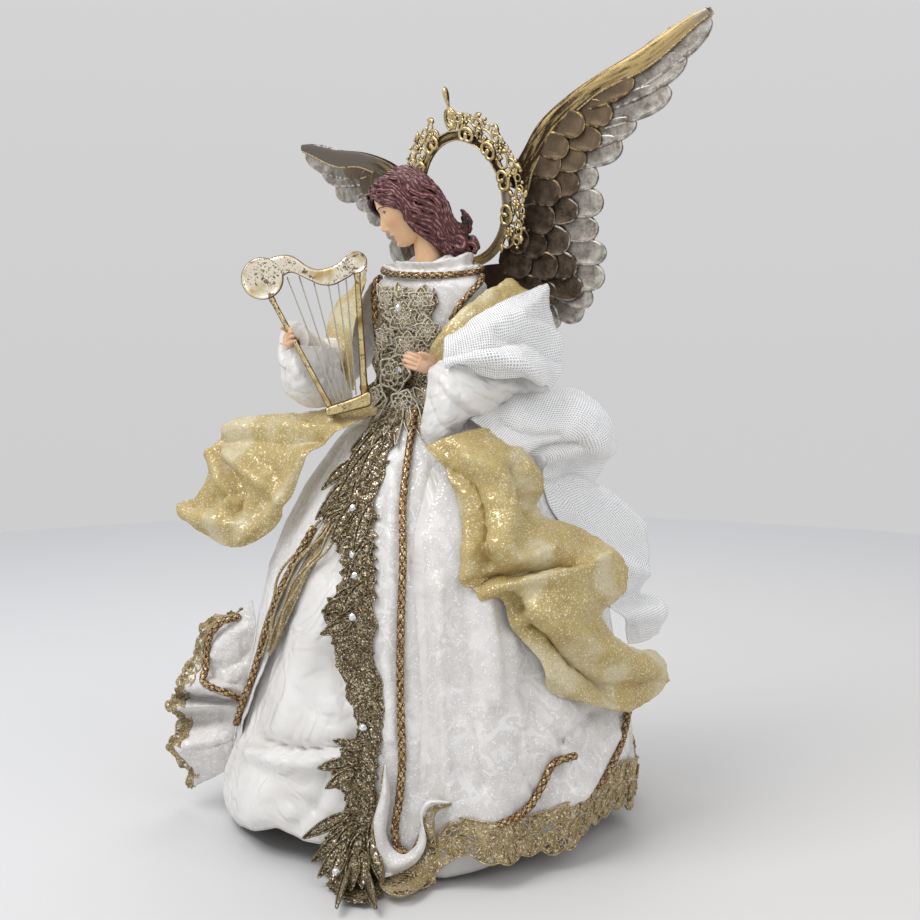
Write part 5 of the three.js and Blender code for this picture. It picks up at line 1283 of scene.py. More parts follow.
def thread_finish(dark, pale):
    """A twisted metallic thread, with a painted highlight on top of each turn, painted shade between its
    turns, and pale flecks painted as glints.
    """
    def recipe(place, uv, root):
        twist = (part(uv, 0) * 6.28 + part(uv, 1) * 55).sin() * 0.5 + 0.5
        grain = noise(place, 1800, 2)
        bright, tilt = sparkle(place, 1350, 0.4)
        # painted light: the turns are pale on top and dark between, as highlight and shade
        tone = mix(twist * 0.6 + grain * 0.4, dark, pale)
        return {"Base_Color": mix(bright * 0.7, tone, mix(tilt, dark, "FFF6E0")),
                "Roughness": 0.35 + grain * 0.15,
                "Metallic": 0.55 + twist * 0.2,
                "Normal": bump(twist, 0.35, 0.0002)}
    return recipe


front_net = finish("dark gold lace net", lace_finish("261D12", "4E4029", 0.32))
gold_net = finish("gold lace net", lace_finish("7A6338", "BFA468", 0.55))
chest_net = finish("pale gold lace net", lace_finish("6A5B41", "AD9D78", 0.5))
open_net = finish("open gold lace", lace_finish("7A6338", "BFA468", 0.55, open_mesh=True))
outline_gold = finish("lace outline thread", thread_finish("6A5634", "D2BE8E"))
outline_dark = finish("dark lace outline thread", thread_finish("2E2216", "957E52"))
outline_pale = finish("pale outline thread", thread_finish("8E8164", "FFFAEC"))
print("lace finishes made")

# %% Front lace
LACE_LEFT = [(386, 408), (366, 432), (350, 450), (340, 478), (328, 492), (318, 518), (330, 540),
             (338, 562), (336, 585), (322, 612), (326, 636), (334, 662), (346, 700), (356, 730),
             (338, 750), (328, 768), (342, 800), (324, 836), (318, 860), (325, 886), (345, 902)]
LACE_RIGHT = [(408, 408), (400, 430), (392, 455), (384, 480), (380, 505), (379, 530), (378, 555),
              (378, 580), (378, 605), (378, 640), (380, 665), (387, 700), (384, 730), (381, 760),
              (379, 785), (379, 810), (376, 835), (382, 858), (390, 882), (374, 904)]


def between_edges(left_edge, right_edge, t, s, gap):
    """A place on the dress between two edges seen in the photograph: t along and s across."""
    t, s = np.broadcast_arrays(np.asarray(t, float), s)
    left, right = spline(left_edge, t), spline(right_edge, t)
    return on_dress(left + (right - left) * s[..., None], gap)


def on_lace(t, s, gap=1.2):
    """A place on the front lace: t from the waist to the foot, s from its left to its right."""
    return between_edges(LACE_LEFT, LACE_RIGHT, t, s, gap)


def vines(place, count, reach, gap, radius, table):
    """Threads that wind along a lace: across it, 0.5 + swing * sin(2 pi number t + start)."""
    t, threads_laid = even(count), []
    for start, swing, number in table:
        path = place(t * reach, 0.5 + swing * np.sin(number * 2 * np.pi * t + start), gap)
        threads_laid.append(tube(path, radius, from_axis(path), 6))
    return threads_laid


def motifs(root, tip, wide):
    """Places, directions and sizes of leaves between roots and tips, facing out of the dress."""
    up, ahead = unit(from_axis(root) + 0.6 * FACING), unit(tip - root)
    up = up - (up * ahead).sum(-1, keepdims=True) * ahead
    size = join(np.linalg.norm(tip - root, axis=-1), wide, 0 * wide + 1.1)
    return root, frames(root, tip - root, up), size


def chalked(rows, gap=2.4):
    """Leaves drawn on the dress: root x and y, tip x and y and half width in pixels."""
    rows = np.array(rows, float)
    return motifs(on_dress(rows[:, :2], gap), on_dress(rows[:, 2:4], gap + 0.6), rows[:, 4] * 0.5)


def lace_radius(degrees, z):
    flare = 29 * np.maximum(0, 1 - z / 32)**2
    return np.maximum(robe_radius(degrees, z), skirt_radius(z)) + 1.8 + flare


rng = np.random.default_rng(12)
SPRAYS = [
    [396, 408, 350, 452, 5], [388, 422, 343, 474, 6], [384, 434, 356, 488, 6], [374, 446, 336, 500, 6],
    [366, 464, 347, 522, 6], [352, 460, 322, 490, 5], [346, 480, 316, 520, 5], [357, 500, 331, 542, 6],
    [372, 502, 353, 554, 6], [372, 540, 348, 580, 6], [366, 580, 340, 615, 6], [350, 598, 322, 612, 6],
    [352, 622, 321, 634, 6], [346, 612, 328, 598, 5], [362, 748, 334, 740, 5], [358, 760, 318, 768, 6],
    [354, 770, 326, 788, 6], [350, 812, 303, 838, 6], [352, 826, 312, 862, 6], [348, 838, 318, 878, 6],
    [346, 846, 331, 884, 6], [350, 862, 337, 909, 7], [354, 852, 352, 891, 8], [362, 850, 363, 889, 8],
    [362, 864, 377, 909, 8], [370, 840, 384, 886, 6], [362, 832, 350, 872, 7], [356, 822, 332, 856, 6],
    [372, 822, 376, 868, 6]]
sprays = chalked(SPRAYS)
climb = np.linspace(.02, .9, 34)
hand = np.where(np.arange(34) % 2, 1.0, -1.0)
edge_leaves = motifs(on_lace(climb, 0.5 + 0 * climb), on_lace(climb + .032, 0.5 + 0.42 * hand, 1.6),
                     rng.uniform(1.5, 2.6, 34))
curl_t = rng.uniform(.03, .97, 110)
curl_s = rng.uniform(.12, .88, 110)
turn_to = rng.uniform(0, 2 * np.pi, 110)
small_leaves = motifs(on_lace(curl_t, curl_s), on_lace(np.clip(curl_t + .014 * np.sin(turn_to), 0, 1),
                                                       curl_s + .16 * np.cos(turn_to), 1.9),
                      rng.uniform(.7, 1.5, 110))
rose_t = np.array([.06, .17, .27, .385, .42, .53, .62, .71, .77, .86, .95])
rose_at = on_lace(rose_t, 0.36 + 0.2 * np.sin(5 * rose_t), 2.0)
rose = flower_set(rose_at, from_axis(rose_at), [0, 0, 1.0], rng.uniform(3.2, 5.0, 11), 6, 0.4)
sheets, lines = [], []
for motif, rows, line in ((sprays, 10, .55), (edge_leaves, 8, .42), (small_leaves, 6, .34),
                          (rose, 6, .34)):
    sheets += petals(*motif, rows=rows)
    lines.append(outlines(*motif, line, line))
lines += vines(on_lace, 420, 1, 1.7, 0.4,
               [(0.0, 0.4, 9), (math.pi, 0.36, 9), (1.4, 0.3, 14), (3.0, 0.42, 5)])
t, s = shares_grid(300, 40)
ragged = 0.12 * np.abs(np.sin(25 * np.pi * t + 3 * np.sin(19 * t))) * ((1 - s)**3 - s**3)
net = on_lace(t, s + ragged, 0.8 + 0.3 * ripple(join(t * 40, s * 4), 1.0, 4, 2))
sew("front_lace_net", net, front_net, "lace", ["front_lace"], thick=0.7)
add("front_lace_leaves", sheets, front_net, "lace")
twine("front_lace_outlines", lines, outline_dark, "lace")

# %% Hem lace and opening lace
def hem_lace_place(degrees, drop, standoff=0.9):
    """A place on the hem lace by heading and share of its drop."""
    top = robe_bottom(degrees) + 3.6
    scallop = 3 * np.abs(np.sin(np.radians(9 * degrees)))
    bottom = top - 21 - 10 * caught_up(degrees) + scallop
    z = top + (bottom - top) * drop
    lying = np.maximum(0, 3.5 - z)
    z = z + lying
    flare = 5 * drop * (1 - 2 * caught_up(degrees)) + 0.9 * lying
    return polar(degrees, robe_radius(degrees, z) + 1.8 + flare + standoff, z)


def on_hem(degrees, drop, angle, lift=1.2):
    """Places and directions on the hem lace; angle 0 points down."""
    here = hem_lace_place(degrees, drop, lift)
    below = hem_lace_place(degrees, drop + 0.05, lift) - here
    beside = hem_lace_place(degrees + 0.5, drop, lift) - here
    a = np.radians(angle)[:, None]
    ahead = np.cos(a) * unit(below) + np.sin(a) * unit(beside)
    return here, frames(here, ahead, np.cross(below, beside))


HEM_ENDS, FAN_STEP = (33, 300), 6.667
drop, degrees = crossed(even(22), np.linspace(*HEM_ENDS, 520))
fan = 0.13 * np.abs(np.sin(np.radians(27 * degrees))) * drop**3
hem_points = hem_lace_place(degrees, drop * (0.88 + fan), 0.9 + 0.3 * ripple(
    join(degrees / 4, drop * 4), 1.0, 2, 2))
sew("hem_lace_net", hem_points, open_net, "lace", ["hem_lace"], thick=0.6)
fan_at = np.arange(36.67, 298, FAN_STEP)
FAN_ANGLES = [-62., -32, 0, 32, 62]
FAN_LEAVES = [[6.0, 1.5, .8], [8, 1.6, .8], [9.5, 1.8, .9], [8, 1.6, .8], [6, 1.5, .8]]
fans = on_hem(np.repeat(fan_at, 5), np.full(5 * len(fan_at), 0.5), np.tile(FAN_ANGLES, len(fan_at)))
fan_sizes = np.tile(FAN_LEAVES, (len(fan_at), 1))
blossom_at = np.arange(40.0, 298, FAN_STEP)
blossom_places, blossom_frames = on_hem(blossom_at, np.full(len(blossom_at), 0.26), 0 * blossom_at)
blossoms = flower_set(blossom_places, blossom_frames[:, 2], blossom_frames[:, 0], 4.2, 6)
hem_sheets = petals(*fans, fan_sizes) + petals(*blossoms)
hem_lines = [outlines(*fans, fan_sizes, 0.36, 0.45), outlines(*blossoms, 0.3, 0.4)]
for share, wiggle in ((0.02, 0.0), (0.52, 0.05), (0.99, 0.0)):
    around = np.linspace(*HEM_ENDS, 940)
    ride_on = share * (0.88 + 0.13 * np.abs(sine(27, around)) * share**3) + wiggle * sine(54, around)
    path = hem_lace_place(around, ride_on, 1.4)
    hem_lines.append(tube(path, 0.5, from_axis(path), 6))
add("hem_lace_leaves", hem_sheets, gold_net, "lace")
twine("hem_lace_outlines", hem_lines, outline_gold, "lace")


def opening_place(across, rise, standoff):
    """The strip of lace beside the robe's far edge, widest in the middle of its length."""
    z = HEIGHT * (0.45 + 0.29 * rise)
    width = (0.8 + 5.7 * across) * np.sin(np.radians(40 + 110 * rise))
    return polar(look_up(ROBE_EDGES, z / HEIGHT) + width, skirt_radius(z) + standoff, z)


rise, across = shares_grid(60, 10)
sew("opening_lace_net", opening_place(across, rise, 0.9), gold_net, "lace", ["opening_lace"], thick=0.6)
step = even(120)
PIPES = [[(331, 519), (318, 540), (299, 560), (284, 586), (276, 616), (266, 652)],
         [(337, 528), (326, 553), (305, 573), (290, 600), (281, 626), (268, 655)],
         [(326, 523), (312, 548), (291, 567), (278, 592), (270, 622), (262, 656)],
         [(334, 524), (324, 546), (310, 562), (294, 584), (282, 606), (272, 640)],
         [(322, 520), (306, 540), (288, 562), (276, 586), (268, 612), (258, 660)]]
piping = [on_dress(spline(pipe, step) + [[2.0, 0]] * np.sin(14 * step + k)[:, None], 1.6)
          for k, pipe in enumerate(PIPES)]
twine("opening_lace_outlines", [tube(p, 0.8, from_axis(p), 8) for p in piping], outline_gold, "lace")

# %% Bodice lace and waist flower
BODICE_LEFT = [(380, 286), (375, 300), (380, 314), (374, 330), (379, 346), (372, 362), (376, 378),
               (362, 392), (366, 408)]
BODICE_RIGHT = [(434, 288), (438, 302), (431, 318), (437, 334), (430, 350), (435, 366), (430, 382),
                (436, 396), (424, 412)]


def on_bodice(t, s, gap=1.6):
    """A place on the chest's lace: t from its top to the waist, s from its left to its right."""
    return between_edges(BODICE_LEFT, BODICE_RIGHT, t, s, gap)


t, s = shares_grid(70, 46)
scalloped = t + (1 - t) * 0.06 * np.abs(np.sin(4 * np.pi * s))
net = on_bodice(scalloped, s, 1.4 + 0.3 * ripple(join(t * 6, s * 4), 1.0, 9, 2))
sew("bodice_lace_net", net, front_net, "lace", ["bodice_lace"], thick=0.8)
BLOOMS = [(389, 300, 7.5), (421, 301, 7.5), (404, 318, 9), (385, 337, 7), (428, 332, 7.5),
          (408, 346, 8), (379, 356, 6.5), (428, 402, 6), (426, 360, 6.5)]
WAIST_BLOOMS = [(395, 373, 10.5), (379, 398, 7.5), (404, 404, 8)]


def blooms_at(table, gap, lean, count, wide):
    """Flowers at (x, y, radius in mm) on the dress, and the smaller flower inside each."""
    places = on_dress(np.array(table)[:, :2], gap)
    outward = unit(from_axis(places) + 0.5 * FACING)
    size = np.array(table)[:, 2]
    return [flower_set(places, outward, [lean, 0, 1.0], size, count, wide),
            flower_set(places + 1.3 * outward, outward, [lean, 0, 1.0], size * 0.62, count, wide * 0.8)]


blooms, hearts = blooms_at(BLOOMS, 3.0, 0.0, 6, 0.4)
waist_blooms, waist_hearts = blooms_at(WAIST_BLOOMS, 5.2, 0.35, 5, 0.5)
t, s, turn_to = rng.uniform(.04, .62, 34), rng.uniform(.08, .92, 34), rng.uniform(0, 2 * np.pi, 34)
tips = on_bodice(np.clip(t + .07 * np.sin(turn_to), 0, 1), s + .18 * np.cos(turn_to), 2.4)
leaves = motifs(on_bodice(t, s), tips, rng.uniform(1.0, 1.9, 34))
SPRIGS = [[388, 398, 364, 438, 6], [394, 400, 372, 448, 6], [402, 400, 396, 446, 5],
          [410, 396, 424, 440, 6], [414, 388, 440, 420, 6], [386, 392, 366, 414, 6],
          [398, 404, 384, 436, 5], [406, 402, 410, 436, 5], [384, 384, 369, 398, 5],
          [384, 300, 378, 284, 5], [400, 298, 398, 282, 5], [420, 300, 426, 284, 5]]
sprigs = chalked(SPRIGS, 2.6)
step = even(120)
flower_lines, flower_sheets, lines, sheets = [], [], [], []
for motif, line, where, solid in (
        (waist_blooms, .75, flower_lines, flower_sheets), (waist_hearts, .5, flower_lines, flower_sheets),
        (blooms, .55, lines, sheets), (hearts, .42, lines, sheets), (leaves, .42, lines, sheets),
        (sprigs, .5, lines, sheets)):
    solid.extend(petals(*motif, rows=8))
    where.append(outlines(*motif, line, line))
lines += vines(on_bodice, 120, 0.68, 2.4, 0.42,
               [(0.0, 0.42, 2), (math.pi, 0.42, 2), (1.4, 0.3, 3.5), (4.0, 0.45, 3)])
add("bodice_lace_leaves", sheets, chest_net, "lace")
twine("bodice_lace_outlines", lines, outline_pale, "lace")
FLOWER = on_torso(8.0, 0.24, 2.0)
add("waist_flower_petals", flower_sheets, front_net, "lace", ["waist_flower"])
twine("waist_flower_outlines", flower_lines, outline_pale, "lace")

# %% Turned corner of the robe
CORNER_IN = [(386, 765), (390, 795), (388, 815), (386, 832), (393, 848), (405, 853), (416, 845),
             (421, 828), (424, 814), (433, 806), (450, 803)]
CORNER_OUT = [(385, 765), (381, 795), (374, 822), (377, 848), (381, 876), (400, 872), (418, 860),
              (426, 840), (420, 816), (428, 801), (450, 802)]
LACE_OUT = [(384, 766), (378, 805), (372, 830), (376, 860), (382, 888), (402, 896), (424, 884),
            (436, 862), (434, 830), (436, 812), (452, 804)]
t, s = shares_grid(120, 16)
for name, inner, outer, lift, look, slot in (
        ("robe_corner", CORNER_IN, CORNER_OUT, 5.0, brocade, "brocade"),
        ("corner_lace", CORNER_OUT, LACE_OUT, 2.0, open_net, "lace")):
    points = between_edges(inner, outer, t, s, 2.2 + lift * np.sin(np.pi * s * 0.8))
    piece = sew(name, points, look, slot, thick=0.6)
    declare(["over_robe"])
rim = on_dress(spline(LACE_OUT, step), 3.6)
twine("corner_lace_outline", tube(rim, 0.5, FACING, 6), outline_gold, "lace")

# %% Frill lace
frill = strips["robe_frill"]
outwards = unit(frill[:, -1] - frill[:, -7])
step = even(len(frill))[:, None]
fall = 4.6 + 2.4 * np.abs(np.sin(14 * np.pi * step))
reach = np.linspace(-0.7, 1, 14)
trim = frill[:, -1, None] + outwards[:, None] * (fall * reach)[..., None] + [0, 0, 0.4]
sew("frill_lace_net", trim, open_net, "lace", thick=0.6)
trim_lines = [tube(trim[:, k], 0.5, FACING, 6) for k in (0, 6, 13)]
dots = trim[4::9, 8]
rosettes = flower_set(dots, FACING, [0, 0, 1.0], 2.6, 6, 0.36)
twine("frill_lace_outlines", trim_lines + [outlines(*rosettes, 0.34, 0.4)], outline_gold, "lace")
add("frill_lace_leaves", petals(*rosettes), gold_net, "lace")

# %% [markdown]
# ## Head
# The head is a resin casting, painted by hand. Its surface is a stack of level rings, each
# between a front profile, a side width and a back, all from small tables of shares of the
# head's half height. Nose, lips, chin, cheeks and eye hollows are soft bumps added on top:
# amplitude times a bell curve in side and height. The paint uses the same two coordinates,
# kept as point attributes, so that brow, lashes and lips lie exactly on their forms.

# %% Face
HEAD, HEAD_AT = 19.5, np.array([-7.41, -7.41, 340.05])
tilt, turned = math.radians(24), math.radians(-40)
HEAD_TURN = (np.array([[math.cos(turned), -math.sin(turned), 0],
                       [math.sin(turned), math.cos(turned), 0], [0, 0, 1]])
             @ np.array([[1, 0, 0], [0, math.cos(tilt), -math.sin(tilt)],
                         [0, math.sin(tilt), math.cos(tilt)]]))


def on_head(places):
    """World place of (side, forward, up) shares of the half height, in the head's own frame."""
    return HEAD_AT + HEAD * (np.asarray(places) * [1, -1, 1]) @ HEAD_TURN.T


def bell(x, middle, width):
    return np.exp(-((x - middle) / width)**2)


FACE = [  # up, half width, front, back
    [-1.0, 0, .55, .55], [-.97, .17, .68, .35], [-.92, .27, .775, .2], [-.85, .335, .82, .08],
    [-.78, .39, .83, -.05], [-.7, .44, .845, -.2], [-.6, .49, .87, -.35], [-.5, .53, .885, -.48],
    [-.4, .565, .895, -.58], [-.2, .60, .915, -.7], [0, .625, .925, -.75], [.15, .635, .94, -.75],
    [.3, .635, .955, -.72], [.5, .61, .935, -.65], [.7, .55, .865, -.52], [.85, .42, .73, -.35],
    [.95, .25, .52, -.12], [1.0, 0, .2, .2]]


FEATURES = [  # height, side and width, level and width of a bell, as shares
    (.045, .1, .045, -.36, .05), (-.02, .155, .04, -.34, .06),      # nostril, groove beside it
    (-.075, .27, .13, .12, .085), (.045, .3, .10, .125, .05),       # eye hollow, eyeball
    (.022, .27, .2, .3, .06), (.03, .38, .17, -.2, .15),            # brow, cheek
    (.06, 0, .13, -.535, .038), (.052, 0, .11, -.655, .045),        # upper lip, lower lip
    (-.03, 0, .16, -.6, .018), (-.02, 0, .035, -.475, .035),        # mouth line, groove above it
    (.035, 0, .14, -.87, .075), (-.02, 0, .18, -.76, .04)]          # chin, hollow above it


def face():
    """Rings from the table, then bells for the features, in (side, forward, up) shares."""
    v, u = crossed(np.linspace(0, np.pi, 190), np.linspace(-1, 1, 241))
    rows = np.array(FACE)
    up = -np.cos(v)
    wide, front, back = [np.interp(up, rows[:, 0], rows[:, k]) for k in (1, 2, 3)]
    a = u * np.pi * (0.62 + 0.38 * np.abs(u))
    side = wide * np.sign(np.sin(a)) * np.abs(np.sin(a))**0.88
    reach = (front - back) / 2 * np.sign(np.cos(a)) * np.abs(np.cos(a))**0.92
    forward = (front + back) / 2 + reach
    facing = smooth(np.cos(a), 0.0, 0.35)
    x, z = np.abs(side), up
    nose_line = np.interp(z, [-.49, -.43, -.36, -.29, -.2, -.1, .02, .12, .2],
                          [0, .05, .145, .18, .15, .10, .04, .0, 0])
    nose_wide = np.interp(z, [-.42, -.33, -.2, 0, .15], [.085, .082, .07, .06, .07])
    lift = nose_line * bell(side, 0, nose_wide)
    for height, beside, wide_by, level, tall_by in FEATURES:
        lift = lift + height * bell(x, beside, wide_by) * bell(z, level, tall_by)
    forward = forward + lift * facing
    return join(side, forward, up)


def paint_marks(shares):
    """Masks from 0 to 1 for eyes, lashes and brows (dark) and for lips, from side and up."""
    x, z, ahead = np.abs(shares[..., 0]), shares[..., 2], shares[..., 1] > 0.3
    eye = ((x - .30) / .085)**2 + ((z - .118 - .4 * (x - .3)**2) / .036)**2
    iris = 1 - smooth(((x - .315) / .036)**2 + ((z - .118) / .034)**2, .6, 1.2)
    lash = bell(z, .152 - 3.2 * (x - .295)**2, .011) * (1 - smooth(np.abs(x - .3), .08, .11))
    under = bell(z, .085 + 3.0 * (x - .3)**2, .008) * (1 - smooth(np.abs(x - .3), .06, .09)) * .45
    brow_line = .285 - 2.2 * (x - .29)**2
    brow = bell(z, brow_line, .014) * smooth(x, .11, .16) * (1 - smooth(x, .40, .46)) * .8
    dark = np.maximum.reduce([iris, lash, under, brow]) * ahead
    white = (1 - smooth(eye, .7, 1.1)) * (1 - iris) * ahead
    cupid = -.515 - .03 * bell(x, 0, .03) - .35 * x**2 * 4
    lips = smooth(z, -.715 + 2.2 * x**2, -.69 + 2.2 * x**2) * (1 - smooth(z, cupid - .02, cupid + .01))
    lips = lips * (1 - smooth(x, .15, .19)) * ahead
    line = bell(z, -.598 + .6 * x**2, .010) * (1 - smooth(x, .15, .2)) * ahead
    flush = bell(x, .42, .16) * bell(z, -.22, .16) * ahead
    return {"dark": dark, "white": white, "lips": np.maximum(lips, line), "flush": flush}


def face_finish(place, uv, root):
    """Skin paint with brown brows and lashes, rose lips and a faint flush, by attributes."""
    marks = {m: root.node("Attribute", {}, {"attribute_name": m}, 2)
             for m in ("dark", "white", "lips", "flush")}
    patch, fine = noise(place, 90, 2), noise(place, 1500, 2)
    tone = mix(patch, "E2B589", "F1CAA0")
    tone = mix(marks["flush"] * 0.4, tone, "D08C72")
    tone = mix(marks["lips"] * 0.75, tone, "A2524A")
    tone = mix(marks["white"] * 0.8, tone, "E9DED2")
    tone = mix(marks["dark"].between(0.15, 0.6), tone, "3A2019")
    return {"Base_Color": tone, "Roughness": fine * 0.12 + 0.4 - marks["lips"] * 0.12,
            "Normal": bump(fine, 0.1, 0.0002)}


shares = face()
neck_t = even(26)
neck_path = spline([[0, 0, 301.6], [-1.2, -0.6, 311], on_head((0, -.12, -.55)),
                    on_head((0, -.02, -.2))], neck_t)
neck_girth = np.interp(neck_t, [0, .12, .4, .7, 1], [10.5, 8.9, 7.6, 7.6, 7.0])
neck = tube(neck_path, neck_girth, HEAD_TURN @ [0, -1.0, 0], 40)
neck_marks = np.zeros(neck.shape[:-1])
marks = {mark: [values, neck_marks] for mark, values in paint_marks(shares).items()}
piece = mesh_piece("face_and_neck", [on_head(shares), neck], marks=marks)
face_paint = finish("painted face", face_finish, Subsurface_Weight=0.08, Subsurface_Scale=0.002)
dress(piece, face_paint, "skin", ["head"])

# %% [markdown]
# The hair is cast with the head, combed back from a parting in thick wavy strands, with a
# flick and rolled curls at the neck. Guide strands are given as tables of places on the
# head. Every other strand is a spline between guides, so that neighbours keep in step, and
# each one is a tube whose own fine ridges are a wave round it. The valleys carry painted shade,
# and the ridges pale dry-brush paint that is also a painted highlight, as the tube's UV map says.

# %% Hair
NEAR_GUIDES = np.array([
    [[.02, .90, .73], [.28, .81, .56], [.5, .60, .29], [.615, .36, -.06], [.60, .2, -.5],
     [.52, .0, -.97], [.44, -.16, -1.4], [.38, -.32, -1.78]],
    [[.0, .78, .86], [.34, .66, .72], [.62, .40, .42], [.72, .12, .0], [.72, -.08, -.48],
     [.66, -.26, -.98], [.56, -.42, -1.42], [.46, -.6, -1.85]],
    [[-.02, .5, .97], [.36, .34, .9], [.66, .06, .58], [.75, -.22, .12], [.70, -.4, -.38],
     [.62, -.5, -.92], [.54, -.62, -1.36], [.44, -.85, -1.8]],
    [[-.03, .1, 1.03], [.3, -.14, .95], [.5, -.42, .6], [.52, -.62, .1], [.48, -.72, -.4],
     [.44, -.78, -.88], [.38, -.84, -1.3], [.3, -1.02, -1.75]],
    [[.0, -.25, 1.0], [.0, -.46, .86], [.0, -.68, .46], [.0, -.78, 0], [.0, -.82, -.45],
     [.0, -.86, -.9], [.0, -.9, -1.3], [.0, -1.05, -1.7]]])
FAR_GUIDES = NEAR_GUIDES * [-1, 1, 1]
FAR_GUIDES[0] = [[-.02, .90, .73], [-.3, .97, .62], [-.56, .98, .42], [-.62, .92, .16],
                 [-.66, .62, -.25], [-.6, .42, -.75], [-.46, .36, -1.15], [-.34, .28, -1.4]]
FAR_GUIDES[1] = [[.0, .8, .85], [-.36, .76, .74], [-.66, .62, .42], [-.74, .42, .0],
                 [-.74, .2, -.5], [-.66, .0, -.98], [-.5, -.1, -1.4], [-.4, -.3, -1.7]]
FLICKS = np.array([
    [[.5, -.45, -.3], [.44, -.74, -.82], [.36, -.98, -1.12], [.32, -1.14, -1.0], [.3, -1.18, -.68]],
    [[.34, -.6, -.4], [.34, -.82, -1.05], [.3, -1.06, -1.26], [.28, -1.24, -1.05], [.28, -1.22, -.7]],
    [[.1, -.7, -.5], [.18, -.92, -1.02], [.22, -1.12, -1.24], [.24, -1.22, -1.02], [.24, -1.18, -.78]]])


def strands(guides, count, seed, depth=0.05, lift=0.0, low=0.0, high=1.0):
    """Tubes between the guides: (count, steps) splines, waving sideways in step."""
    t = even(44)
    paths = spread(guides, np.linspace(low, high, count), t)
    phase = even(count)[:, None]
    outward = unit(paths - [-1e-3, -.1, .05])
    ahead = unit(np.gradient(paths, axis=1))
    sideways = np.cross(ahead, outward)
    wave = depth * np.sin(2 * np.pi * (2.6 * t + 0.9 * phase) + seed) * smooth(t, 0.05, 0.4)
    wave = wave + 0.5 * depth * ripple(join(phase * 6 + 0 * t, t * 5 + 0 * phase), 1.0, seed + 9, 2)
    bumpy = 0.05 * ripple(join(phase * 3 + 0 * t, t * 4 + 0 * phase), 1.0, seed, 2)
    paths = paths + sideways * wave[..., None] + outward * (bumpy + lift)[..., None]
    return paths, outward


def strand_tubes(paths, outward, radius, sides=14):
    """Tubes in millimetres with fine ridges round them, tapered at both ends."""
    t = even(paths.shape[-2])
    taper = np.interp(t, [0, .06, .5, .85, 1], [.45, .8, 1.0, .85, .3])
    a = circle(sides + 1)
    ridges = 1 + 0.07 * np.cos(4 * a + 5 * t[:, None])
    radius = radius * np.random.default_rng(paths.size).uniform(0.75, 1.25, (len(paths), 1, 1))
    world = on_head(paths)
    out = (outward * [1, -1, 1]) @ HEAD_TURN.T
    return tube(world, radius * HEAD * taper[:, None] * ridges, out, sides, 0.8)


def curl(middle, radius, turns, axis, lean):
    """A flat spiral that tightens towards its middle and rises a little out of its plane."""
    t = even(60)
    a = 2 * np.pi * turns * t + lean
    axis = unit(np.array(axis, float))
    first = unit(np.cross(axis, [0, 0, 1.0]))
    second = np.cross(axis, first)
    reach = radius * (1 - 0.72 * t)
    return (np.array(middle) + (reach * np.cos(a))[:, None] * first + (reach * np.sin(a))[:, None] * second
            + (0.35 * radius * t)[:, None] * axis)


def hair_finish(place, uv, root):
    """Plum brown, with painted shade on each strand's inward side in the valleys, and pinkish tan dry-brush
    paint on broken ridges that is also a painted highlight.
    """
    u, v = part(uv, 0), part(uv, 1)
    top = (u * (2 * math.pi) + math.pi / 2).sin()
    fine = (u * (12 * math.pi) + noise(place, 200, 2) * 5).sin() * 0.5 + 0.5
    grain = noise(place, 420, 3)
    brushed_highlight = (top * 0.6 + fine * 0.6 + grain * 1.2 - 1.42).between(0.0, 0.3)
    # painted shade: each strand is darker on its side that faces in, towards the valleys
    tone = mix(top.between(0.0, 1.0), "1E0A0B", "552427")
    return {"Base_Color": mix(brushed_highlight * (grain.between(0.4, 0.62) * 0.5 + 0.15), tone, "C0918A"),
            "Roughness": 0.5 - brushed_highlight * 0.12,
            "Normal": bump(fine * 0.6 + grain * 0.3, 0.5, 0.0004)}


LOCKS = [  # guides, count, seed, wave, lift, first and last guide; radius, sides
    ((NEAR_GUIDES, 17, 1, 0.085), (.115, 18)), ((FAR_GUIDES, 17, 4, 0.085), (.115, 18)),
    ((NEAR_GUIDES, 13, 2, 0.13, 0.075, 0.03, 0.92), (.075,)),
    ((FAR_GUIDES, 10, 3, 0.11, 0.07, 0.02, 0.9), (.075,)), ((FLICKS, 6, 6, 0.03), (.11,))]
CURLS = [  # middle, radius, turns, axis, start
    ([.66, -.36, -1.05], .17, 0.9, [1, -.2, 0], 0.5),
    ([.40, -.96, -1.78], .26, 0.95, [1, -.1, .1], 2.2),
    ([.56, -.66, -1.5], .22, 0.9, [1, -.3, .1], 4.0), ([-.5, -.9, -1.35], .24, 1.0, [-1, -.2, 0], 1.0),
    ([.1, -1.1, -1.7], .24, 1.0, [.4, -1, 0], 2.0)]
curls = np.stack([curl(*row) for row in CURLS])
curl_out = np.broadcast_to(unit(np.array([row[3] for row in CURLS], float))[:, None], curls.shape)
v, u = crossed(np.linspace(0, np.pi, 30), circle(41))
cap = join(.63 * np.sin(v) * np.cos(u), -.10 + .70 * np.sin(v) * np.sin(u), .14 + .84 * np.cos(v))
cap[..., 1] = np.minimum(cap[..., 1], 0.5)
hair_forms = [strand_tubes(*strands(*lock), *form) for lock, form in LOCKS]
hair_forms += [strand_tubes(curls, curl_out, .12), on_head(cap)]
hair_paint = finish("painted hair", hair_finish)
add("hair", hair_forms, hair_paint, "skin")

# %% [markdown]
# ## Wings
# The wings are sheet metal, pressed over a form. Each feather is a shallow spoon with a raised
# rim, in three rows that overlap like tiles, with one long rounded strip along the leading
# edge. One formula makes a spoon: its width swells and closes in a round tip, its floor is
# hollow and its edge stands up. Copies are placed by a table of roots and tips, drawn in the
# wing unit's own plane, and both faces of the wing get them, as the real pressing shows
# through on its back.

# %% Wing unit's own frame
ROLL, LEAN = math.radians(9), math.radians(8)
WINGS_AT = [4, 34, 300]


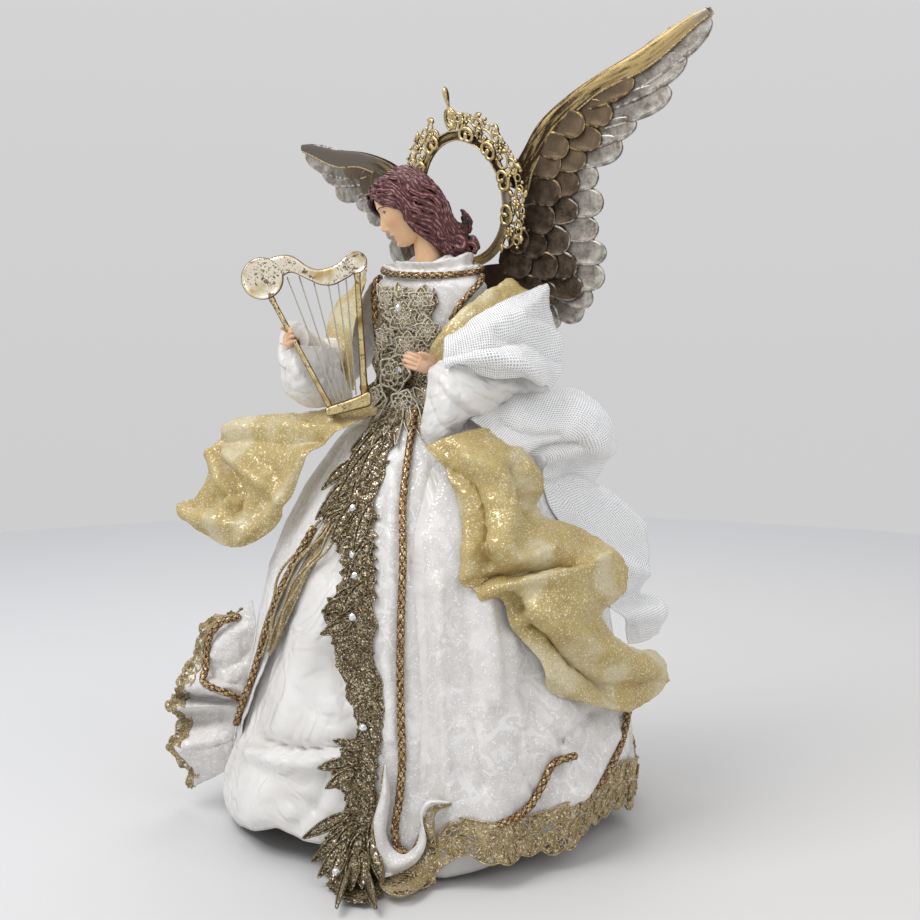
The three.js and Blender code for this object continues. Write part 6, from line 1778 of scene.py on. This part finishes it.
def on_wings(places):
    """World place of (u to the angel's left, w up, y back) in the wing unit's own frame."""
    u, w, y = np.moveaxis(np.asarray(places, float), -1, 0)
    back, up = y * math.cos(LEAN) - w * math.sin(LEAN), y * math.sin(LEAN) + w * math.cos(LEAN)
    return join(u * math.cos(ROLL) - up * math.sin(ROLL), back,
                u * math.sin(ROLL) + up * math.cos(ROLL)) + WINGS_AT


def sweep(u):
    """The wing's backward sweep: 35 mm at its tip, growing evenly from the flat middle."""
    return 35 * np.maximum(0, np.abs(u) - 10) / 150


def swept(places):
    """Places of a flat wing, swept back."""
    u = places[..., 0]
    return places + join(0 * u, 0 * u, sweep(u))


def wing_place(pixels):
    """(u, w) in the near wing's own frame of what pixels of the photograph show: the depth is
    corrected by the distance that is still missing from the swept plane, twelve times."""
    pixels = np.asarray(pixels, float)
    near = np.full(pixels.shape[:-1], -40.0)
    for _ in range(12):
        here = seen(join(pixels[..., 0], pixels[..., 1], near)) - WINGS_AT
        x, back, z = np.moveaxis(here, -1, 0)
        u, up = x * math.cos(ROLL) + z * math.sin(ROLL), z * math.cos(ROLL) - x * math.sin(ROLL)
        w, y = up * math.cos(LEAN) - back * math.sin(LEAN), back * math.cos(LEAN) + up * math.sin(LEAN)
        near = near + (y - sweep(u)) / 0.86
    return join(u, w)


def spoon(rows=24, columns=19, fill=0.78):
    """A feather of length, half width and depth 1: (t, width(t) s, height(t, s)).

    width grows from fill at the root and closes in a round tip. The floor is hollow, the
    rim stands up, and beyond it the edge turns down."""
    t, s = crossed(np.sin(np.linspace(0, np.pi / 2, rows)), np.linspace(-1, 1, columns))
    wide = (fill + (1 - fill) * smooth(t, 0, .6)) * np.sqrt(np.clip(
        1 - np.maximum(0, (t - .6) / .401)**2.2 - 0.9 * np.maximum(0, 1 - t / .2)**2, 0, 1))
    edge = np.maximum(np.abs(s), smooth(t, 0.45, 1.02))
    height = 1.5 * edge**2.6 - 0.5 - 1.5 * smooth(edge, 0.88, 1.0)
    return join(t, wide * s, height), edge


# %% Feathers of a wing
LEADING = [(30, 48), (44, 62), (59, 76), (86, 88), (118, 96.5), (146, 105.5), (157.5, 107.8)]
UNDER = [(42, 40), (50, 53), (67, 68), (93, 81), (122, 87), (150, 100), (159, 104)]
OUTER = [  # root x, y, tip x, y, half width, in pixels
    (602, 98, 711, 19, 15), (592, 106, 686, 57, 14), (590, 122, 671, 91, 13), (580, 144, 636, 122, 10),
    (570, 160, 622, 144, 13), (560, 180, 598, 175, 12), (558, 204, 603, 202, 13),
    (556, 228, 598, 229, 12), (554, 248, 606, 254, 12), (552, 266, 604, 280, 14),
    (554, 286, 592, 302, 11), (552, 302, 583, 315, 12), (534, 292, 557, 328, 10)]
MIDDLE = [
    (590, 98, 636, 80, 11), (585, 110, 614, 116, 12), (570, 134, 603, 141, 12),
    (552, 154, 588, 161, 13), (548, 180, 581, 185, 13), (546, 207, 580, 212, 13),
    (538, 236, 572, 243, 14), (547, 260, 579, 269, 13), (549, 281, 585, 290, 13),
    (530, 284, 560, 298, 12)]
INNER = [
    (557, 119, 588, 127, 12), (541, 141, 572, 149, 12), (535, 161, 564, 167, 13),
    (534, 188, 564, 194, 13), (529, 215, 558, 221, 14), (520, 240, 550, 247, 13),
    (530, 261, 561, 268, 13), (504, 258, 535, 266, 14), (516, 282, 548, 292, 12),
    (512, 238, 532, 242, 12)]


def wing_forms(side, face):
    """Spoons and the leading strip of one face of a wing, in millimetres in the world.

    side is 1 for the near wing and -1 for the far one; face is -1 in front, 1 behind."""
    rows = np.array(OUTER + MIDDLE + INNER, float)
    layer = np.repeat([0.0, 1, 2], [len(OUTER), len(MIDDLE), len(INNER)])
    root, tip = wing_place(rows[:, :2]), wing_place(rows[:, 2:4])
    root = root - np.choose(layer.astype(int), [0, 0.45, 0.12])[:, None] * (tip - root)
    length = np.linalg.norm(tip - root, axis=1)
    ahead = np.column_stack([(tip - root) / length[:, None], 0 * length])
    shape, edge = spoon()
    across = np.column_stack([-ahead[:, 1], ahead[:, 0], 0 * length])
    local = (np.column_stack([root, 0 * length])[:, None, None]
             + shape[..., 0, None] * (ahead * length[:, None])[:, None, None]
             + shape[..., 1, None] * (across * rows[:, 4, None] * 0.62)[:, None, None])
    t, aside, hollow = np.moveaxis(shape, -1, 0)
    lift = (0.3 + 1.3 * layer)[:, None, None] * (0.25 + 0.75 * smooth(t, 0, 0.45))
    lift = lift + smooth(t, 0.15, 0.75) * (0.5 + 0.9 * hollow) - 0.55 * aside * smooth(t, 0.05, 0.4)
    local[..., 2] = -lift if face < 0 else 0.7 + 0.35 * lift
    t, s = even(90), even(17)
    top, low = spline(LEADING, t), spline(UNDER, t)
    strip = top[:, None] + (low - top)[:, None] * s[:, None]
    height = 1.3 + (2.6 - 1.6 * t[:, None]) * np.sin(np.pi * s)**0.5
    strip = np.concatenate([strip, (-height if face < 0 else 0.9 + height * 0.5)[..., None]], -1)
    rib = np.column_stack([spline(UNDER, t * 0.97), 0 * t + (-1.9 if face < 0 else 1.6)])
    forms = [local, strip[None], rib]
    for form in forms:
        form[..., 0] *= side
    return [on_wings(swept(f)) for f in forms], layer[:, None, None]


PLATE = [(27, 6), (46, 60), (60, 74), (86, 86), (118, 94), (146, 103.5), (154, 106), (150, 101),
         (120, 82), (90, 62), (72, 44), (64, 26), (62, 4), (54, -14), (42, -22), (28, -12)]


def plate_form(side):
    """The wing's plain inner plate as a closed slab: its outline scaled towards a middle line."""
    outline = spline(PLATE + PLATE[:1], even(120))
    spine = spline([(36, 0), (48, 30), (62, 55), (100, 80), (150, 100)], even(120))
    nearest = np.argmin(np.linalg.norm(outline[:, None] - spine[None], axis=-1), axis=1)
    middle = spine[nearest] + (outline - spine[nearest]) * 0.04
    slab = np.stack([np.column_stack([p, np.full(len(p), y)]) for p, y in
                     [(middle, -0.2), (outline, -0.2), (outline, 0.6), (middle, 0.6)]])
    slab[..., 0] *= side
    return on_wings(swept(slab))


def feather_finish(place, uv, root):
    """Antique bronze in the hollows, with painted shade darkening them towards their roots under
    the row above, silver in the outer row, and rims worn to pale gold in patches.
    Each point knows its row: 0 outside, 2 inside."""
    u, v = part(uv, 0), part(uv, 1)
    row = root.node("Attribute", {}, {"attribute_name": "row"}, 2)
    streak, grain = noise(place, 150, 4, 0.65), noise(place, 800, 3, 0.7)
    rim = (abs(u - 0.5) * 2).most(v).between(0.80, 0.90)
    worn = rim * noise(place, 260, 3).between(0.44, 0.56)
    high = part(place, 2).between(0.335, 0.375)
    hollow = mix(streak.between(0.3, 0.7), "33281F", "71604F")
    hollow = mix(high * 0.6, hollow, "8A765C")
    silver = mix((streak + grain * 0.4).between(0.4, 1.0), "7A6F62", "D8D3CA")
    body = mix(row.between(0.3, 0.9, 1, 0), hollow, silver)
    # painted shade: each feather darkens towards its root, under the row above
    body = mix(v.between(0.25, 0.75, 0.45, 0), body, "241B15")
    worn_rim = mix(row * 0.5, "D9D4CB", "8C7B67")
    edge = mix(high * row.between(0.2, 0.8), worn_rim, "BFA76F")
    scratch = (grain - 0.64).between(0, 0.05) * 0.35
    return {"Base_Color": mix(worn.most(scratch), body, edge),
            "Roughness": 0.40 + grain * 0.15 - worn * 0.08,
            "Metallic": 0.75,
            "Normal": bump(grain * 0.4 + streak * 0.6, 0.4, 0.0006)}


def strip_finish(gold="C9B07A", tip="A59B89", tip_from=0.86):
    """The leading strip: smooth bronze, rubbed to gold in patches, grey towards its tip."""
    def recipe(place, uv, root):
        v = part(uv, 1)
        long = place.node("VectorMath", {0: uv, 1: (6, 9, 1)}, {"operation": "MULTIPLY"})
        marks, grain = noise(long, 1, 4, 0.65, 0.6), noise(place, 900, 3, 0.7)
        rubbed = (marks + grain * 0.25 + v * 0.4).between(0.66, 0.96)
        tone = mix(rubbed, "3D2D1F", gold)
        tone = mix((v + marks * 0.2).between(tip_from, tip_from + 0.2), tone, tip)
        return {"Base_Color": tone, "Roughness": 0.36 + grain * 0.16, "Metallic": 0.8,
                "Normal": bump(marks * 0.5 + grain * 0.4, 0.35, 0.0005)}
    return recipe


feather_metal = finish("antique feather metal", feather_finish)
strip_metal = finish("rubbed bronze of the leading strip", strip_finish())
# painted shade: the far wing's strip is a darker copy of the near strip's bronze, with duller gold and more
# grey
shaded_far_strip_metal = finish("grey bronze of the far strip", strip_finish("A08A58", "736B60", 0.4))
rib_gold = finish("gold rib", thread_finish("7A6236", "D8C08A"))
for side, name, node in ((1, "near", "wing_left"), (-1, "far", "wing_right")):
    faces = [wing_forms(side, face_side) for face_side in (-1, 1)]
    add(f"wing_{name}_feathers", [forms[0] for forms, _ in faces], feather_metal, "wing", [node],
        outwards=False, marks={"row": [row for _, row in faces]}, body="wing_unit", thick=0.5, offset=0)
    add(f"wing_{name}_strip", [forms[1] for forms, _ in faces], strip_metal if side > 0 else shaded_far_strip_metal,
        "wing", outwards=False, body="wing_unit", thick=0.4, offset=0)
    ribs = [tube(forms[2], 0.6, [0, -1.0, 0], 8) for forms, _ in faces]
    twine(f"wing_{name}_rib", ribs, rib_gold, "wing", body="wing_unit")
    add(f"wing_{name}_plate", plate_form(side), feather_metal, "wing", marks={"row": [2.0]},
        body="wing_unit")

# %% [markdown]
# ## Halo
# The halo is a pierced casting: a smooth inner ring, C-shaped scrolls and leaves round it,
# small roses between them and a spike above. Scrolls are tubes whose paths curl up at both
# ends. They are drawn once in the halo's plane and turned to their places round the ring.

# %% Halo
HALO_AT, HALO_WIDE, HALO_HIGH = np.array([2, 45, -1.5]), 29, 32


def on_halo(angle, out, lift=0.0):
    """A place in the wing unit's frame: out from the halo's inner rim at an angle, lift in front."""
    a = np.radians(angle)
    return join(HALO_AT[0] + (HALO_WIDE + out) * np.cos(a), HALO_AT[1] + (HALO_HIGH + out) * np.sin(a),
                HALO_AT[2] - lift + 0 * a)


def scroll_path(angle, size, hand, out, count=46):
    """A C scroll: it leaves the ring, swells outwards and rolls up at both of its ends."""
    t = np.linspace(-1, 1, count)
    curl_up = np.abs(t)**2.2
    bend = t * 2.5 + np.sign(t) * curl_up * 2.9
    radius = size * (1 - 0.62 * curl_up)
    across, away = radius * np.sin(bend) + size * 0.5 * t, radius * np.cos(bend) * 0.8
    return on_halo(angle + hand * np.degrees(across / 38), out + away, 0.6 + 0.5 * np.abs(t))


def halo_forms():
    """Ring, scrolls, leaves, roses and small rings, all as closed grids in the world."""
    around = np.linspace(0, 360, 181)
    ring = on_halo(around, 3.0)
    towards = unit(ring - HALO_AT)
    a = circle(15)
    bead = 1 + 0.12 * np.abs(np.sin(np.radians(around * 12)))[:, None]
    band = (ring[:, None] + (2.8 * np.cos(a))[..., None] * towards[:, None]
            + ((1.2 * bead * np.sin(a))[..., None]) * np.array([0, 0, -1.0]))
    forms = []
    scrolls, front = [], np.array([0, -1.0, 0])
    for k, angle in enumerate(np.arange(-42, 223, 22.0)):
        if 78 < angle < 102:
            continue
        scrolls.append(scroll_path(angle, 5.4, 1 if k % 2 else -1, 7.5))
        scrolls.append(scroll_path(angle + 11, 3.4, -1 if k % 2 else 1, 12.2))
    big = [scroll_path(angle, 4.8, hand, 3.8) for angle, hand in
           ((66, 1), (114, -1), (36, 1), (144, -1), (6, 1), (174, -1), (-24, 1), (204, -1))]
    world = on_wings(np.stack(scrolls))
    forms += [tube(world, 0.8, front, 8), tube(on_wings(np.stack(big)) + front * 1.2, 1.15, front, 10)]
    leaf_at = np.arange(-50.0, 232, 8)
    leaf_at = leaf_at[(leaf_at < 84) | (leaf_at > 96)]
    outs = 4.5 + 5.0 * (np.arange(len(leaf_at)) % 3)
    here = on_wings(on_halo(leaf_at, outs, 1.0))
    leaning = leaf_at + np.where(np.arange(len(leaf_at)) % 2, 6, -6)
    ahead = on_wings(on_halo(leaning, outs + 4, 1.0)) - here
    sizes = np.tile([6.2, 1.9, 1.1], (len(leaf_at), 1))
    forms += petals(here, frames(here, ahead, front), sizes)
    rose_at = np.array([-36., -14, 8, 30, 52, 70, 110, 128, 150, 172, 194, 216])
    rose_here = on_wings(on_halo(rose_at, 8.0 + 2.5 * (np.arange(12) % 2), 2.0))
    forms += petals(*flower_set(rose_here, front, [1.0, 0, 0], 3.4, 6, 0.42), rows=5, columns=4)
    forms.append(beads(rose_here + front * 0.8, 0.9))
    edge_at = np.arange(-44.0, 226, 7.4)
    edge_at = edge_at[(edge_at < 82) | (edge_at > 98)]
    forms.append(beads(on_wings(on_halo(edge_at, 15.5 + 1.2 * np.sin(edge_at), 0.6)), 1.15))
    a = circle(17)
    rings = on_halo(edge_at[:, None] + 3.7 + np.degrees(1.9 * np.cos(a) / 45), 13.6 + 1.9 * np.sin(a), 0.8)
    forms.append(tube(on_wings(rings), 0.55, front, 6))
    edges = [on_wings(on_halo(around, out, 1.3)) for out in (0.5, 5.6)]
    forms += [tube(path, 0.45, front, 6) for path in edges]
    return forms, on_wings(band)


def finial_forms():
    """The spike above the ring: a turned profile, with two scrolls and a leaf at its foot."""
    profile = np.array([[.2, 0], [1, .02], [.9, .12], [.4, .2], [1, .36], [.42, .5], [.85, .74],
                        [.95, .84], [.7, .94], [.02, 1]])
    t, a = crossed(even(40), circle(21))
    radius, height = spline(profile, t[:, 0]).T
    middle = HALO_AT + [3, HALO_HIGH + 6.3, 0]
    turned_spike = middle + join(1.9 * radius[:, None] * np.cos(a), 24 * height[:, None] + 0 * a,
                                 1.9 * radius[:, None] * np.sin(a))
    t = even(40)
    loops = []
    for hand in (-1, 1):
        a = np.pi * (0.1 + 1.75 * t)
        loops.append(middle + join(hand * (3.4 * np.sin(a) + .5), 6 - 6.5 * np.cos(a) * (1 - .3 * t),
                                   -0.6 + 0 * t))
    return [on_wings(turned_spike), tube(on_wings(np.stack(loops)), 0.7, [0, -1.0, 0], 8)]


def halo_finish(place, uv, root):
    """Antique gold with brown patina in patches, and painted light: faces turned to the front or back are
    painted brighter gold than the edges.
    """
    patina = noise(place, 210, 3, 0.65)
    grain = noise(place, 1400, 2)
    # painted light: faces turned to the front or back are made brighter gold
    front = abs(part(root.node("NewGeometry", {}, out=1), 1))
    worn = (patina * 1.1 + front * 0.35 + grain * 0.3).between(0.7, 1.02)
    tone = mix(worn, "3A281A", "D6C08C")
    return {"Base_Color": mix(grain.between(0.6, 0.7) * worn, tone, "EFE0B8"),
            "Roughness": 0.46 - worn * 0.14, "Metallic": 0.85,
            "Normal": bump(patina + grain * 0.5, 0.4, 0.0005)}


halo_gold = finish("antique halo gold", halo_finish)
ring_bronze = finish("bronze of the halo's ring", strip_finish())
halo_work, halo_band = halo_forms()
add("halo_filigree", halo_work, halo_gold, "halo", ["halo"], body="wing_unit")
add("halo_ring", halo_band, ring_bronze, "halo", body="wing_unit")
add("halo_spike", finial_forms(), halo_gold, "halo", ["halo_finial"], body="wing_unit")

# %% [markdown]
# ## Harp
# The harp is cast and gilded with leaf that has worn to dark specks. Its neck is one bar that
# swells from the big disc through an S to the small scroll, so it is a spline outline made
# thick, with rounded edges. The pillar, column and base are turned or bar shapes.

# %% Harp
HARP_X, HARP_UP = np.array([1, 1, 0]) / math.sqrt(2), np.array([0, 0, 1.0])
HARP_FACE = np.array([1, -1, 0]) / math.sqrt(2)
HARP_AT, HARP_HIGH = np.array([-14.5, -65, 268]), 85


def on_harp(places, lift=0.0):
    """World place of shares of the harp's height in its own upright plane."""
    places = np.asarray(places, float)
    return (HARP_AT + HARP_HIGH * (places[..., :1] * HARP_X + places[..., 1:2] * HARP_UP)
            + np.asarray(lift)[..., None] * HARP_FACE)


def bar(upper, lower, thickness, count=80):
    """A bar between two edges: rings round the section, with a superellipse's round corners."""
    t = even(count)
    top, low = spline(upper, t), spline(lower, t)
    middle, half = (top + low) / 2, (top - low) / 2
    a = circle(25)
    corner = lambda x: np.sign(x) * np.abs(x)**0.55
    close = np.sqrt(np.clip(1 - (2 * t - 1)**24, 0, 1))[:, None]
    places = middle[:, None] + half[:, None] * (corner(np.cos(a)) * close)[..., None]
    return on_harp(places, thickness / 2 * corner(np.sin(a)) * close)


def round_plate(middle, radius, thickness):
    """A disc with a rolled rim and a shallow dish, as rings of one profile."""
    profile = np.array([[0, .3], [.6, .34], [.82, .42], [.93, .5], [1, .3], [1, -.3], [.93, -.5],
                        [.82, -.42], [.6, -.34], [0, -.3]])
    r, lift = spline(profile, even(30)).T
    a = circle(49)
    reach = np.clip(r, 0, 1) * radius / HARP_HIGH
    places = np.array(middle) + reach[:, None, None] * join(np.cos(a), np.sin(a))
    return on_harp(places, (lift * thickness)[:, None] + 0 * a)


def rod_form(ends, radii, ridges=0.0):
    """A round rod between two places; ridges turn it into a column with rings."""
    t = even(60)
    path = on_harp(np.array(ends[0]) + (np.array(ends[1]) - np.array(ends[0])) * t[:, None])
    girth = np.interp(t, [0, 1], radii) * (1 + ridges * bell(t, .06, .02) + ridges * bell(t, .94, .02))
    return tube(path, girth, HARP_FACE, 14)


def gilt_finish(low, high):
    """Gold leaf on the harp's faces, with dark worn specks and patches, and painted shade on
    the edges: faces turned away from the harp's flat sides are painted brown."""
    def recipe(place, uv, root):
        cloud, grain = noise(place, 110, 2), noise(place, 1500, 2)
        specks = noise(place, 900, 3, 0.7)
        worn = (specks + cloud * 0.4).between(0.77, 0.86)
        worn = worn.most(noise(place, 210, 4, 0.7).between(0.58, 0.64)) * 0.9
        # painted shade: edges turned away from the harp's flat faces get the brown tone
        normal = root.node("NewGeometry", {}, out=1)
        front = (abs(part(normal, 0) - part(normal, 1)) * 0.71).between(0.45, 0.95)
        leaf = mix(front, "5F4119", mix(cloud.between(0.25, 0.55), low, high))
        return {"Base_Color": mix(worn, leaf, "5A3E1E"),
                "Roughness": 0.3 + worn * 0.3 + grain * 0.08, "Metallic": 0.85 - worn * 0.3,
                "Normal": bump(specks * 0.5 - worn * 0.5, 0.3, 0.0004)}
    return recipe


gilt = finish("worn champagne gilt", gilt_finish("D2B173", "FFF6DF"))
old_gilt = finish("browned gilt", gilt_finish("8F6C34", "E3CF9A"))
NECK_TOP = [(-.40, .45), (-.33, .505), (-.212, .522), (-.109, .459), (-.046, .436), (.018, .444),
            (.081, .472), (.13, .515), (.19, .545)]
NECK_LOW = [(-.40, .36), (-.30, .37), (-.212, .414), (-.148, .395), (-.085, .364), (-.021, .339),
            (.055, .339), (.131, .376), (.2, .415)]
add("harp_crown",
    [bar(NECK_TOP, NECK_LOW, 5.0), round_plate((-.382, .379), 11, 6.0),
     round_plate((.195, .479), 5.8, 6.0)],
    gilt, "gold", ["harp_neck"])
BASE_TOP = [(-.005, -.425), (.03, -.405), (.12, -.375), (.2, -.345), (.262, -.315), (.285, -.33)]
BASE_LOW = [(.0, -.455), (.03, -.472), (.11, -.452), (.19, -.432), (.26, -.415), (.285, -.40)]
add("harp_foot", bar(BASE_TOP, BASE_LOW, 7.0), old_gilt, "gold", ["harp_base"])
PILLAR, COLUMN = [(-.345, .29), (.031, -.424)], [(.199, .45), (.242, -.341)]
add("harp_front_pillar", rod_form(PILLAR, [1.35, 1.45], .25), old_gilt, "gold", ["harp_pillar"])
add("harp_back_column", rod_form(COLUMN, [1.5, 2.0], .3), old_gilt, "gold", ["harp_column"])

# %% [markdown]
# ## Rhinestones
# A rhinestone is a foil-backed glass drop: a flat table with eight facets round it. Its faces
# stay flat, because the facets are what make it flash.

# %% Rhinestones
def stone(middle, ahead, radius=2.2):
    """Rings of eight corners: foot, girdle and table, each turned by half a facet."""
    rings = [(0, 0, 0), (1.0, 0.1, 0), (1.0, .35, 0), (.78, .75, .5), (.5, 1.0, 0), (0, 1.0, 0)]
    direction = frames(middle, [0, 0, 1.0], ahead)
    corners = []
    for r, h, shift in rings:
        a = (np.arange(9) + shift) * np.pi / 4
        turned_by = np.cos(a)[:, None] * direction[0] + np.sin(a)[:, None] * direction[1]
        corners.append(middle + radius * r * turned_by + 1.8 * h * direction[2])
    return np.stack(corners)


def stone_finish(place, uv, root):
    """Mirror foil seen through clear glass, with a slight grey change from facet to facet."""
    shade = noise(place, 700, 1)
    return {"Base_Color": mix(shade, "BFC4CA", "FFFFFF"), "Roughness": shade * 0.06 + 0.03,
            "Metallic": 0.85, "Normal": bump(shade, 0.05, 0.0001)}


rhinestone = finish("rhinestone", stone_finish, Coat_Weight=1.0)
STONES = [(12, .776), (17, .683), (20, .555), (24, .05), (19, .64), (26, .33)]
settings = []
for degrees, share in STONES:
    z = share * HEIGHT
    settings.append((polar(degrees, lace_radius(degrees, z) + 2.0 + 5 * (share < 0.1), z), heading(degrees)))
settings += [(FLOWER + heading(8.0) * 6.0, heading(8.0)), (on_torso(4.0, .72, 4.6), heading(4.0))]
for number, (middle, ahead) in enumerate(settings, 1):
    piece = mesh_piece(f"stone_{number}", stone(middle, ahead))
    piece.data.shade_flat()
    dress(piece, rhinestone, "crystal", [f"crystal_{number}"])

# %% [markdown]
# ## What the cloths hide
# The pad, the board, the post, the card cone, the torso core, the arm wires, the wings' bridge
# and socket and the harp's strings keep their CAD shape: they are plain sawn, rolled or drawn
# stock, and only their material shows. Each gets a finish with its own grain.

# %% Felt, wood, card, core and wire
def stock(name, dark, pale, grain, stretch=(1, 1, 1), depth=0.3, **fixed):
    """A finish of plain stock: two tones by noise stretched along its grain."""
    def recipe(place, uv, root):
        long = place.node("VectorMath", {0: place, 1: stretch}, {"operation": "MULTIPLY"})
        fibre, fine = noise(long, grain, 4, 0.6, 0.4), noise(long, grain * 6, 2)
        return {"Base_Color": mix(fibre * 0.75 + fine * 0.25, dark, pale),
                "Roughness": fine * 0.2 + fixed.get("Roughness", 0.6) - 0.1,
                "Normal": bump(fibre * 0.5 + fine, depth, 0.0004)}
    return finish(name, recipe, **fixed)


KEPT = [  # nodes, finish
    (["felt_pad"], stock("green felt", "2C3B30", "4C6150", 900, Roughness=0.95)),
    (["base_board"], stock("pressed board", "8C6B47", "B9966B", 120, (1, 6, 6), Roughness=0.7)),
    (["spine_dowel"], stock("turned dowel", "A5814F", "CFB07C", 160, (8, 8, 1), Roughness=0.6)),
    (["skirt_cone"], stock("grey card", "A79F92", "C9C2B4", 260, Roughness=0.85)),
    (["torso_core"], stock("moulded core", "B9AFA0", "D8D0C3", 140, Roughness=0.8)),
    (["arm_wire_left", "arm_wire_right"],
     stock("galvanised wire", "6E7072", "A2A4A6", 500, Metallic=0.9, Roughness=0.45)),
    (["wing_bridge", "wing_socket"],
     stock("dark bronze", "33281F", "5E4B3A", 220, Metallic=0.8, Roughness=0.45)),
    ([f"harp_string_{k}" for k in range(1, 7)],
     stock("silver string", "A9A294", "DAD6CB", 1200, Metallic=0.9, Roughness=0.35))]
for names, material in KEPT:
    for name in names:
        nodes[name].data.materials.clear()
        nodes[name].data.materials.append(material)
    print(material.name, "on", ", ".join(names))

# %% [markdown]
# ## Close
# The CAD model's box and the visual model's box are printed side by side.

# %% Sizes and finish
seen_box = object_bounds()
for name, low, high, seen_low, seen_high in zip("xyz", *cad_box, *seen_box):
    print(f"{name}: CAD {low:.4f} to {high:.4f}, visual {seen_low:.4f} to {seen_high:.4f}")
